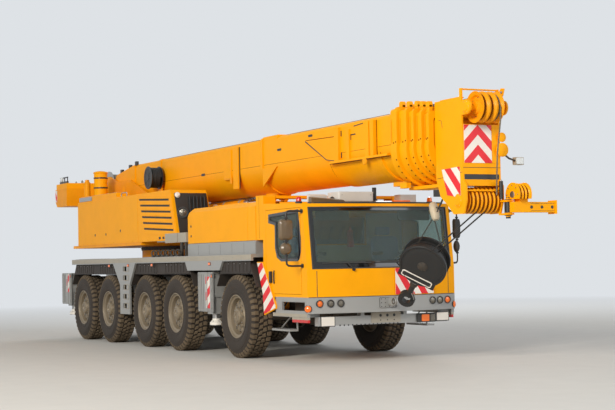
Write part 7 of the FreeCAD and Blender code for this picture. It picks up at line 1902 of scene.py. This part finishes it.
@dataclass
class HeadDetails:
    """Pin bosses, guards, rope, lamps, brackets, grooves and pins at the boom head and its nose."""

    pin_up: tuple[float, float] = (5.43, 3.74)
    pin_low: tuple[float, float] = (5.18, 2.43)

    def plates(self) -> None:
        """Bosses, seams, slot edges, brackets, lamp and roller on the head."""
        shape = Shape("head_fittings", SILL_YELLOW)
        for side in (-1, 1):
            for (x, z), r in ((self.pin_up, 0.098), (self.pin_low, 0.10)):
                shape.use(YELLOW).turned((x, side * 0.322, z), (0, side, 0), [
                    (-0.004, 0.0), (-0.004, r), (0.008, r * 0.96), (0.022, r * 0.7), (0.03, r * 0.66), (0.03, r * 0.3),
                    (0.034, 0.0)], 32)
                shape.use(STEEL).bolts([(x + r * 0.8 * math.cos(t), side * 0.326, z + r * 0.8 * math.sin(t))
                                        for t in (n * math.pi / 3 for n in range(6))], (0, side, 0), 0.008, 0.012)
            shape.use(BLACK_PAINT).tube([(4.64, side * 0.3235, 2.77), (4.9, side * 0.3235, 2.785), (5.30, side * 0.3235, 2.83)],
                                        0.0035, 6)
            shape.tube([(4.70, side * 0.3235, 3.62), (4.78, side * 0.3235, 3.60), (4.80, side * 0.3235, 3.50)], 0.003, 6)
        shape.use(BLACK_PAINT).box((5.311, 5.314), (-0.315, 0.315), (2.892, 2.898))
        shape.box((5.30, 5.306), (-0.315, 0.315), (2.724, 2.802))
        shape.use(YELLOW).plate(facing((5.311, 0, 0), FRONT), bar((0.178, 0.31), (2.96, 3.50)), 0.0, 0.006)
        shape.use(YELLOW).turned((5.33, 0.33, 3.15), (1, 0, 0), [(0.0, 0.0), (0.0, 0.085), (0.012, 0.10), (0.03, 0.10),
                                                                 (0.04, 0.08), (0.04, 0.0)], 28)
        shape.turned((5.33, 0.33, 3.33), (1, 0, 0), [(0.0, 0.0), (0.0, 0.06), (0.02, 0.07), (0.03, 0.05), (0.03, 0.0)], 24)
        shape.use(DARK_STEEL).tube([(5.33, 0.36, 3.10), (5.34, 0.45, 3.03), (5.33, 0.56, 3.0)], 0.014, 10)
        shape.use(PALE_GREY).box((5.27, 5.35), (0.56, 0.70), (2.94, 3.05))
        shape.use(BLACK_PLASTIC).box((5.24, 5.27), (0.58, 0.68), (2.96, 3.03))
        shape.use(CLEAR_LENS).plate(facing((5.35, 0, 0), FRONT), rounded((0.57, 0.69), (2.95, 3.04), 0.015), 0.0, 0.008)
        shape.use(BLACK_PAINT).box((4.45, 4.75), (-0.28, -0.05), (2.52, 2.62))
        shape.box((4.68, 4.74), (-0.28, -0.05), (2.60, 2.80))
        shape.use(BLACK_PAINT).rod((5.40, 0.26, 2.45), (5.40, 0.26, 2.70), 0.03, 16)
        shape.use(STEEL).rod((5.40, 0.26, 2.43), (5.40, 0.26, 2.72), 0.012, 12)
        for z in (2.215, 2.400):
            shape.use(DARK_STEEL).turned((5.46, 0.33, z + (0.027 if z > 2.3 else -0.001)), (0, 0, 1 if z > 2.3 else -1),
                                         [(0.0, 0.036), (0.0, 0.055), (0.008, 0.055), (0.01, 0.037)], 24, closed=True)
        shape.use(YELLOW).box((4.72, 5.22), (-0.30, -0.22), (3.888, 3.905))
        shape.box((4.72, 5.22), (0.22, 0.30), (3.888, 3.905))
        for x in (4.75, 4.95, 5.15):
            shape.use(STEEL).bolts([(x, -0.26, 3.905), (x, 0.26, 3.905)], (0, 0, 1), 0.012)
        shape.use(YELLOW).plate(wall(Side.LEFT, 0.322), wall_points(Side.LEFT, [(5.28, 3.86), (5.40, 3.92), (5.44, 4.02),
                                                                                (5.36, 4.03), (5.28, 3.96)]), 0.0, 0.016)
        shape.use(STEEL).rod((5.385, 0.30, 3.97), (5.385, 0.35, 3.97), 0.018, 14)
        shape.piece("boom_section_5", bevel=0.002)

    def ropes(self) -> None:
        """Rope from the upper sheave down the front to the lower row."""
        shape = Shape("head_rope", ROPE)
        shape.tube([(5.634, 0.12, 3.74), (5.60, 0.14, 3.55), (5.46, 0.17, 3.1), (5.40, 0.19, 2.75), (5.362, 0.205, 2.50)], 0.0105, 8)
        shape.piece("boom_section_5", slot="chrome_rod")

    def nose(self) -> None:
        """Grooves with painted shade, bolts and pins on the folded nose."""
        shape = Shape("nose_fittings", YELLOW)
        # Hoops of painted shade in the grooves.
        for n in range(3):
            y = 0.365 + 0.175 / 3 * (n + 0.5)
            shape.use(PAINTED_SHADE_LINE).hoop((5.55, y, 2.50), (0, 1, 0), 0.136, 0.012, 48, 234.0, 153.0)
        for y, out in ((0.345, -1), (0.56, 1)):
            shape.use(STEEL).turned((5.55, y, 2.50), (0, out, 0), [(0.0, 0.0), (0.0, 0.05), (0.012, 0.045), (0.014, 0.0)], 24)
            shape.bolts([(5.55 + 0.13 * math.cos(t), y, 2.50 + 0.13 * math.sin(t))
                         for t in (math.radians(a) for a in (0, 45, 90, 135, 180))], (0, out, 0), 0.009)
        for y in (0.62, 0.80, 0.98):
            shape.use(DARK_STEEL).turned((5.62, y, 2.32), (1, 0, 0), [(-0.001, 0.0), (-0.001, 0.024), (0.002, 0.024),
                                                                       (0.002, 0.0)], 20)
        shape.use(BLACK_PAINT).box((5.6205, 5.6225), (0.60, 1.02), (2.264, 2.269))
        shape.box((5.6205, 5.6225), (0.60, 1.02), (2.372, 2.377))
        shape.use(BLACK_PAINT).rod((5.46, 0.33, 2.246), (5.46, 0.33, 2.396), 0.0535, 30)
        shape.rod((5.46, 0.33, 2.165), (5.46, 0.33, 2.2), 0.034, 20)
        shape.rod((5.46, 0.33, 2.45), (5.46, 0.33, 2.462), 0.03, 20)
        shape.use(STEEL).rod((5.55, 1.04, 2.32), (5.55, 1.056, 2.32), 0.022, 18)
        shape.piece("boom_nose", bevel=0.0015)

    def build(self) -> None:
        """Make the head's pieces."""
        self.plates()
        self.ropes()
        self.nose()
        SheaveSet("upper_sheaves", self.pin_up, 0.225, 3, 0.12, 0.0456, SILL_YELLOW, (2,)).build()
        SheaveSet("lower_sheaves", self.pin_low, 0.19, 7, 0.07, 0.0266, SILL_YELLOW).build()


@dataclass
class LuffingDetails:
    """Gland, collar, hose pipes and clamp of the luffing cylinder."""

    base: tuple[float, float] = (-5.72, 2.69)
    eye: tuple[float, float] = (-1.40, 2.745)

    def build(self) -> None:
        """Make the cylinder's fittings."""
        axis = Vector((self.eye[0] - self.base[0], 0, self.eye[1] - self.base[1])).normalized()
        at = Vector((self.base[0], 0, self.base[1]))
        up = axis.cross(Vector((0, 1, 0))).normalized() * -1
        shape = Shape("luff_barrel_fittings", SILL_YELLOW)
        shape.use(STEEL).turned(at + axis * 3.09, axis, [(0.0, 0.1085), (0.0, 0.118), (0.05, 0.122), (0.14, 0.122),
                                                         (0.16, 0.114), (0.165, 0.088)], 40)
        for n in range(10):
            t = n * math.pi / 5
            out = Vector((0, 1, 0)) * math.cos(t) + up * math.sin(t)
            shape.use(DARK_STEEL).bolts([at + axis * 3.255 + out * 0.1], axis, 0.009, 0.01)
        for y in (0.06, -0.06):
            start = at + up * -0.112 + Vector((0, y, 0))
            shape.use(STEEL).tube([start + axis * 0.5, start + axis * 1.6, start + axis * 2.7, start + axis * 3.05], 0.014, 10)
        for along in (0.6, 1.35, 2.1, 2.85):
            shape.use(PALE_GREY).turned(at + axis * along, axis, [(-0.025, 0.108), (-0.025, 0.117), (0.025, 0.117), (0.025, 0.108)],
                                        36, closed=True)
        shape.piece("luff_barrel", bevel=0.001)
        rod = Shape("luff_rod_head", SILL_YELLOW)
        end = at + axis * math.dist(self.base, self.eye)
        rod.use(STEEL).turned(end, (0, 1, 0), [(-0.147, 0.0), (-0.147, 0.05), (-0.152, 0.044), (-0.152, 0.0)], 26)
        rod.turned(end, (0, 1, 0), [(0.147, 0.0), (0.147, 0.05), (0.152, 0.044), (0.152, 0.0)], 26)
        rod.use(SILL_YELLOW).turned(end - axis * 0.14, axis, [(0.0, 0.0855), (0.0, 0.094), (0.04, 0.094), (0.05, 0.0855)], 36,
                                    closed=True)
        rod.piece("luff_rod", slot="chrome_rod")


# Hook block

@dataclass
class HookBlock:
    """Rims, bolts, blank banner and latch of the leaning hook block, and the limit weight."""

    centre: tuple[float, float] = (3.72, 1.57)
    lean: float = 45.0
    twist: float = 41.0
    radius: float = 0.37
    half_t: float = 0.13

    def place(self) -> Matrix:
        """Turns a form drawn upright round the origin into the hook block's place."""
        return (Matrix.Translation((self.centre[0], 0, self.centre[1])) @ Matrix.Rotation(math.radians(self.lean), 4, "Y")
                @ Matrix.Rotation(math.radians(90.0 - self.twist), 4, "Z"))

    def cheeks(self, shape: Shape) -> None:
        """Raised rims, pin covers, bolts and edge plates on both cheeks."""
        for side in (-1, 1):
            face = side * self.half_t
            shape.use(BLACK_PAINT).turned((0, face, 0), (0, side, 0), [
                (-0.004, 0.05), (0.006, 0.05), (0.010, 0.09), (0.007, 0.22), (0.002, 0.30), (-0.004, 0.315)], 48, closed=True)
            shape.use(BLACK_PAINT).turned((0, face, 0), (0, side, 0), [
                (-0.002, 0.335), (0.010, 0.338), (0.014, 0.350), (0.008, 0.362), (-0.002, 0.366)], 64, closed=True)
            shape.use(DARK_STEEL).turned((0, face, 0), (0, side, 0), [(0.0, 0.0), (0.0, 0.085), (0.014, 0.08), (0.03, 0.052),
                                                                      (0.034, 0.0)], 36)
            shape.use(BLACK_PAINT).bolts([(0.068 * math.cos(t), face + side * 0.016, 0.068 * math.sin(t))
                                    for t in (n * math.pi / 3 for n in range(6))], (0, side, 0), 0.009, 0.01)
            shape.bolts([(0.325 * math.cos(t), face, 0.325 * math.sin(t))
                         for t in (math.radians(a) for a in range(-20, 201, 22))], (0, side, 0), 0.011, 0.01)
            plane = Plane(Vector((0, face, 0)), Vector((-side, 0, 0)), Vector((0, 0, 1)))
            banner = rounded((-0.235, 0.235), (-0.29, -0.215), 0.02)
            border(shape.use(WHITE), plane, banner, 0.016, 0.0, 0.013)
            shape.use(BLACK_PAINT).plate(plane, banner, 0.0, 0.009)

    def hook(self, shape: Shape) -> None:
        """Nut, bearing rings and latch of the hook, with a thicker saddle in its bowl."""
        shape.use(STEEL).turned((0, 0, -0.385), (0, 0, 1), [(-0.02, 0.0), (-0.02, 0.092), (0.0, 0.099), (0.018, 0.099),
                                                            (0.03, 0.09), (0.03, 0.0)], 36)
        shape.use(DARK_STEEL).turned((0, 0, -0.50), (0, 0, 1), [(0.0, 0.0445), (0.0, 0.058), (0.03, 0.066), (0.07, 0.066),
                                                                (0.08, 0.0445)], 32, closed=True)
        shape.use(BLACK_PAINT).hoop((0, 0, -0.79), (0, 1, 0), 0.097, 0.036, 40)
        shape.use(STEEL).tube([(0.03, -0.03, -0.64), (0.075, -0.03, -0.68), (0.105, -0.02, -0.735)], 0.008, 8)
        shape.tube([(0.03, 0.03, -0.64), (0.075, 0.03, -0.68), (0.105, 0.02, -0.735)], 0.008, 8)

    def rig(self, shape: Shape) -> None:
        """Strap, limit weight and chains that hang round the hoist rope at the boom head."""
        shape.use(BLACK_PLASTIC).tube([(4.40, -0.02, 2.60), (4.30, 0.0, 2.54), (4.18, 0.02, 2.44), (4.10, 0.02, 2.36)], 0.014, 10)
        shape.use(SAND_METAL).turned((4.02, 0.0, 2.33), (0.35, 0, -0.94), [
            (-0.13, 0.02), (-0.13, 0.045), (-0.10, 0.062), (0.0, 0.072), (0.10, 0.062), (0.14, 0.045), (0.15, 0.02)], 26)
        shape.use(DARK_STEEL).hoop((4.09, 0.0, 2.35), (0, 1, 0), 0.032, 0.009, 20)
        low = Vector((4.0, 0.0, 2.24))
        for end in (Vector((3.80, -0.16, 1.86)), Vector((3.90, 0.20, 1.74))):
            shape.use(DARK_STEEL)
            steps = 15
            for n in range(steps):
                a = low.lerp(end, (n + 0.5) / steps)
                way = (end - low).normalized()
                u, v = across(way)
                flat = u if n % 2 else v
                shape.tube([a + way * 0.016 * math.cos(t) * 1.25 + flat * 0.0095 * math.sin(t)
                            for t in (k * math.pi / 6 for k in range(13))], 0.0045, 5)

    def build(self) -> None:
        """Make the block's pieces."""
        shape = Shape("hook_block_fittings", BLACK_PAINT)
        self.cheeks(shape)
        self.hook(shape)
        shape.move(self.place())
        shape.piece("hook_block", bevel=0.0015, slot="black_paint")
        rig = Shape("hoist_limit_weight", SAND_METAL)
        self.rig(rig)
        rig.piece("boom_section_5", slot="chassis_grey")


# Crane cab

@dataclass
class CraneCab:
    """Seals, grip, grab rails, work lamps, roof grille and the operator's place in the crane cab."""

    x: tuple[float, float] = (-5.9, -4.25)
    y: tuple[float, float] = (0.62, 1.43)
    top: float = 3.62

    def outside(self) -> None:
        """Seams, work lamps, grab rails and the roof's grille."""
        (x0, x1), (y0, y1) = self.x, self.y
        shape = Shape("crane_cab_fittings", BLACK_PLASTIC)
        plane = facing((0, 0, self.top), TOP)
        border(shape.use(BLACK_PLASTIC), plane, rounded((x0 + 0.25, x1 - 0.45), (y0 + 0.15, y1 - 0.15), 0.05), 0.02, 0.0, 0.015)
        for n in range(9):
            x = x0 + 0.33 + 0.09 * n
            shape.box((x, x + 0.05), (y0 + 0.17, y1 - 0.17), (self.top + 0.001, self.top + 0.009))
        for y in (y0 + 0.12, y1 - 0.12):
            shape.use(BLACK_PAINT).rod((x1 - 0.16, y, self.top), (x1 - 0.16, y, self.top + 0.05), 0.014, 10)
            shape.use(BLACK_PLASTIC).turned((x1 - 0.16, y, self.top + 0.09), (1, 0, -0.2), [
                (-0.05, 0.0), (-0.05, 0.03), (0.0, 0.06), (0.03, 0.062), (0.036, 0.056)], 24)
            shape.use(CLEAR_LENS).turned((x1 - 0.16, y, self.top + 0.09), (1, 0, -0.2), [(0.024, 0.0), (0.024, 0.055), (0.034, 0.04),
                                                                                         (0.038, 0.0)], 22)
        shape.use(BLACK_PLASTIC)
        low, high = (x1 - 0.08, 2.72), (x1 - 0.10, 3.4)
        shape.tube([(low[0], y1, low[1]), (low[0], y1 + 0.045, low[1] + 0.03), (high[0], y1 + 0.045, high[1] - 0.03),
                    (high[0], y1, high[1])], 0.012, 8)
        shape.tube([(x0, y1 - 0.12, 2.5), (x0 - 0.045, y1 - 0.12, 2.53), (x0 - 0.045, y1 - 0.12, 3.17), (x0, y1 - 0.12, 3.2)],
                   0.012, 8)
        shape.use(YELLOW).box((x0 + 0.2, x1 - 0.2), (y1, y1 + 0.02), (2.11, 2.13))
        shape.piece("crane_cab", bevel=0.0015, slot="black_plastic")

    def inside(self) -> None:
        """Seat cushions, consoles with levers, screen display, pedals and mat."""
        shape = Shape("crane_cab_inside", CLOTH)
        y = (self.y[0] + self.y[1]) / 2
        rings = []
        for z, inset in ((2.591, 0.03), (2.60, 0.0), (2.66, 0.0), (2.69, 0.03), (2.70, 0.08)):
            rings.append([(px, py, z) for px, py in rounded((-5.50 + inset, -5.04 - inset), (y - 0.235 + inset, y + 0.235 - inset), 0.06)])
        shape.loft(rings)
        rings = []
        for x, inset in ((-5.455, 0.03), (-5.44, 0.0), (-5.39, 0.0), (-5.365, 0.03), (-5.355, 0.08)):
            rings.append([(x, py, pz) for py, pz in rounded((y - 0.23 + inset, y + 0.23 - inset), (2.72 + inset, 3.22 - inset), 0.07)])
        shape.loft(rings)
        shape.use(TRIM)
        for side in (-1, 1):
            c = y + side * 0.285
            shape.box((-5.35, -4.95), (c - 0.045, c + 0.045), (2.70, 2.78))
            shape.box((-5.25, -5.15), (c - 0.03, c + 0.03), (2.2, 2.70))
            shape.use(BLACK_PLASTIC).rod((-5.02, c, 2.78), (-5.01, c, 2.89), 0.009, 10)
            shape.turned((-5.01, c, 2.89), (0, 0, 1), [(0.0, 0.0), (0.01, 0.018), (0.04, 0.024), (0.06, 0.016), (0.065, 0.0)], 16)
            shape.use(TRIM)
        shape.use(BLACK_GLASS).plate(Plane(Vector((-4.55, y + 0.2, 2.95)), Vector((0, -1, 0)), Vector((0.2, 0, 0.98)).normalized()),
                                     rounded((-0.13, 0.13), (-0.09, 0.09), 0.015), 0.0, 0.02)
        shape.use(TRIM).rod((-4.52, y + 0.2, 2.86), (-4.5, y + 0.2, 2.56), 0.014, 10)
        for side in (-0.1, 0.1):
            shape.box((-4.62, -4.50), (y + side - 0.04, y + side + 0.04), (2.15, 2.19))
        shape.box((-5.85, -4.45), (self.y[0] + 0.05, self.y[1] - 0.05), (2.112, 2.12))
        shape.piece("crane_cab", bevel=0.002, slot="black_plastic")

    def door(self) -> None:
        """Frame, lower plate and grip of the sliding door."""
        shape = Shape("crane_door_frame", BLACK_PLASTIC)
        plane = wall(Side.LEFT, 1.466)
        outline = wall_points(Side.LEFT, rounded((-5.56, -4.69), (2.16, 3.49), 0.06))
        border(shape.use(BLACK_PLASTIC), plane, outline, 0.035, -0.001, 0.008)
        shape.use(YELLOW).plate(plane, wall_points(Side.LEFT, bar((-5.56, -4.69), (2.13, 2.55))), -0.001, 0.006)
        shape.use(BLACK_PLASTIC).tube([plane.at(p, d) for p, d in zip(wall_points(Side.LEFT, [
            (-5.48, 2.62), (-5.48, 2.65), (-5.48, 2.9), (-5.48, 2.93)]), (0.004, 0.035, 0.035, 0.004))], 0.011, 8)
        shape.piece("crane_cab_door", bevel=0.0012, slot="black_plastic")

    def build(self) -> None:
        """Make the crane cab's pieces."""
        self.outside()
        self.inside()
        self.door()




NODE_FINISH: dict[str, Finish] = {
    "axles_and_shafts": DARK_STEEL, "carrier_frame": CHASSIS, "deck": CHASSIS, "side_panels": CHASSIS,
    "mudguards": FLAP_RUBBER, "engine_cover": YELLOW, "cab_shell": YELLOW, "cab_glass": GLASS,
    "cab_fittings": TRIM, "bumper": CHASSIS, "lamps": CLEAR_LENS, "cab_door_left": YELLOW, "cab_door_right": YELLOW,
    "turntable": SILL_YELLOW, "side_housings": YELLOW, "hose_reel": BLACK_PAINT, "winch_drum": STEEL,
    "crane_cab": YELLOW, "crane_cab_glass": GLASS, "crane_cab_door": GLASS, "boom_base": YELLOW,
    "boom_section_1": YELLOW, "boom_section_2": YELLOW, "boom_section_3": YELLOW, "boom_section_4": YELLOW,
    "boom_section_5": YELLOW, "luff_barrel": SILL_YELLOW, "luff_rod": CHROME, "upper_sheaves": SILL_YELLOW,
    "lower_sheaves": SILL_YELLOW, "boom_nose": YELLOW, "hook_block": BLACK_PAINT,
}


def node_finishes() -> dict[str, Finish]:
    """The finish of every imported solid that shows, the numbered ones included."""
    found = dict(NODE_FINISH)
    for side in Side:
        for number in range(1, len(AXLES) + 1):
            found["knuckle_%d_%s" % (number, side.word)] = DARK_STEEL
        for end in ("front", "rear"):
            found["outrigger_beam_%s_%s" % (end, side.word)] = CHASSIS
            found["outrigger_leg_%s_%s" % (end, side.word)] = STEEL
    return found


def corners(pair: tuple[Vector, Vector]) -> list[list[float]]:
    """Two corners as plain lists of numbers."""
    return [[float(v) for v in corner] for corner in pair]


def main() -> None:
    """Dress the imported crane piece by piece."""
    logging.basicConfig(level=logging.INFO, format="%(name)s: %(message)s")
    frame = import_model()
    Studio().build()
    dress(frame["nodes"], node_finishes())
    for side in Side:
        for number in range(1, len(AXLES) + 1):
            Wheel(number, side).build()
    for part in (WarningSigns(), RunningGear(), DeckDetails(), OutriggerDetails(), EngineCover(), CabGlazing(),
                 CabFront(), CabRoof(), CabInside(), CabRear(), HousingDetails(), WinchAndReel(), BoomDetails(),
                 HeadDetails(), LuffingDetails(), HookBlock(), CraneCab()):
        part.build()


if __name__ == "__main__":
    main()
